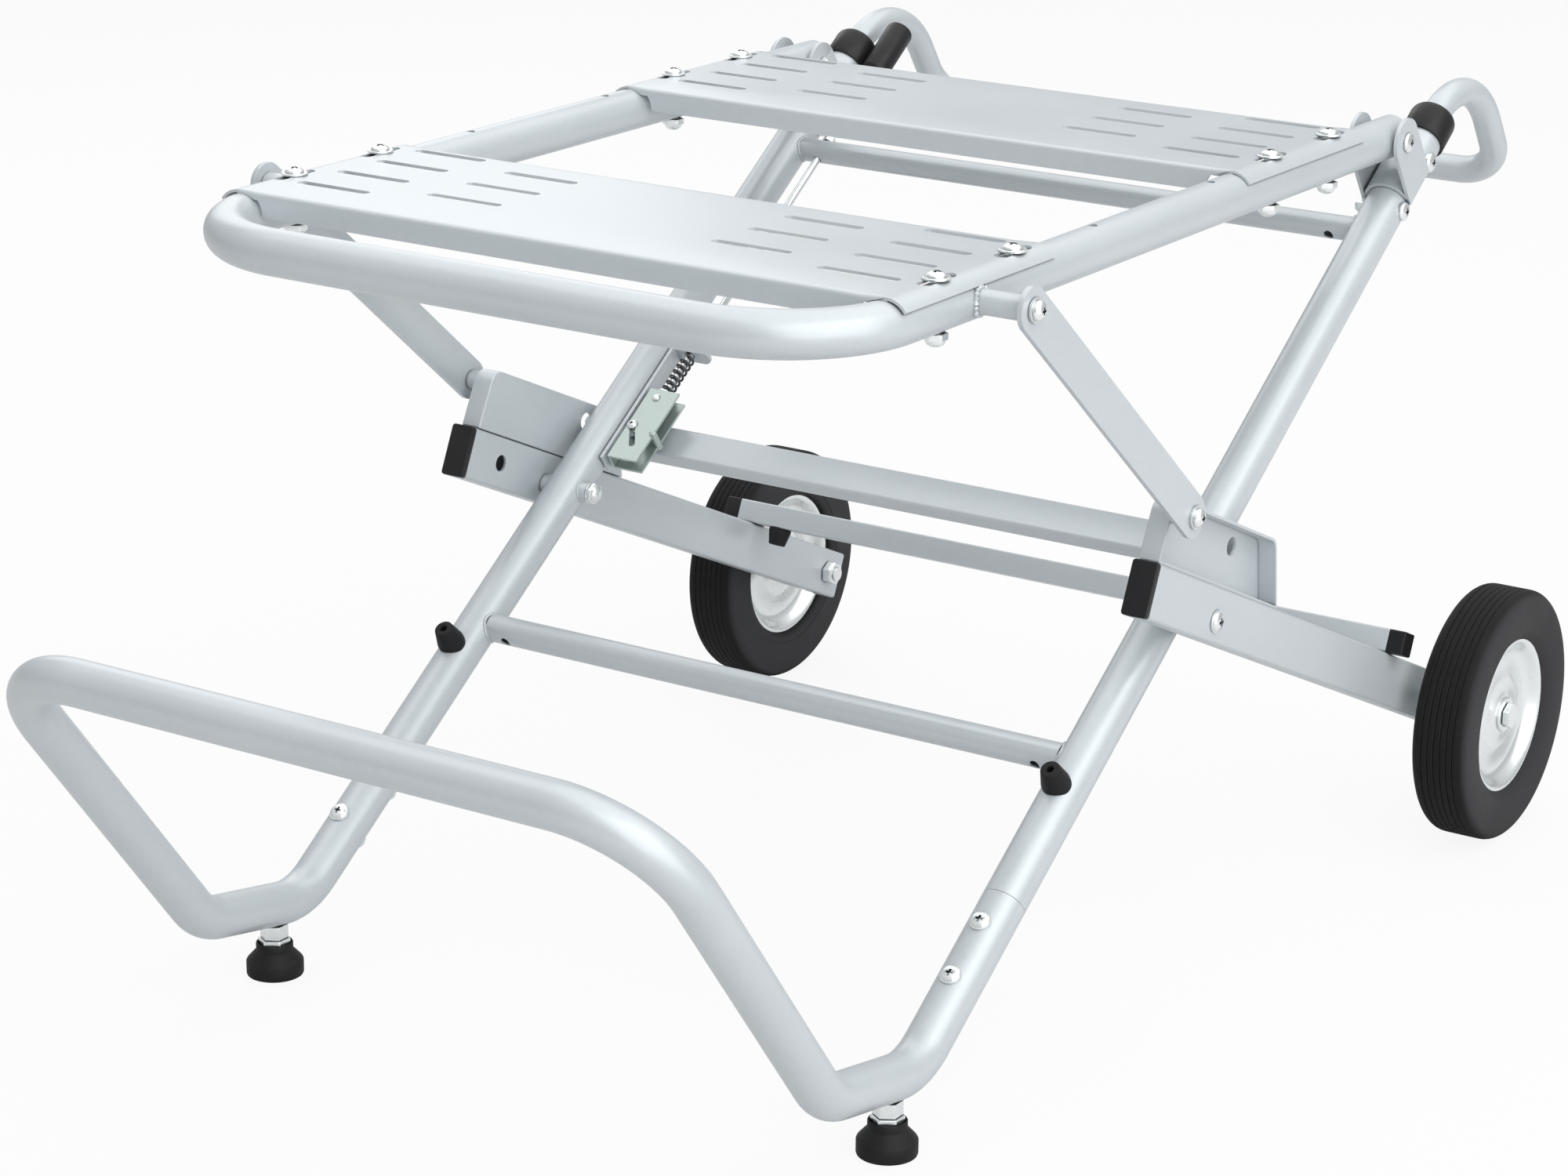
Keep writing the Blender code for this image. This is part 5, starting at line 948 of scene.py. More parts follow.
    def hinge_brackets(self) -> None:
        """The pressed brackets that carry the table's hinge bolts."""
        gap = LAYOUT.gap
        middle = LAYOUT.half_width
        inner = LAYOUT.tube_radius + gap
        outer = inner + self.bracket_sheet
        ear = LAYOUT.table_half_width - LAYOUT.tube_radius - gap - middle
        top = LAYOUT.hinge_rise + self.bracket_half
        centre = X_AXIS * middle
        low_ear = ear - self.bracket_sheet
        first, last = math.acos(inner / outer), math.acos(ear / outer)
        section = [Vector((middle + outer, 0.0, 0.0)), Vector((middle + outer, 0.0, top)),
                   Vector((middle + inner, 0.0, top))]
        section += arc(centre, X_AXIS * outer, Z_AXIS * outer, first, last, 30)
        section += [Vector((middle + ear, 0.0, top)), Vector((middle + low_ear, 0.0, top)),
                    Vector((middle + low_ear, 0.0, 0.0))]
        section += arc(centre, X_AXIS * inner, Z_AXIS * inner, math.pi, 0.0, 40)
        shift = Vector((0.0, LAYOUT.hinge_reach - self.bracket_half, 0.0))
        outline = [LAYOUT.frame @ (point + shift) for point in section]
        bracket = extruded("bracket", outline, LAYOUT.tube_along * (2.0 * self.bracket_half))
        rim = arc(Vector((0.0, LAYOUT.hinge_reach, LAYOUT.hinge_rise)), Y_AXIS * self.bracket_half,
                  Z_AXIS * self.bracket_half, 0.0, math.pi, 24)
        spare = CUTTER_SPARE / 2.0
        wide = Y_AXIS * (self.bracket_half + spare)
        centre = Vector((0.0, LAYOUT.hinge_reach, 0.0))
        low = Z_AXIS * (-outer - spare)
        rise = Z_AXIS * LAYOUT.hinge_rise
        rim = [centre + wide + low, centre + wide + rise] + rim + [centre - wide + rise, centre - wide + low]
        near = X_AXIS * (middle + low_ear - spare)
        keep = extruded("keep", [LAYOUT.frame @ (point + near) for point in rim],
                        X_AXIS * (outer - low_ear + CUTTER_SPARE))
        cut(bracket, keep, operation="INTERSECT")
        self.shop.pair(eased(bracket, SHEET_EASE), "main_frame", Slot.POWDER_COAT, "hinge_bracket")

    def handle(self) -> None:
        """The handle tube and its collars."""
        side = LAYOUT.half_width
        bend = self.top + self.handle_reach
        right = [self.at(side, self.top - self.handle_insert), self.at(side, bend),
                 self.at(side, bend, -self.handle_drop)]
        tube = hoop("fine_handle_tube", right, self.handle_bends, self.handle_radius, 48)
        self.shop.fit(tube, "main_frame", Slot.POWDER_COAT, "handle_tube")
        neck = self.handle_radius + LAYOUT.gap
        bore = LAYOUT.tube_radius + LAYOUT.gap
        outer = bore + self.collar_wall
        low, top = self.collar_skirt, self.collar_top
        profile = [
            (bore, low), (outer - 0.6 * MM, low), (outer, low + 0.8 * MM), (outer, top - 5.0 * MM),
            (outer - 0.5 * MM, top - 2.6 * MM), (outer - 1.6 * MM, top - 0.8 * MM), (outer - 3.2 * MM, top),
            (neck, top), (neck, LAYOUT.gap), (bore, LAYOUT.gap),
        ]
        collar = turned("collar", profile, self.at(side, self.top), LAYOUT.tube_along, TUBE_FACETS, True)
        self.shop.pair(eased(collar, 0.0), "main_frame", Slot.BLACK_PLASTIC, "handle_collar")

    def buffers(self) -> None:
        """Rubber buffers on the main tubes."""
        seat = self.at(LAYOUT.half_width, self.buffer_place, LAYOUT.tube_radius)
        piece = buffer("buffer", seat, LAYOUT.tube_up, base=10.5 * MM, tip=7.0 * MM, height=16.3 * MM,
                       sunk=3.8 * MM)
        self.shop.pair(piece, "main_frame", Slot.BLACK_RUBBER, "table_bumper")

    def bolts(self) -> None:
        """The frame, toe, pivot and hinge bolts."""
        model = Bolt(shank=3.0 * MM, grip=2.0 * LAYOUT.tube_radius, head=7.5 * MM, height=3.8 * MM,
                     nut=6.8 * MM, nut_height=8.0 * MM, sunk=1.4 * MM).model("small_bolt")
        for stem, places, outward in (("frame_bolt", self.frame_bolts, X_AXIS),
                                      ("toe_bolt", self.toe_bolts, LAYOUT.tube_up)):
            for index, place in enumerate(places):
                seat = self.at(LAYOUT.half_width, place) + outward * LAYOUT.tube_radius
                piece = copied(model, stem, aim(seat, outward))
                self.shop.pair(piece, "main_frame", Slot.ZINC, f"{stem}_{index}", False)
        bpy.data.objects.remove(model, do_unlink=True)
        inner = LAYOUT.half_width - LAYOUT.tube_radius - self.ferrule_overhang - LAYOUT.gap
        outer = LAYOUT.leg_outer + LAYOUT.gap
        pivot = Bolt(shank=4.5 * MM, grip=outer - inner, head=8.5 * MM, height=4.6 * MM, flange=1.2 * MM,
                     nut=8.5 * MM, nut_height=7.5 * MM, washer=8.2 * MM, nut_washer=True)
        piece = pivot.seated("pivot_bolt", LAYOUT.pivot + X_AXIS * outer, X_AXIS)
        self.shop.pair(piece, "main_frame", Slot.ZINC, "pivot_bolt")
        ear = LAYOUT.half_width + LAYOUT.tube_radius + LAYOUT.gap + self.bracket_sheet + LAYOUT.gap
        tail = LAYOUT.table_half_width - LAYOUT.tube_radius - 2.0 * LAYOUT.gap - self.bracket_sheet
        hinge = Bolt(shank=4.0 * MM, grip=ear - tail, head=7.5 * MM, height=3.6 * MM, nut=6.8 * MM,
                     nut_height=6.5 * MM)
        piece = hinge.seated("hinge_bolt", LAYOUT.hinge + X_AXIS * ear, X_AXIS)
        self.shop.pair(piece, "main_frame", Slot.ZINC, "hinge_bolt")


def buffer(name: str, seat: Vector, outward: Vector, base: float, tip: float, height: float,
           sunk: float = 0.0) -> Object:
    """A conical rubber buffer with a hole in its tip.

    Args:
        name: the piece's name.
        seat: the middle of its base.
        outward: where its tip points.
        base: the base's radius.
        tip: the tip's radius.
        height: its height.
        sunk: how far its base runs into a round seat.

    Returns:
        The object.
    """
    hole, depth, foot = 2.6 * MM, 9.0 * MM, 2.0 * MM
    profile = [(0.0, -sunk), (base, -sunk), (base, foot), (tip, height), (hole, height),
               (hole, height - depth), (0.0, height - depth)]
    return eased(turned(name, profile, seat, outward, RING_FACETS), 0.6 * MM, 3)


@dataclass
class Table:
    """The hinged table: its bent tube, the two slotted saw plates and their clamp bolts."""

    shop: Workshop
    reach: float = 779.2 * MM
    tail: float = 17.0 * MM
    bend: float = 92.0 * MM
    holes: tuple[float, float] = (448.0 * MM, 279.0 * MM)
    hole: float = 3.2 * MM
    boss: float = 8.5 * MM
    boss_weld: float = 2.3 * MM
    boss_sunk: float = 2.0 * MM
    sheet: float = 2.0 * MM
    depth: float = 186.0 * MM
    places: dict[str, float] = field(default_factory=lambda: {"front": 709.0 * MM, "rear": 247.0 * MM})
    wrap: float = math.radians(55.0)
    lip: float = 17.0 * MM
    fold: float = 3.5 * MM
    notch: float = 5.5 * MM
    slot_length: float = 62.0 * MM
    slot_width: float = 8.0 * MM
    slot_pitch: float = 43.6 * MM
    slot_setback: float = 16.4 * MM
    slot_rows: dict[float, int] = field(default_factory=lambda: {214.0 * MM: 4, 117.5 * MM: 3})
    clamp_pitch: float = 95.0 * MM
    clamp_setback: float = 14.5 * MM
    clamp_length: float = 40.0 * MM
    clamp_width: float = 9.6 * MM

    def build(self) -> None:
        """Build and dress the table."""
        self.tube()
        model = self.plate()
        for name, front in self.places.items():
            middle = LAYOUT.table @ Matrix.Translation(Y_AXIS * (self.depth / 2.0 - front))
            piece = copied(model, f"fine_{name}_saw_plate", middle)
            self.shop.fit(piece, "table", Slot.POWDER_COAT, f"{name}_saw_plate")
        bpy.data.objects.remove(model, do_unlink=True)
        self.bolts()

    def tube(self) -> None:
        """The U-shaped tube with the bosses for the links."""
        side = LAYOUT.table_half_width
        right = [LAYOUT.table @ Vector((side, y, 0.0)) for y in (self.tail, -self.reach)]
        tube = hoop("fine_table_tube", right, [self.bend], LAYOUT.tube_radius)
        parts = []
        for sign in (1.0, -1.0):
            for place in self.holes:
                centre = LAYOUT.table @ Vector((sign * side, -place, 0.0))
                above = centre + Z_AXIS * (LAYOUT.tube_radius * 1.3)
                cut(tube, rod("hole", self.hole, centre, above, HOLE_FACETS))
            pin = Vector((sign * side, LAYOUT.upper_pin.y, LAYOUT.upper_pin.z))
            start = LAYOUT.tube_radius - self.boss_sunk
            end = LAYOUT.link_inner - LAYOUT.gap - side
            outward = X_AXIS * sign
            parts.append(sleeve("boss", self.boss * 0.55, self.boss, start, end, pin, outward))
            line = saddle(pin, Y_AXIS, outward, self.boss, LAYOUT.tube_radius)
            parts.append(bead("boss_weld", line, self.boss_weld, ripple=0.3))
        piece = joined("fine_table_tube", eased(tube, 0.0), *parts)
        self.shop.fit(piece, "table", Slot.POWDER_COAT, "table_tube")

    def columns(self) -> list[tuple[float, float, float]]:
        """Places across a plate: x, height above the tube's axis and depth of the lip.

        Returns:
            The places from left to right.
        """
        crown = LAYOUT.tube_radius + LAYOUT.gap + self.sheet
        notch = LAYOUT.tube_radius + self.notch
        first = math.asin((crown - self.lip) / notch)
        last = math.asin((crown - self.fold - self.sheet) / notch)
        places = []
        for index in range(13):
            angle = first + (last - first) * index / 12.0
            places.append((LAYOUT.table_half_width - notch * math.cos(angle), crown,
                           crown - notch * math.sin(angle)))
        for index in range(15):
            angle = self.wrap * index / 14.0
            places.append((LAYOUT.table_half_width + crown * math.sin(angle), crown * math.cos(angle), 0.0))
        return [(-x, height, depth) for x, height, depth in reversed(places)] + places

    def plate(self) -> Object:
        """A saw plate, standing with its middle on the table's axis height.

        Returns:
            The object.
        """
        half = self.depth / 2.0
        points: list[Vector] = []
        faces: list[list[int]] = []
        columns = self.columns()
        rows = []
        for x, height, depth in columns:
            row = []
            for sign in (-1.0, 1.0):
                rim = [Vector((x, sign * (half - self.fold), height))]
                if depth > 0.0:
                    for index in range(1, 6):
                        angle = QUARTER * index / 5.0
                        rim.append(Vector((x, sign * (half - self.fold * (1.0 - math.sin(angle))),
                                           height - self.fold * (1.0 - math.cos(angle)))))
                    rim.append(Vector((x, sign * half, height - depth)))
                else:
                    rim += [Vector((x, sign * half, height))] * 6
                row += list(reversed(rim)) if sign < 0.0 else rim
            rows.append(range(len(points), len(points) + len(row)))
            points += row
        for this, following in zip(rows, rows[1:]):
            for near, far in zip(zip(this, this[1:]), zip(following, following[1:])):
                faces.append([near[0], far[0], far[1], near[1]])
        mesh = bpy.data.meshes.new("saw_plate")
        mesh.from_pydata(points, [], faces)
        plate = placed("saw_plate", mesh)
        with editing(plate):
            bpy.ops.mesh.remove_doubles(threshold=MERGE)
        modified(plate, "SOLIDIFY", thickness=self.sheet, offset=-1.0, use_even_offset=True)
        tidy(plate)
        return eased(cut(plate, *self.cutters()), 0.0)

    def cutters(self) -> list[Object]:
        """The shapes of a plate's slots.

        Returns:
            One object for the saw slots and one for the clamp slots.
        """
        low = 8.0 * MM
        rise = Z_AXIS * (LAYOUT.tube_radius * 2.0)
        saw = []
        for sign in (1.0, -1.0):
            for x, rows in self.slot_rows.items():
                for row in range(rows):
                    y = self.slot_setback + self.slot_pitch * (row - (rows - 1) / 2.0)
                    centre = Vector((sign * x, y, low))
                    outline = long_hole(centre, X_AXIS, Y_AXIS, self.slot_length, self.slot_width)
                    saw.append(extruded("slot", outline, rise))
        clamp = []
        for sign in (1.0, -1.0):
            for share in (-0.5, 0.5):
                y = self.clamp_setback + share * self.clamp_pitch
                centre = Vector((sign * LAYOUT.table_half_width, y, low))
                outline = long_hole(centre, Y_AXIS, X_AXIS, self.clamp_length, self.clamp_width)
                clamp.append(extruded("clamp_slot", outline, rise))
        return [joined("slots", *saw), joined("clamp_slots", *clamp)]

    def bolts(self) -> None:
        """The clamp bolts through the plates and the tube."""
        top = LAYOUT.tube_radius + 2.0 * LAYOUT.gap + self.sheet
        grip = top + LAYOUT.tube_radius + LAYOUT.gap
        model = Bolt(shank=4.5 * MM, grip=grip, head=9.3 * MM, height=5.2 * MM, flange=2.4 * MM,
                     nut=8.5 * MM, nut_height=9.5 * MM).model("clamp_bolt")
        for plate, front in self.places.items():
            middle = self.depth / 2.0 + self.clamp_setback - front
            for side in Side:
                for end, share in (("front", -0.5), ("rear", 0.5)):
                    name = f"{plate}_plate_bolt_{side.label}_{end}"
                    x, y = side.value * LAYOUT.table_half_width, middle + share * self.clamp_pitch
                    seat = LAYOUT.table @ Vector((x, y, top))
                    piece = copied(model, f"fine_{name}", aim(seat, Z_AXIS))
                    self.shop.fit(piece, "table", Slot.ZINC, name)
        bpy.data.objects.remove(model, do_unlink=True)


def long_hole(centre: Vector, along: Vector, square: Vector, length: float, width: float) -> list[Vector]:
    """The outline of a straight slot with round ends.

    Args:
        centre: its middle.
        along: the direction of its length.
        square: the direction of its width.
        length: its whole length.
        width: its width.

    Returns:
        The outline's points.
    """
    radius = width / 2.0
    reach = along * (length / 2.0 - radius)
    return stadium(centre + reach, centre - reach, along * radius, square * radius, 12)


@dataclass
class Links:
    """The flat links between the table and the wheel frame."""

    shop: Workshop
    thickness: float = 4.0 * MM
    width: float = 31.0 * MM

    def build(self) -> None:
        """Build and dress both links with their bolts."""
        top, low = LAYOUT.upper_pin, LAYOUT.lower_pin
        along = (low - top).normalized() * (self.width / 2.0)
        square = X_AXIS.cross(along)
        inner = X_AXIS * LAYOUT.link_inner
        outline = stadium(low + inner, top + inner, along, square, 24)
        strap = eased(extruded("strap", outline, X_AXIS * self.thickness), SHEET_EASE)
        self.shop.pair(strap, "link_{}", Slot.POWDER_COAT, "link")
        bolt = Bolt(shank=4.0 * MM, grip=26.0 * MM, head=6.8 * MM, height=5.0 * MM, washer=8.2 * MM,
                    washers=2, washer_thickness=1.2 * MM)
        outer = inner + X_AXIS * self.thickness
        upper = bolt.seated("upper", top + outer + X_AXIS * LAYOUT.gap, X_AXIS)
        lower = replace(bolt, grip=self.thickness).seated("lower", low + outer, X_AXIS)
        self.shop.pair(upper, "link_{}", Slot.ZINC, "link_bolt")
        self.shop.pair(lower, "link_{}", Slot.ZINC, "link_foot_bolt", False)


@dataclass
class WheelFrame:
    """Legs, side brackets, cross tube and square bar with their caps, buffers and axle bolts."""

    shop: Workshop
    front: float = 105.0 * MM
    tail: float = 21.4 * MM
    wall: float = 2.0 * MM
    thin_wall: float = 1.5 * MM
    corner: float = 2.5 * MM
    hole: float = 6.5 * MM
    hole_place: float = 64.4 * MM
    cap: float = 5.0 * MM
    flange: float = 16.3 * MM
    bracket: tuple[float, float, float, float] = (-103.0 * MM, -101.0 * MM, 76.0 * MM, 104.0 * MM)
    bracket_heights: tuple[float, float] = (47.0 * MM, 48.0 * MM)
    bracket_corner: float = 12.0 * MM
    fold: float = 1.6 * MM
    bush: float = 7.7 * MM
    weld: float = 1.2 * MM
    lock_hole: float = 7.0 * MM
    cross_place: float = 75.5 * MM
    cross_size: tuple[float, float] = (29.0 * MM, 14.0 * MM)
    bar_place: float = 323.5 * MM
    bar_size: float = 18.5 * MM
    bar_corner: float = 1.5 * MM
    bar_overhang: float = 17.3 * MM
    bar_cap: float = 13.5 * MM
    axle_head: float = 10.5 * MM

    def build(self) -> None:
        """Build and dress the wheel frame."""
        self.legs()
        self.side_brackets()
        self.cross_tube()
        self.square_bar()
        self.axle_bolts()

    @staticmethod
    def at(x: float, y: float, z: float) -> Vector:
        """A point across the stand, back along the legs and square to them."""
        return LAYOUT.leg @ Vector((x, y, z))

    def legs(self) -> None:
        """The rectangular legs and the plugs in their front ends."""
        middle = LAYOUT.leg_inner + LAYOUT.leg_width / 2.0
        section = (LAYOUT.leg_up, LAYOUT.leg_width, LAYOUT.leg_depth, self.corner)
        start = self.at(middle, -self.front, LAYOUT.leg_offset)
        end = self.at(middle, LAYOUT.axle_reach + self.tail, LAYOUT.leg_offset)
        leg = square_tube("leg", start, end, *section, self.wall)
        near = self.at(LAYOUT.leg_inner - CUTTER_SPARE, -self.hole_place, LAYOUT.leg_offset)
        cut(leg, rod("hole", self.hole, near, near + X_AXIS * (LAYOUT.leg_width / 2.0)))
        self.shop.pair(eased(leg, 0.0), "wheel_frame", Slot.POWDER_COAT, "leg")
        seat = self.at(middle, -(self.front + LAYOUT.gap), LAYOUT.leg_offset)
        cap = plug("cap", seat, -LAYOUT.leg_along, *section, self.cap)
        self.shop.pair(cap, "wheel_frame", Slot.BLACK_PLASTIC, "leg_cap")

    def side_brackets(self) -> None:
        """The pressed brackets on the legs with the bushes for the links."""
        base = LAYOUT.leg_offset + LAYOUT.leg_depth / 2.0 + LAYOUT.gap
        front_low, front_top, rear_top, rear_low = self.bracket
        x = LAYOUT.leg_inner
        corners = [Vector((x, front_low, base)), Vector((x, front_top, base + self.bracket_heights[0])),
                   Vector((x, rear_top, base + self.bracket_heights[1])), Vector((x, rear_low, base))]
        outline = [corners[0]]
        for before, corner, after in zip(corners, corners[1:], corners[2:]):
            start, end, centre, _, turn = rounding(before, corner, after, self.bracket_corner)
            first, last = start - centre, end - centre
            for index in range(11):
                share = index / 10.0
                blend = first * math.sin((1.0 - share) * turn) + last * math.sin(share * turn)
                outline.append(centre + blend / math.sin(turn))
        outline.append(corners[-1])
        outline = [LAYOUT.leg @ point for point in outline]
        tray = extruded("tray", outline, X_AXIS * self.flange)
        with editing(tray):
            bpy.ops.mesh.select_all(action="DESELECT")
        outer = x + self.flange
        for face in tray.data.polygons:
            face.select = face.center.x > outer - LAYOUT.gap
        activate(tray)
        bpy.ops.object.mode_set(mode="EDIT")
        bpy.ops.mesh.delete(type="FACE")
        bpy.ops.object.mode_set(mode="OBJECT")
        modified(tray, "BEVEL", width=self.fold, segments=4, limit_method="ANGLE", angle_limit=SHARP_LIMIT)
        modified(tray, "SOLIDIFY", thickness=self.wall, offset=-1.0, use_even_offset=True)
        lock = LAYOUT.frame @ Vector((x, LAYOUT.lock_place, 0.0))
        spare = X_AXIS * CUTTER_SPARE
        cut(tray, rod("lock_hole", self.lock_hole, lock - spare, lock + spare * 2.0))
        pin = Vector((0.0, LAYOUT.lower_pin.y, LAYOUT.lower_pin.z))
        bush = sleeve("bush", self.bush * 0.6, self.bush, x + self.wall / 2.0,
                      LAYOUT.link_inner - LAYOUT.gap, pin, X_AXIS)
        foot = pin + X_AXIS * (x + self.wall)
        weld = arc(foot, Y_AXIS * self.bush, Z_AXIS * self.bush, 0.0, math.tau, RING_FACETS)[:-1]
        piece = joined("bracket", eased(tray, 0.0), bush, bead("bush_weld", weld, self.weld))
        self.shop.pair(piece, "wheel_frame", Slot.POWDER_COAT, "side_bracket")

    def cross_tube(self) -> None:
        """The flat tube between the side brackets."""
        half = LAYOUT.leg_inner - LAYOUT.gap
        lengthways, height = self.cross_size
        place = -LAYOUT.tube_radius - LAYOUT.gap - height / 2.0
        start, end = (LAYOUT.frame @ Vector((x, self.cross_place, place)) for x in (-half, half))
        tube = square_tube("fine_cross_tube", start, end, LAYOUT.tube_up, lengthways, height, self.corner,
                           self.thin_wall)
        self.shop.fit(eased(tube, 0.0), "wheel_frame", Slot.POWDER_COAT, "cross_tube")

    def square_bar(self) -> None:
        """The square bar across the legs, its end caps and the buffers under it."""
        half = LAYOUT.leg_inner + self.bar_overhang
        place = LAYOUT.leg_offset + LAYOUT.leg_depth / 2.0 + LAYOUT.gap + self.bar_size / 2.0
        start, end = (self.at(x, self.bar_place, place) for x in (-half, half))
        section = (LAYOUT.leg_up, self.bar_size, self.bar_size, self.bar_corner)
        bar = square_tube("fine_square_bar", start, end, *section, self.thin_wall)
        self.shop.fit(eased(bar, 0.0), "wheel_frame", Slot.POWDER_COAT, "square_bar")
        cap = plug("cap", end + X_AXIS * LAYOUT.gap, X_AXIS, *section, self.bar_cap)
        self.shop.pair(cap, "wheel_frame", Slot.BLACK_PLASTIC, "bar_cap")
        seat = self.at(LAYOUT.half_width, self.bar_place, LAYOUT.leg_offset + LAYOUT.leg_depth / 2.0)
        under = buffer("under", seat, -LAYOUT.leg_up, base=9.5 * MM, tip=7.0 * MM, height=14.0 * MM)
        self.shop.pair(under, "wheel_frame", Slot.BLACK_RUBBER, "bar_bumper")

    def axle_bolts(self) -> None:
        """The hexagon bolts that the wheels turn on."""
        seat = LAYOUT.axle + X_AXIS * (Wheel.middle() + Wheel.hub_face() + LAYOUT.gap)
        grip = seat.x - LAYOUT.leg_inner + LAYOUT.gap
        bolt = Bolt(shank=6.0 * MM, grip=grip, head=self.axle_head, height=5.5 * MM, nut=self.axle_head,
                    nut_height=9.0 * MM, tail=11.0 * MM, hexagonal=True)
        self.shop.pair(bolt.seated("axle", seat, X_AXIS), "wheel_frame", Slot.ZINC, "axle_bolt")


def plug(name: str, seat: Vector, outward: Vector, up: Vector, width: float, depth: float, corner: float,
         head: float) -> Object:
    """The head of a plug in a rectangular tube's end.

    Args:
        name: the piece's name.
        seat: the middle of the tube's end.
        outward: away from the tube.
        up: the direction of the tube's depth.
        width: the tube's width.
        depth: the tube's depth.
        corner: the corners' radius.
        head: the head's thickness.

    Returns:
        The object.
    """
    length, shrink = 12.0 * MM, 4.6 * MM
    block = square_tube(name, seat, seat + outward * head, up, width, depth, corner)
    stem = square_tube("stem", seat - outward * length, seat, up, width - shrink, depth - shrink, corner)
    return joined(name, eased(block, 0.9 * MM, 3), eased(stem, 0.0))


@dataclass
class Wheel:
    """A tyre on a pressed wheel with its hub."""

    shop: Workshop
    width: float = 45.8 * MM
    bead_radius: float = 62.0 * MM
    shoulder: float = 9.0 * MM
    inset: float = 5.6 * MM
    grooves: int = 6
    groove_width: float = 1.5 * MM
    groove_depth: float = 2.2 * MM
    hub: float = 14.0 * MM
    bore: float = 6.5 * MM
    # From a leg to its wheel, and the hub's face as a share of the rim's depth plus a rise.
    leg_clearance: float = 15.5 * MM
    hub_share: float = 0.72
    hub_rise: float = 2.0 * MM
    # Radius and depth below the rim's edge, in millimetres.
    dish: Profile = ((14.0, 5.4), (18.0, 6.4), (21.0, 7.6), (27.0, 7.4), (31.0, 7.9), (36.0, 10.2),
                     (46.0, 10.6), (50.5, 9.6), (53.5, 7.0), (56.5, 3.0), (58.5, 1.0), (60.0, 0.2),
                     (61.2, 0.0), (62.2, 0.3), (61.9, 1.4), (61.5, 2.4))

    @staticmethod
    def middle() -> float:
        """Distance of a wheel's middle from the stand's middle plane."""
        return LAYOUT.leg_outer + Wheel.leg_clearance + Wheel.width / 2.0

    @staticmethod
    def hub_face() -> float:
        """Distance of the hub's outer face from the wheel's middle."""
        return (Wheel.width / 2.0 - Wheel.inset) * Wheel.hub_share + Wheel.hub_rise

    def build(self) -> None:
        """Build and dress both wheels."""
        centre = LAYOUT.axle + X_AXIS * self.middle()
        tyre = turned("tyre", self.tyre_profile(), centre, X_AXIS, WHEEL_FACETS, True)
        self.shop.pair(eased(tyre, 0.0), "wheel_{}", Slot.TYRE_RUBBER, "tyre")
        disc = turned("disc", self.disc_profile(), centre, X_AXIS, WHEEL_FACETS, True)
        self.shop.pair(eased(disc, 0.0), "wheel_{}", Slot.ZINC, "wheel_disc")

    def tyre_profile(self) -> list[tuple[float, float]]:
        """The tyre's section with its grooves.

        Returns:
            The points from the outer bead to the inner bead.
        """
        half = self.width / 2.0
        outer = LAYOUT.wheel_radius
        rings = ((0.0, self.inset), (1.5 * MM, self.inset * 0.55), (4.0 * MM, 1.6 * MM),
                 (7.5 * MM, 0.5 * MM), (8.1 * MM, 0.5 * MM), (8.6 * MM, 0.0))
        side = [(self.bead_radius + rise, half - depth) for rise, depth in rings]
        side.append((outer - self.shoulder * 1.1, half))
        for index in range(1, 8):
            turn = QUARTER * index / 8.0
            side.append((outer - self.shoulder * (1.0 - math.sin(turn)) * 0.9,
                         half - self.shoulder * (1.0 - math.cos(turn))))
        tread = half - self.shoulder
        side.append((outer, tread))
        points = list(side)
        first = tread - 0.6 * MM
        half_cut, floor = self.groove_width / 2.0, outer - self.groove_depth
        for groove in range(self.grooves):
            centre = first - 2.0 * first * groove / (self.grooves - 1)
            points += [(outer, centre + half_cut), (floor, centre + half_cut * 0.5),
                       (floor, centre - half_cut * 0.5), (outer, centre - half_cut)]
        # The outer wall stays plain: points that lie further out than the one before are left out.
        points = points[:1] + [point for before, point in zip(points, points[1:])
                               if point[1] <= before[1] + MERGE]
        return points + [(radius, -place) for radius, place in reversed(side)]

    def disc_profile(self) -> list[tuple[float, float]]:
        """The pressed wheel's section with its hub.

        Returns:
            The points round the section.
        """
        half = self.width / 2.0 - self.inset
        face, ease = self.hub_face(), 0.8 * MM
        outer = [(radius * MM, half - depth * MM) for radius, depth in self.dish]
        inner = [(radius, -place) for radius, place in reversed(outer)]
        tail = -(self.width / 2.0 + self.leg_clearance - LAYOUT.gap)
        return [(self.bore, face), (self.hub - ease, face), (self.hub, face - ease), *outer, *inner,
                (self.hub, tail), (self.bore, tail)]


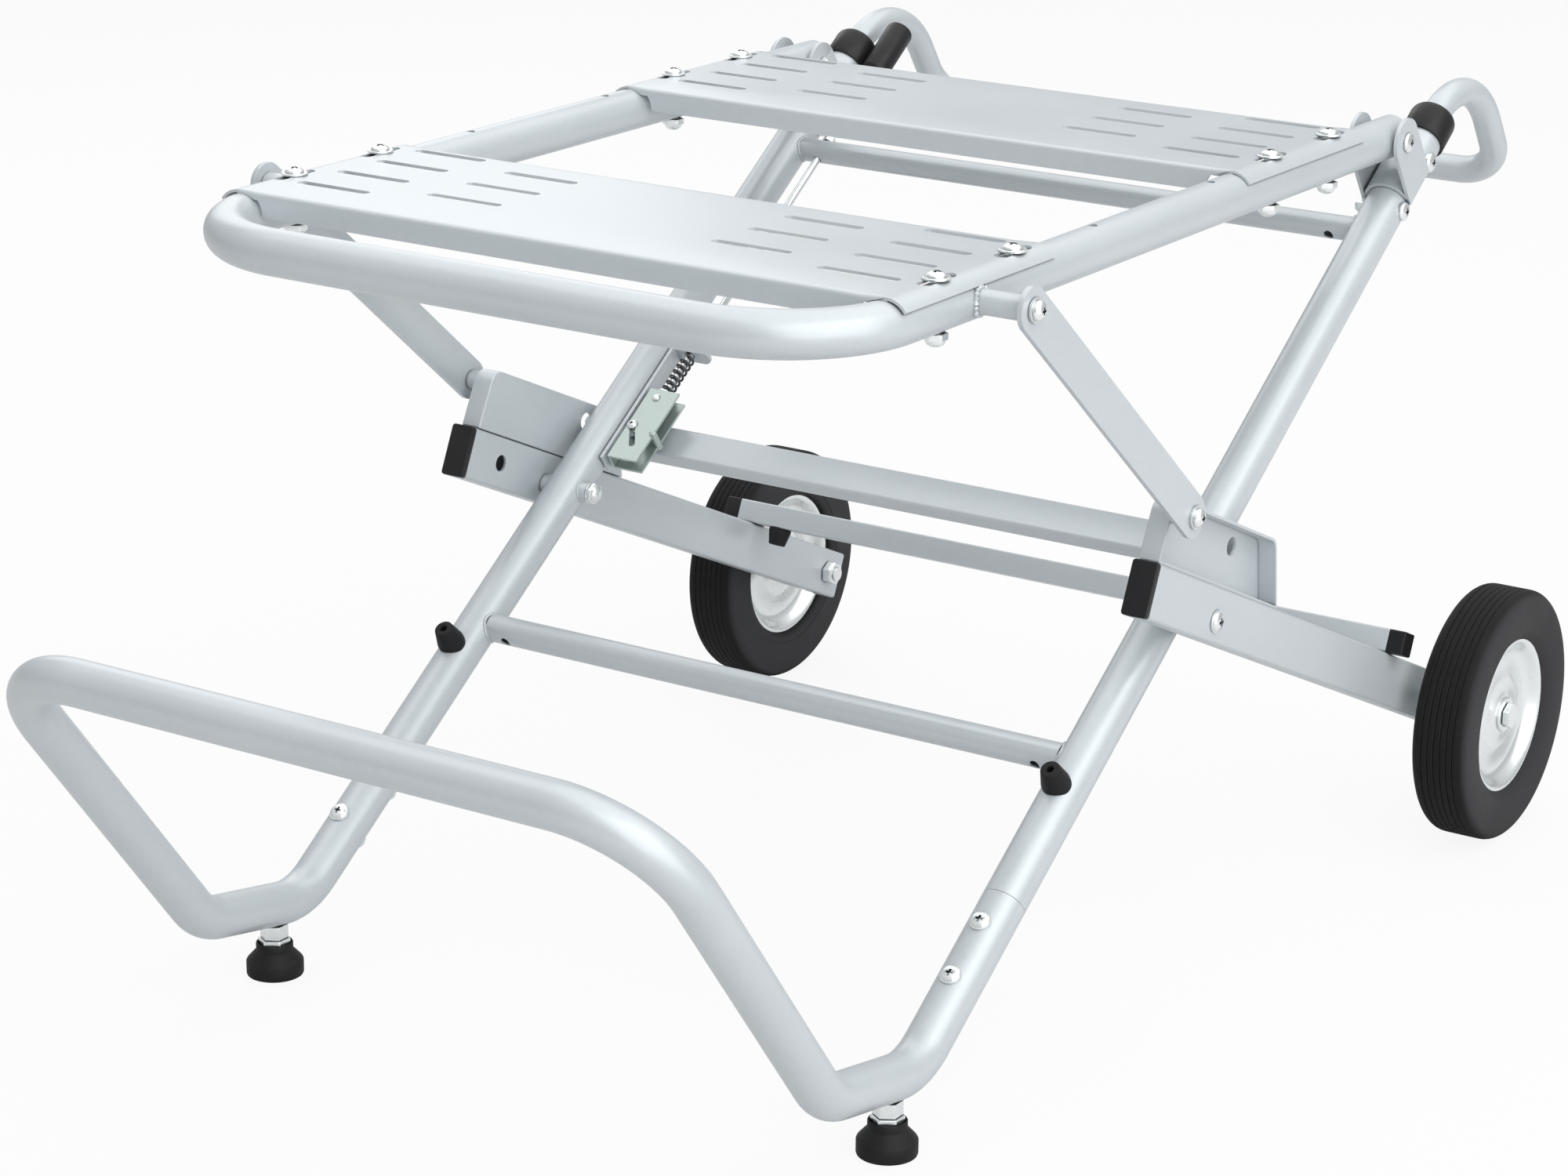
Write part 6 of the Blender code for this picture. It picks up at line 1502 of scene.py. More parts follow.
@dataclass
class Foot:
    """A levelling foot: rubber pad, threaded stud and lock nut."""

    shop: Workshop
    radius: float = 21.0 * MM
    neck: float = 13.6 * MM
    height: float = 25.0 * MM
    stud: float = 5.0 * MM
    nut: float = 12.0 * MM
    nut_height: float = 8.0 * MM
    pitch: float = 1.5 * MM
    thread: float = 0.8 * MM
    well: float = 12.6 * MM
    well_depth: float = 5.0 * MM
    overrun: float = 6.0 * MM
    stud_sunk: float = 8.0 * MM

    def build(self) -> None:
        """Build and dress both feet."""
        over = LAYOUT.foot(Side.RIGHT)
        ground = Vector((over.x, over.y, 0.0))
        radius, neck, height = self.radius, self.neck, self.height
        profile = [
            (0.0, 0.0), (radius - 1.5 * MM, 0.0), (radius - 0.4 * MM, 0.5 * MM), (radius, 1.6 * MM),
            (radius, 10.4 * MM), (radius - 0.6 * MM, 11.6 * MM), (neck + 1.0 * MM, 18.0 * MM),
            (neck, 19.2 * MM), (neck, height - 0.8 * MM), (neck - 0.5 * MM, height),
            (self.well, height), (self.well, height - self.well_depth), (0.0, height - self.well_depth),
        ]
        pad = eased(turned("pad", profile, ground, Z_AXIS, TUBE_FACETS), 0.0)
        self.shop.pair(pad, "foot_{}", Slot.BLACK_RUBBER, "foot_pad")
        low = height - self.well_depth + LAYOUT.gap
        top = over.z + self.overrun
        thread = [(0.0, low - self.stud_sunk), (self.stud, low - self.stud_sunk)]
        for index in range(int((top - low) / self.pitch)):
            start = low + index * self.pitch
            thread += [(self.stud, start), (self.stud - self.thread, start + self.pitch / 2.0)]
        thread += [(self.stud, top), (0.0, top)]
        stud = eased(turned("stud", thread, ground, Z_AXIS, 32), 0.0)
        nut = rod("nut", self.nut, ground + Z_AXIS * low, ground + Z_AXIS * (low + self.nut_height), 6)
        self.shop.pair(joined("stud", stud, eased(nut, 0.8 * MM, 3)), "foot_{}", Slot.ZINC, "foot_stud")


@dataclass
class Latch:
    """The release rod with its grip, latch plate, lock pin, guide strip and return spring."""

    shop: Workshop
    rod_radius: float = 3.0 * MM
    rod_start: float = 90.0 * MM
    rod_top: float = 505.0 * MM
    rod_hole: float = 3.3 * MM
    rivet_place: float = 97.0 * MM
    flange_place: float = 107.2 * MM
    flange_radius: float = 7.4 * MM
    flange_sheet: float = 1.3 * MM
    nut_place: float = 391.8 * MM
    nut: float = 5.6 * MM
    nut_height: float = 5.0 * MM
    grip: tuple[float, float] = (476.0 * MM, 527.0 * MM)
    grip_radius: float = 11.5 * MM
    guide: tuple[float, float] = (30.0 * MM, 153.0 * MM)
    guide_half: float = 8.0 * MM
    guide_sheet: float = 3.0 * MM
    guide_tab: float = 34.0 * MM
    plate: tuple[float, float] = (33.0 * MM, 105.5 * MM)
    plate_sheet: float = 2.0 * MM
    plate_half: float = 7.5 * MM
    plate_width: float = 27.5 * MM
    plate_inset: float = 21.9 * MM
    slot_width: float = 5.0 * MM
    slot_run: float = 18.4 * MM
    slot_rise: float = 10.0 * MM
    spacer: tuple[float, float] = (49.0 * MM, 62.0 * MM)
    screw_inset: float = 26.5 * MM
    pin_radius: float = 5.0 * MM
    pin_reach: float = 4.7 * MM
    pin_tail: float = 16.5 * MM
    spring_radius: float = 4.8 * MM
    wire: float = 1.0 * MM
    turns: float = 6.25
    travel: float = 18.3 * MM

    def build(self) -> None:
        """Build and dress the latch."""
        self.release_rod()
        self.guide_strip()
        self.latch_plate()
        self.lock_pin()
        self.spring()

    @staticmethod
    def at(x: float, y: float, z: float = 0.0) -> Vector:
        """A point from the left main tube's axis inward, up along the tube and square to it."""
        return LAYOUT.frame @ Vector((x - LAYOUT.half_width, y, z))

    def release_rod(self) -> None:
        """The rod with its flange, stop nut and rivet, and the grip."""
        base = self.at(LAYOUT.rod_inset, 0.0)
        along, thin = LAYOUT.tube_along, self.rod_radius
        seat, flange = self.flange_place, self.flange_place - self.flange_sheet
        wide, start, end = self.flange_radius, self.rod_start, self.rod_top
        profile = [(0.0, start), (thin, start), (thin, flange), (wide, flange), (wide, seat), (thin, seat),
                   (thin, end), (0.0, end)]
        shaft = eased(turned("shaft", profile, base, along, 32), 0.0)
        low, high = self.nut_place, self.nut_place + self.nut_height
        nut = rod("nut", self.nut, base + along * low, base + along * high, 6)
        rivet = self.rivet(self.at(LAYOUT.rod_inset, self.rivet_place), shank=1.6 * MM, head=3.4 * MM)
        piece = joined("fine_release_rod", shaft, eased(nut, 0.4 * MM), rivet)
        self.shop.fit(piece, "release_rod", Slot.ZINC, "release_rod")
        low, high = self.grip
        radius, ease, nip = self.grip_radius, 2.5 * MM, 0.7 * MM
        bore, floor = self.rod_hole, self.rod_top + LAYOUT.gap
        profile = [(0.0, high), (radius - ease, high), (radius - nip, high - nip), (radius, high - ease),
                   (radius, low + ease), (radius - nip, low + nip), (radius - ease, low),
                   (bore, low), (bore, floor), (0.0, floor)]
        grip = eased(turned("fine_release_grip", profile, base, along, 48), 0.0)
        self.shop.fit(grip, "release_rod", Slot.BLACK_PLASTIC, "release_grip")

    def rivet(self, centre: Vector, shank: float, head: float) -> Object:
        """A rivet through both cheeks of the latch plate.

        Args:
            centre: its middle.
            shank: the shank's radius.
            head: the heads' radius.

        Returns:
            The object.
        """
        seat = self.plate_half + LAYOUT.gap
        dome = [(head, seat), (head * 0.92, seat + 0.9 * MM), (head * 0.65, seat + 1.5 * MM),
                (0.0, seat + 1.8 * MM)]
        low = [(radius, -height) for radius, height in reversed(dome)]
        profile = [*low, (shank, -seat), (shank, seat), *dome]
        return eased(turned("rivet", profile, centre, LAYOUT.tube_up, 28), 0.0)

    def guide_strip(self) -> None:
        """The L-shaped strip that guides the pin and holds the rod."""
        start, end = self.guide
        face = LAYOUT.tube_radius + LAYOUT.gap
        inner = face + self.guide_sheet
        tip = face + self.guide_tab
        half = self.guide_half
        under = end - self.guide_sheet
        section = [(face, start), (inner, start), (inner, under), (tip, under), (tip, end), (face, end)]
        outline = [self.at(x, y, -half) for x, y in section]
        strip = extruded("strip", outline, LAYOUT.tube_up * (2.0 * half))
        rim = arc(Vector((tip - half, 0.0, 0.0)), X_AXIS * half, Z_AXIS * half, -QUARTER, QUARTER, 20)
        rim += [Vector((face - half, 0.0, half)), Vector((face - half, 0.0, -half))]
        keep = extruded("keep", [self.at(point.x, start - CUTTER_SPARE, point.z) for point in rim],
                        LAYOUT.tube_along * (end - start + 2.0 * CUTTER_SPARE))
        cut(strip, keep, operation="INTERSECT")
        hole = self.at(LAYOUT.rod_inset, under - CUTTER_SPARE)
        above = hole + LAYOUT.tube_along * (4.0 * CUTTER_SPARE)
        cut(strip, rod("hole", self.rod_hole, hole, above, HOLE_FACETS))
        strip.name = "fine_latch_guide"
        self.shop.fit(eased(strip, SHEET_EASE), "main_frame", Slot.POWDER_COAT, "latch_guide")

    def latch_plate(self) -> None:
        """The folded plate with the slanted slots."""
        start, end = self.plate
        left, half = self.plate_inset, self.plate_half
        right, web = left + self.plate_width, left + self.plate_sheet
        inner = half - self.plate_sheet
        section = [(left, -half), (right, -half), (right, -inner), (web, -inner), (web, inner),
                   (right, inner), (right, half), (left, half)]
        outline = [self.at(x, start, z) for x, z in section]
        plate = extruded("plate", outline, LAYOUT.tube_along * (end - start))
        travel = Vector((self.slot_rise, -self.slot_run, 0.0))
        middle = Vector((self.screw_inset, LAYOUT.lock_place, 0.0)) + travel / 2.0
        direction = travel.normalized()
        low = half + CUTTER_SPARE
        flat = long_hole(middle, direction, Z_AXIS.cross(direction), travel.length + self.slot_width,
                         self.slot_width)
        slot = extruded("slot", [self.at(point.x, point.y, -low) for point in flat],
                        LAYOUT.tube_up * (2.0 * low))
        window_low = LAYOUT.lock_place - self.slot_run - self.pin_radius - LAYOUT.gap
        window_high = LAYOUT.lock_place + self.pin_radius + LAYOUT.gap
        reach = self.pin_radius + LAYOUT.gap
        corners = [(window_low, -reach), (window_high, -reach), (window_high, reach), (window_low, reach)]
        near = left - CUTTER_SPARE
        window = extruded("window", [self.at(near, y, z) for y, z in corners], X_AXIS * (3.0 * CUTTER_SPARE))
        cut(plate, slot, window)
        eased(plate, 0.45 * MM)
        spacer = self.rivet(self.at(*self.spacer), self.rod_radius, self.rod_radius)
        piece = joined("fine_latch_plate", plate, spacer)
        self.shop.fit(piece, "release_rod", Slot.YELLOW_ZINC, "latch_plate")

    def lock_pin(self) -> None:
        """The lock pin and the screw that rides in the slots."""
        tip = self.at(-(LAYOUT.tube_radius + self.pin_reach), LAYOUT.lock_place)
        length = 2.0 * LAYOUT.tube_radius + self.pin_reach + self.pin_tail
        radius = self.pin_radius
        profile = [(0.0, 0.0), (radius * 0.5, 0.0), (radius * 0.85, 0.8 * MM), (radius, 2.4 * MM),
                   (radius, length - 0.6 * MM), (radius - 0.6 * MM, length), (0.0, length)]
        pin = eased(turned("fine_lock_pin", profile, tip, X_AXIS, 36), 0.0)
        self.shop.fit(pin, "lock_pin", Slot.ZINC, "lock_pin")
        seat = self.at(self.screw_inset, LAYOUT.lock_place, self.plate_half + LAYOUT.gap)
        grip = 2.0 * (self.plate_half + LAYOUT.gap)
        screw = Bolt(shank=2.1 * MM, grip=grip, head=4.4 * MM, height=2.6 * MM, tail=1.8 * MM)
        piece = screw.seated("fine_lock_screw", seat, LAYOUT.tube_up)
        self.shop.fit(piece, "lock_pin", Slot.ZINC, "lock_screw")

    def spring(self) -> None:
        """The return spring round the rod."""
        hook = 3.0 * self.wire
        start = self.flange_place + LAYOUT.gap + hook
        end = self.guide[1] - self.guide_sheet - LAYOUT.gap - hook
        count = round(self.turns * 24)
        lead = self.wire / self.spring_radius
        last = math.tau * count / 24.0 + lead
        points = [self.coil(-lead, start - hook), self.coil(-lead, start - self.wire)]
        points += [self.coil(math.tau * index / 24.0, start + (end - start) * index / count)
                   for index in range(count + 1)]
        points += [self.coil(last, end + self.wire), self.coil(last, end + hook)]
        coil = bead("fine_latch_spring", points, self.wire, False, 0.0)
        self.shop.fit(coil, "main_frame", Slot.SPRING_STEEL, "latch_spring")
        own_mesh(coil)

    def coil(self, turn: float, place: float) -> Vector:
        """A point of the spring's wire, by the angle round the rod and the place along it."""
        x = LAYOUT.rod_inset + self.spring_radius * math.cos(turn)
        return self.at(x, place, self.spring_radius * math.sin(turn))


def wire(tree: NodeTree, kind: str, sockets: Sockets | None = None, **settings: object) -> Node:
    """Add a node, set it up and link it.

    Args:
        tree: the node tree.
        kind: the node's type.
        sockets: values or links for its inputs.
        **settings: the node's own settings.

    Returns:
        The node.
    """
    node = tree.nodes.new(kind)
    for key, value in settings.items():
        setattr(node, key, value)
    for key, value in (sockets or {}).items():
        if isinstance(value, NodeSocket):
            tree.links.new(value, node.inputs[key])
        else:
            node.inputs[key].default_value = value
    return node


def noise(tree: NodeTree, vector: NodeSocket, scale: object, detail: float,
          roughness: float = 0.5) -> NodeSocket:
    """The value of a noise texture of this scale, detail and roughness."""
    sockets = {"Vector": vector, "Scale": scale, "Detail": detail, "Roughness": roughness}
    return wire(tree, "ShaderNodeTexNoise", sockets).outputs["Fac"]


def ranged(tree: NodeTree, value: NodeSocket, low: float, high: float,
           to_low: float = 0.0, to_high: float = 1.0) -> NodeSocket:
    """A value whose range from low to high is stretched to another range."""
    sockets = {"Value": value, "From Min": low, "From Max": high, "To Min": to_low, "To Max": to_high}
    return wire(tree, "ShaderNodeMapRange", sockets).outputs[0]


def maths(tree: NodeTree, operation: str, first: object, second: object = 0.5,
          **settings: object) -> NodeSocket:
    """The result of one operation of arithmetic."""
    return wire(tree, "ShaderNodeMath", {0: first, 1: second}, operation=operation, **settings).outputs[0]


def mixed(tree: NodeTree, share: object, first: object, second: object) -> NodeSocket:
    """A first colour with a share of a second one mixed in."""
    return wire(tree, "ShaderNodeMix", {0: share, 6: first, 7: second}, data_type="RGBA").outputs[2]


def new_group(name: str, inputs: dict[str, str],
              outputs: dict[str, str]) -> tuple[NodeTree, NodeOutputs, Node]:
    """An empty node group with its sockets.

    Args:
        name: the group's name.
        inputs: socket types by name.
        outputs: socket types by name.

    Returns:
        The tree, what it is given and its output node.
    """
    tree = bpy.data.node_groups.new(name, "ShaderNodeTree")
    for direction, sockets in (("INPUT", inputs), ("OUTPUT", outputs)):
        for label, kind in sockets.items():
            tree.interface.new_socket(name=label, in_out=direction, socket_type=f"NodeSocket{kind}")
    given = tree.nodes.new("NodeGroupInput").outputs
    return tree, given, tree.nodes.new("NodeGroupOutput")


class Effects:
    """Shader node groups that several finishes share."""

    def __init__(self) -> None:
        """Build every group once."""
        self.tone = self.tone_group()
        self.wear = self.wear_group()
        self.dust = self.dust_group()
        # The group of painted shade in recesses.
        self.grime = self.grime_group()
        self.peel = self.peel_group()

    @staticmethod
    def mask(tree: NodeTree, out: Node, where: object, patch: object,
             amount: object) -> NodeTree:
        """Finish a mask group with the product of three values.

        Args:
            tree: the group.
            out: its output node.
            where: where the effect can be.
            patch: how patchy it is.
            amount: how strong it is.

        Returns:
            The group.
        """
        both = maths(tree, "MULTIPLY", where, patch)
        scaled = maths(tree, "MULTIPLY", both, amount, use_clamp=True)
        tree.links.new(scaled, out.inputs["Mask"])
        return tree

    def tone_group(self) -> NodeTree:
        """Slow and fine variation between two colours.

        Returns:
            The group.
        """
        inputs = {"Vector": "Vector", "Light": "Color", "Dark": "Color", "Scale": "Float"}
        tree, given, out = new_group("Tone", inputs, {"Colour": "Color", "Value": "Float"})
        finer = maths(tree, "MULTIPLY", given["Scale"], 26.0)
        slow = noise(tree, given["Vector"], given["Scale"], detail=4.0, roughness=0.6)
        fine = noise(tree, given["Vector"], finer, detail=2.0)
        both = wire(tree, "ShaderNodeMix", {0: 0.3, 2: slow, 3: fine}).outputs[0]
        spread = ranged(tree, both, low=0.32, high=0.68)
        tree.links.new(mixed(tree, spread, given["Dark"], given["Light"]), out.inputs["Colour"])
        tree.links.new(spread, out.inputs["Value"])
        return tree

    def wear_group(self) -> NodeTree:
        """Mask of worn edges.

        Returns:
            The group.
        """
        inputs = {"Vector": "Vector", "Width": "Float", "Amount": "Float"}
        tree, given, out = new_group("Worn Edges", inputs, {"Mask": "Float"})
        soft = wire(tree, "ShaderNodeBevel", {"Radius": given["Width"]}, samples=4).outputs[0]
        flat = wire(tree, "ShaderNodeNewGeometry").outputs["Normal"]
        match = wire(tree, "ShaderNodeVectorMath", {0: soft, 1: flat}, operation="DOT_PRODUCT")
        edge = ranged(tree, match.outputs["Value"], low=0.985, high=0.80)
        cloud = noise(tree, given["Vector"], scale=160.0, detail=5.0, roughness=0.7)
        patch = ranged(tree, cloud, low=0.46, high=0.62)
        return self.mask(tree, out, edge, patch, given["Amount"])

    def dust_group(self) -> NodeTree:
        """Mask of dust on faces that look up.

        Returns:
            The group.
        """
        tree, given, out = new_group("Dust", {"Vector": "Vector", "Amount": "Float"}, {"Mask": "Float"})
        flat = wire(tree, "ShaderNodeNewGeometry").outputs["Normal"]
        parts = wire(tree, "ShaderNodeSeparateXYZ", {"Vector": flat})
        level = ranged(tree, parts.outputs["Z"], low=0.1, high=1.0)
        cloud = noise(tree, given["Vector"], scale=22.0, detail=6.0, roughness=0.68)
        patch = ranged(tree, cloud, low=0.4, high=0.75)
        return self.mask(tree, out, level, patch, given["Amount"])

    def grime_group(self) -> NodeTree:
        """Mask of painted shade: darkening in recesses, corners and contact lines, found by ambient
        occlusion and made patchy by noise.

        Returns:
            The group.
        """
        inputs = {"Vector": "Vector", "Reach": "Float", "Amount": "Float"}
        tree, given, out = new_group("Grime", inputs, {"Mask": "Float"})
        # Ambient occlusion finds the recesses where shade falls; the mask paints that shade into the colour.
        corner = wire(tree, "ShaderNodeAmbientOcclusion", {"Distance": given["Reach"]}, samples=8)
        deep = ranged(tree, corner.outputs["AO"], low=0.8, high=0.25)
        cloud = noise(tree, given["Vector"], scale=120.0, detail=4.0)
        patch = ranged(tree, cloud, low=0.25, high=0.6, to_low=0.6)
        return self.mask(tree, out, deep, patch, given["Amount"])

    def peel_group(self) -> NodeTree:
        """Fine relief of a coating or a moulded skin.

        Returns:
            The group.
        """
        inputs = {"Vector": "Vector", "Scale": "Float", "Strength": "Float", "Distance": "Float"}
        tree, given, out = new_group("Relief", inputs, {"Normal": "Vector", "Value": "Float"})
        bumps = noise(tree, given["Vector"], given["Scale"], detail=3.0, roughness=0.55)
        sockets = {"Height": bumps, "Strength": given["Strength"], "Distance": given["Distance"]}
        tree.links.new(wire(tree, "ShaderNodeBump", sockets).outputs[0], out.inputs["Normal"])
        tree.links.new(bumps, out.inputs["Value"])
        return tree


@dataclass(frozen=True)
class Finish:
    """A surface: two tones, its roughness range, relief, wear, dust and painted shade in recesses."""

    slot: Slot
    light: Colour
    dark: Colour
    worn: Colour
    metallic: float
    smoothest: float
    roughest: float
    tone_scale: float = 9.0
    relief_scale: float = 900.0
    relief: float = 0.12
    relief_distance: float = 0.05 * MM
    wear: float = 0.5
    wear_width: float = 0.7 * MM
    dust: float = 0.12
    dust_colour: Colour = (0.55, 0.54, 0.52)
    coat: float = 0.0
    coat_roughness: float = 0.2
    specular: float = 0.5
    stretch: tuple[float, float, float] = (1.0, 1.0, 1.0)
    film: Colour | None = None
    side: Colour | None = None
    # Painted shade: a dark colour mixed in where ambient occlusion finds recesses and contact lines, by
    # amount and reach.
    grime: float = 0.0
    grime_reach: float = 2.5 * MM
    grime_colour: Colour = (0.05, 0.055, 0.057)

    def build(self, effects: Effects) -> Material:
        """Make the material.

        Args:
            effects: the shared node groups.

        Returns:
            The material.
        """
        material = bpy.data.materials.new(f"stand_{self.slot.value}")
        material.use_nodes = True
        tree = material.node_tree
        shader = tree.nodes["Principled BSDF"]
        place = wire(tree, "ShaderNodeTexCoord").outputs["Object"]
        stretched = wire(tree, "ShaderNodeMapping", {"Vector": place, "Scale": self.stretch}).outputs[0]
        tone = self.use(tree, effects.tone, {"Vector": place, "Light": (*self.light, 1.0),
                                             "Dark": (*self.dark, 1.0), "Scale": self.tone_scale})
        colour = tone["Colour"]
        if self.film:
            rim = wire(tree, "ShaderNodeLayerWeight", {"Blend": 0.35}).outputs["Facing"]
            share = maths(tree, "MULTIPLY", rim, tone["Value"])
            colour = mixed(tree, share, colour, (*self.film, 1.0))
        if self.side:
            normal = wire(tree, "ShaderNodeNewGeometry").outputs["Normal"]
            across = wire(tree, "ShaderNodeSeparateXYZ", {"Vector": normal}).outputs["X"]
            share = ranged(tree, maths(tree, "ABSOLUTE", across), low=0.55, high=0.95)
            colour = mixed(tree, share, colour, (*self.side, 1.0))
        # Worn edges and dust are the surface's own colour; the last mask is painted shade in recesses and
        # contact lines.
        for group, sockets, tint in (
            (effects.wear, {"Width": self.wear_width, "Amount": self.wear}, self.worn),
            (effects.dust, {"Amount": self.dust}, self.dust_colour),
            (effects.grime, {"Reach": self.grime_reach, "Amount": self.grime}, self.grime_colour),
        ):
            mask = self.use(tree, group, {"Vector": place, **sockets})["Mask"]
            colour = mixed(tree, mask, colour, (*tint, 1.0))
        relief = self.use(tree, effects.peel, {"Vector": stretched, "Scale": self.relief_scale,
                                               "Strength": self.relief, "Distance": self.relief_distance})
        rough = maths(tree, "ADD", relief["Value"], tone["Value"])
        tree.links.new(colour, shader.inputs["Base Color"])
        rough = ranged(tree, rough, low=0.3, high=1.7, to_low=self.smoothest, to_high=self.roughest)
        tree.links.new(rough, shader.inputs["Roughness"])
        tree.links.new(relief["Normal"], shader.inputs["Normal"])
        shader.inputs["Metallic"].default_value = self.metallic
        shader.inputs["Specular IOR Level"].default_value = self.specular
        shader.inputs["Coat Weight"].default_value = self.coat
        shader.inputs["Coat Roughness"].default_value = self.coat_roughness
        return material

    @staticmethod
    def use(tree: NodeTree, effect: NodeTree, sockets: Sockets) -> NodeOutputs:
        """The outputs of a shared effect with these inputs."""
        return wire(tree, "ShaderNodeGroup", sockets, node_tree=effect).outputs


# The slots' surfaces; colours are linear. Their darkening of recesses, slots and contact lines is painted
# shade.
FINISHES = (
    Finish(Slot.POWDER_COAT, light=(0.548, 0.588, 0.612), dark=(0.510, 0.549, 0.574),
           worn=(0.65, 0.68, 0.70), metallic=0.30, smoothest=0.28, roughest=0.42, tone_scale=7.0,
           relief_scale=1300.0, relief=0.14, wear=0.3, dust=0.05, coat=0.08, grime=0.75,
           grime_reach=3.0 * MM, grime_colour=(0.07, 0.077, 0.083)),
    Finish(Slot.ZINC, light=(0.89, 0.915, 0.915), dark=(0.85, 0.882, 0.885), worn=(0.90, 0.90, 0.89),
           metallic=0.97, smoothest=0.24, roughest=0.29, relief_scale=400.0, relief=0.004, wear=0.2,
           dust=0.01, grime=1.0),
    Finish(Slot.YELLOW_ZINC, light=(0.520, 0.590, 0.565), dark=(0.44, 0.505, 0.480),
           worn=(0.66, 0.70, 0.68), metallic=0.7, smoothest=0.26, roughest=0.44, tone_scale=45.0,
           relief_scale=600.0, relief=0.2, stretch=(3.0, 1.0, 1.0), film=(0.40, 0.52, 0.47), grime=0.7),
    Finish(Slot.SPRING_STEEL, light=(0.11, 0.113, 0.118), dark=(0.06, 0.063, 0.067),
           worn=(0.4, 0.4, 0.4), metallic=0.85, smoothest=0.22, roughest=0.4, tone_scale=80.0, wear=0.3),
    Finish(Slot.BLACK_RUBBER, light=(0.014, 0.014, 0.015), dark=(0.008, 0.008, 0.009),
           worn=(0.045, 0.045, 0.047), metallic=0.0, smoothest=0.45, roughest=0.66, tone_scale=40.0,
           relief_scale=2200.0, relief=0.3, relief_distance=0.08 * MM, dust=0.02, specular=0.2),
    Finish(Slot.BLACK_PLASTIC, light=(0.014, 0.014, 0.015), dark=(0.009, 0.009, 0.010),
           worn=(0.06, 0.06, 0.06), metallic=0.0, smoothest=0.3, roughest=0.46, tone_scale=25.0,
           relief_scale=1600.0, relief=0.22, dust=0.02, coat=0.05, specular=0.25),
    Finish(Slot.TYRE_RUBBER, light=(0.013, 0.013, 0.0135), dark=(0.007, 0.007, 0.0075),
           worn=(0.05, 0.05, 0.05), metallic=0.0, smoothest=0.5, roughest=0.72, tone_scale=18.0,
           relief_scale=1500.0, relief=0.3, relief_distance=0.1 * MM, wear=0.3, dust=0.05,
           dust_colour=(0.14, 0.14, 0.14), specular=0.14, side=(0.036, 0.036, 0.038)),
)


@dataclass(frozen=True)
class Lamp:
    """A square area lamp that points at the stand."""

    name: str
    place: Vector
    size: float
    power: float


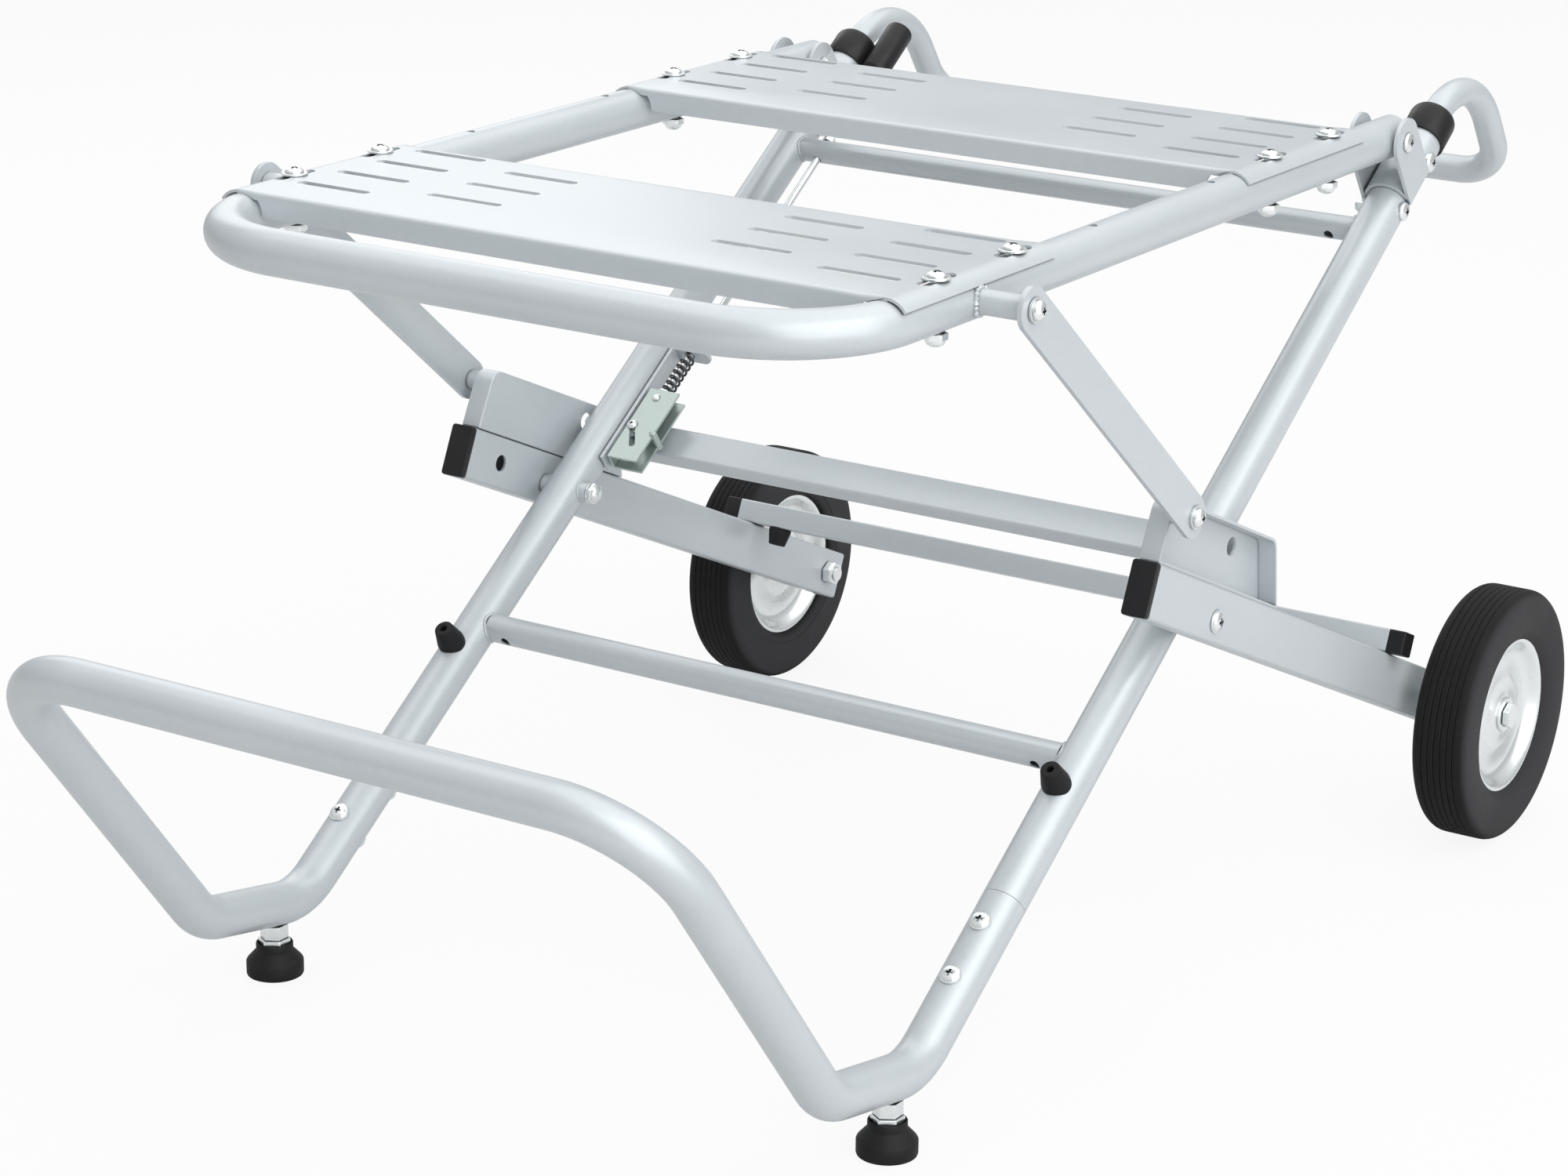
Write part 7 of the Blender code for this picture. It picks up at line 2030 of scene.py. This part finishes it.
@dataclass
class Studio:
    """Floor, light and the camera at the photo's place."""

    azimuth: float = math.radians(33.17)
    elevation: float = math.radians(17.93)
    roll: float = math.radians(0.68)
    place: Vector = Vector((1.55582, -2.428975, 1.19452))
    lens: float = 93.71
    sensor: float = 36.0
    aim_point: Vector = Vector((0.0, 0.0, 0.3))
    white: Rgba = (1.0, 1.0, 1.0, 1.0)
    floor_size: float = 30.0
    floor_colour: Rgba = (0.66, 0.66, 0.66, 1.0)
    floor_roughness: float = 0.95
    floor_glow: float = 0.9
    horizon: Rgba = (0.50, 0.52, 0.54, 1.0)
    world_strength: float = 0.75
    lamp_set: tuple[Lamp, ...] = (
        Lamp("key", Vector((3.4, -1.5, 2.0)), size=5.2, power=150.0),
        Lamp("top", Vector((0.2, 0.4, 3.2)), size=5.0, power=62.0),
        Lamp("rim", Vector((-2.4, 1.8, 1.9)), size=2.0, power=14.0),
    )

    def build(self) -> None:
        """Set up the whole studio."""
        self.floor()
        self.world()
        self.lamps()
        self.camera()
        bpy.context.scene.view_settings.view_transform = "Standard"

    def floor(self) -> None:
        """A plain pale floor."""
        bpy.ops.mesh.primitive_plane_add(size=self.floor_size, location=(0.0, 0.0, 0.0))
        floor = named("floor")
        material = bpy.data.materials.new("floor")
        material.use_nodes = True
        tree = material.node_tree
        shader = tree.nodes["Principled BSDF"]
        shader.inputs["Base Color"].default_value = self.floor_colour
        shader.inputs["Roughness"].default_value = self.floor_roughness
        shader.inputs["Specular IOR Level"].default_value = 0.0
        white = wire(tree, "ShaderNodeEmission", {"Color": self.white, "Strength": 1.0})
        path = wire(tree, "ShaderNodeLightPath")
        seen = maths(tree, "MULTIPLY", path.outputs["Is Camera Ray"], self.floor_glow)
        mix = wire(tree, "ShaderNodeMixShader", {0: seen, 1: shader.outputs[0], 2: white.outputs[0]})
        tree.links.new(mix.outputs[0], tree.nodes["Material Output"].inputs["Surface"])
        floor.data.materials.append(material)

    def world(self) -> None:
        """Pale light from all round, dimmer near the horizon, behind a white backdrop."""
        world = bpy.data.worlds.new("studio")
        world.use_nodes = True
        bpy.context.scene.world = world
        tree = world.node_tree
        light = tree.nodes["Background"]
        view = wire(tree, "ShaderNodeTexCoord").outputs["Generated"]
        way = wire(tree, "ShaderNodeSeparateXYZ", {"Vector": view})
        rise = ranged(tree, way.outputs["Z"], low=-0.1, high=0.75)
        sky = mixed(tree, rise, self.horizon, self.white)
        tree.links.new(sky, light.inputs["Color"])
        light.inputs["Strength"].default_value = self.world_strength
        seen = wire(tree, "ShaderNodeBackground", {"Color": self.white, "Strength": 1.0})
        path = wire(tree, "ShaderNodeLightPath")
        mix = wire(tree, "ShaderNodeMixShader", {0: path.outputs["Is Camera Ray"], 1: light.outputs[0],
                                                 2: seen.outputs[0]})
        tree.links.new(mix.outputs[0], tree.nodes["World Output"].inputs["Surface"])

    def lamps(self) -> None:
        """The soft area lamps: a key from the right, one above and a rim light from behind."""
        for lamp in self.lamp_set:
            light = bpy.data.lights.new(lamp.name, "AREA")
            light.size = lamp.size
            light.energy = lamp.power
            obj = placed(lamp.name, light)
            obj.location = lamp.place
            obj.rotation_euler = (self.aim_point - lamp.place).to_track_quat("-Z", "Y").to_euler()

    def camera(self) -> None:
        """The camera at the photo's angle."""
        az, el = self.azimuth, self.elevation
        ahead = Vector((-math.sin(az) * math.cos(el), math.cos(az) * math.cos(el), -math.sin(el)))
        right = Vector((math.cos(az), math.sin(az), 0.0))
        up = right.cross(ahead)
        side = right * math.cos(self.roll) + up * math.sin(self.roll)
        top = up * math.cos(self.roll) - right * math.sin(self.roll)
        data = bpy.data.cameras.new("camera")
        data.lens = self.lens
        data.sensor_width = self.sensor
        data.clip_start = 0.05
        camera = placed("camera", data)
        turn = Matrix((side, top, -ahead)).transposed()
        camera.matrix_world = Matrix.Translation(self.place) @ turn.to_4x4()
        bpy.context.scene.camera = camera


def main() -> None:
    """Build the whole scene."""
    logging.basicConfig(level=logging.INFO, format="%(message)s")
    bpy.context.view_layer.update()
    effects = Effects()
    shop = Workshop({finish.slot: finish.build(effects) for finish in FINISHES})
    for kind in (MainFrame, Table, Links, WheelFrame, Wheel, Foot, Latch):
        kind(shop).build()
        log.info("%s done, %d pieces so far", kind.__name__, shop.count)
    Studio().build()


if __name__ == "__main__":
    main()
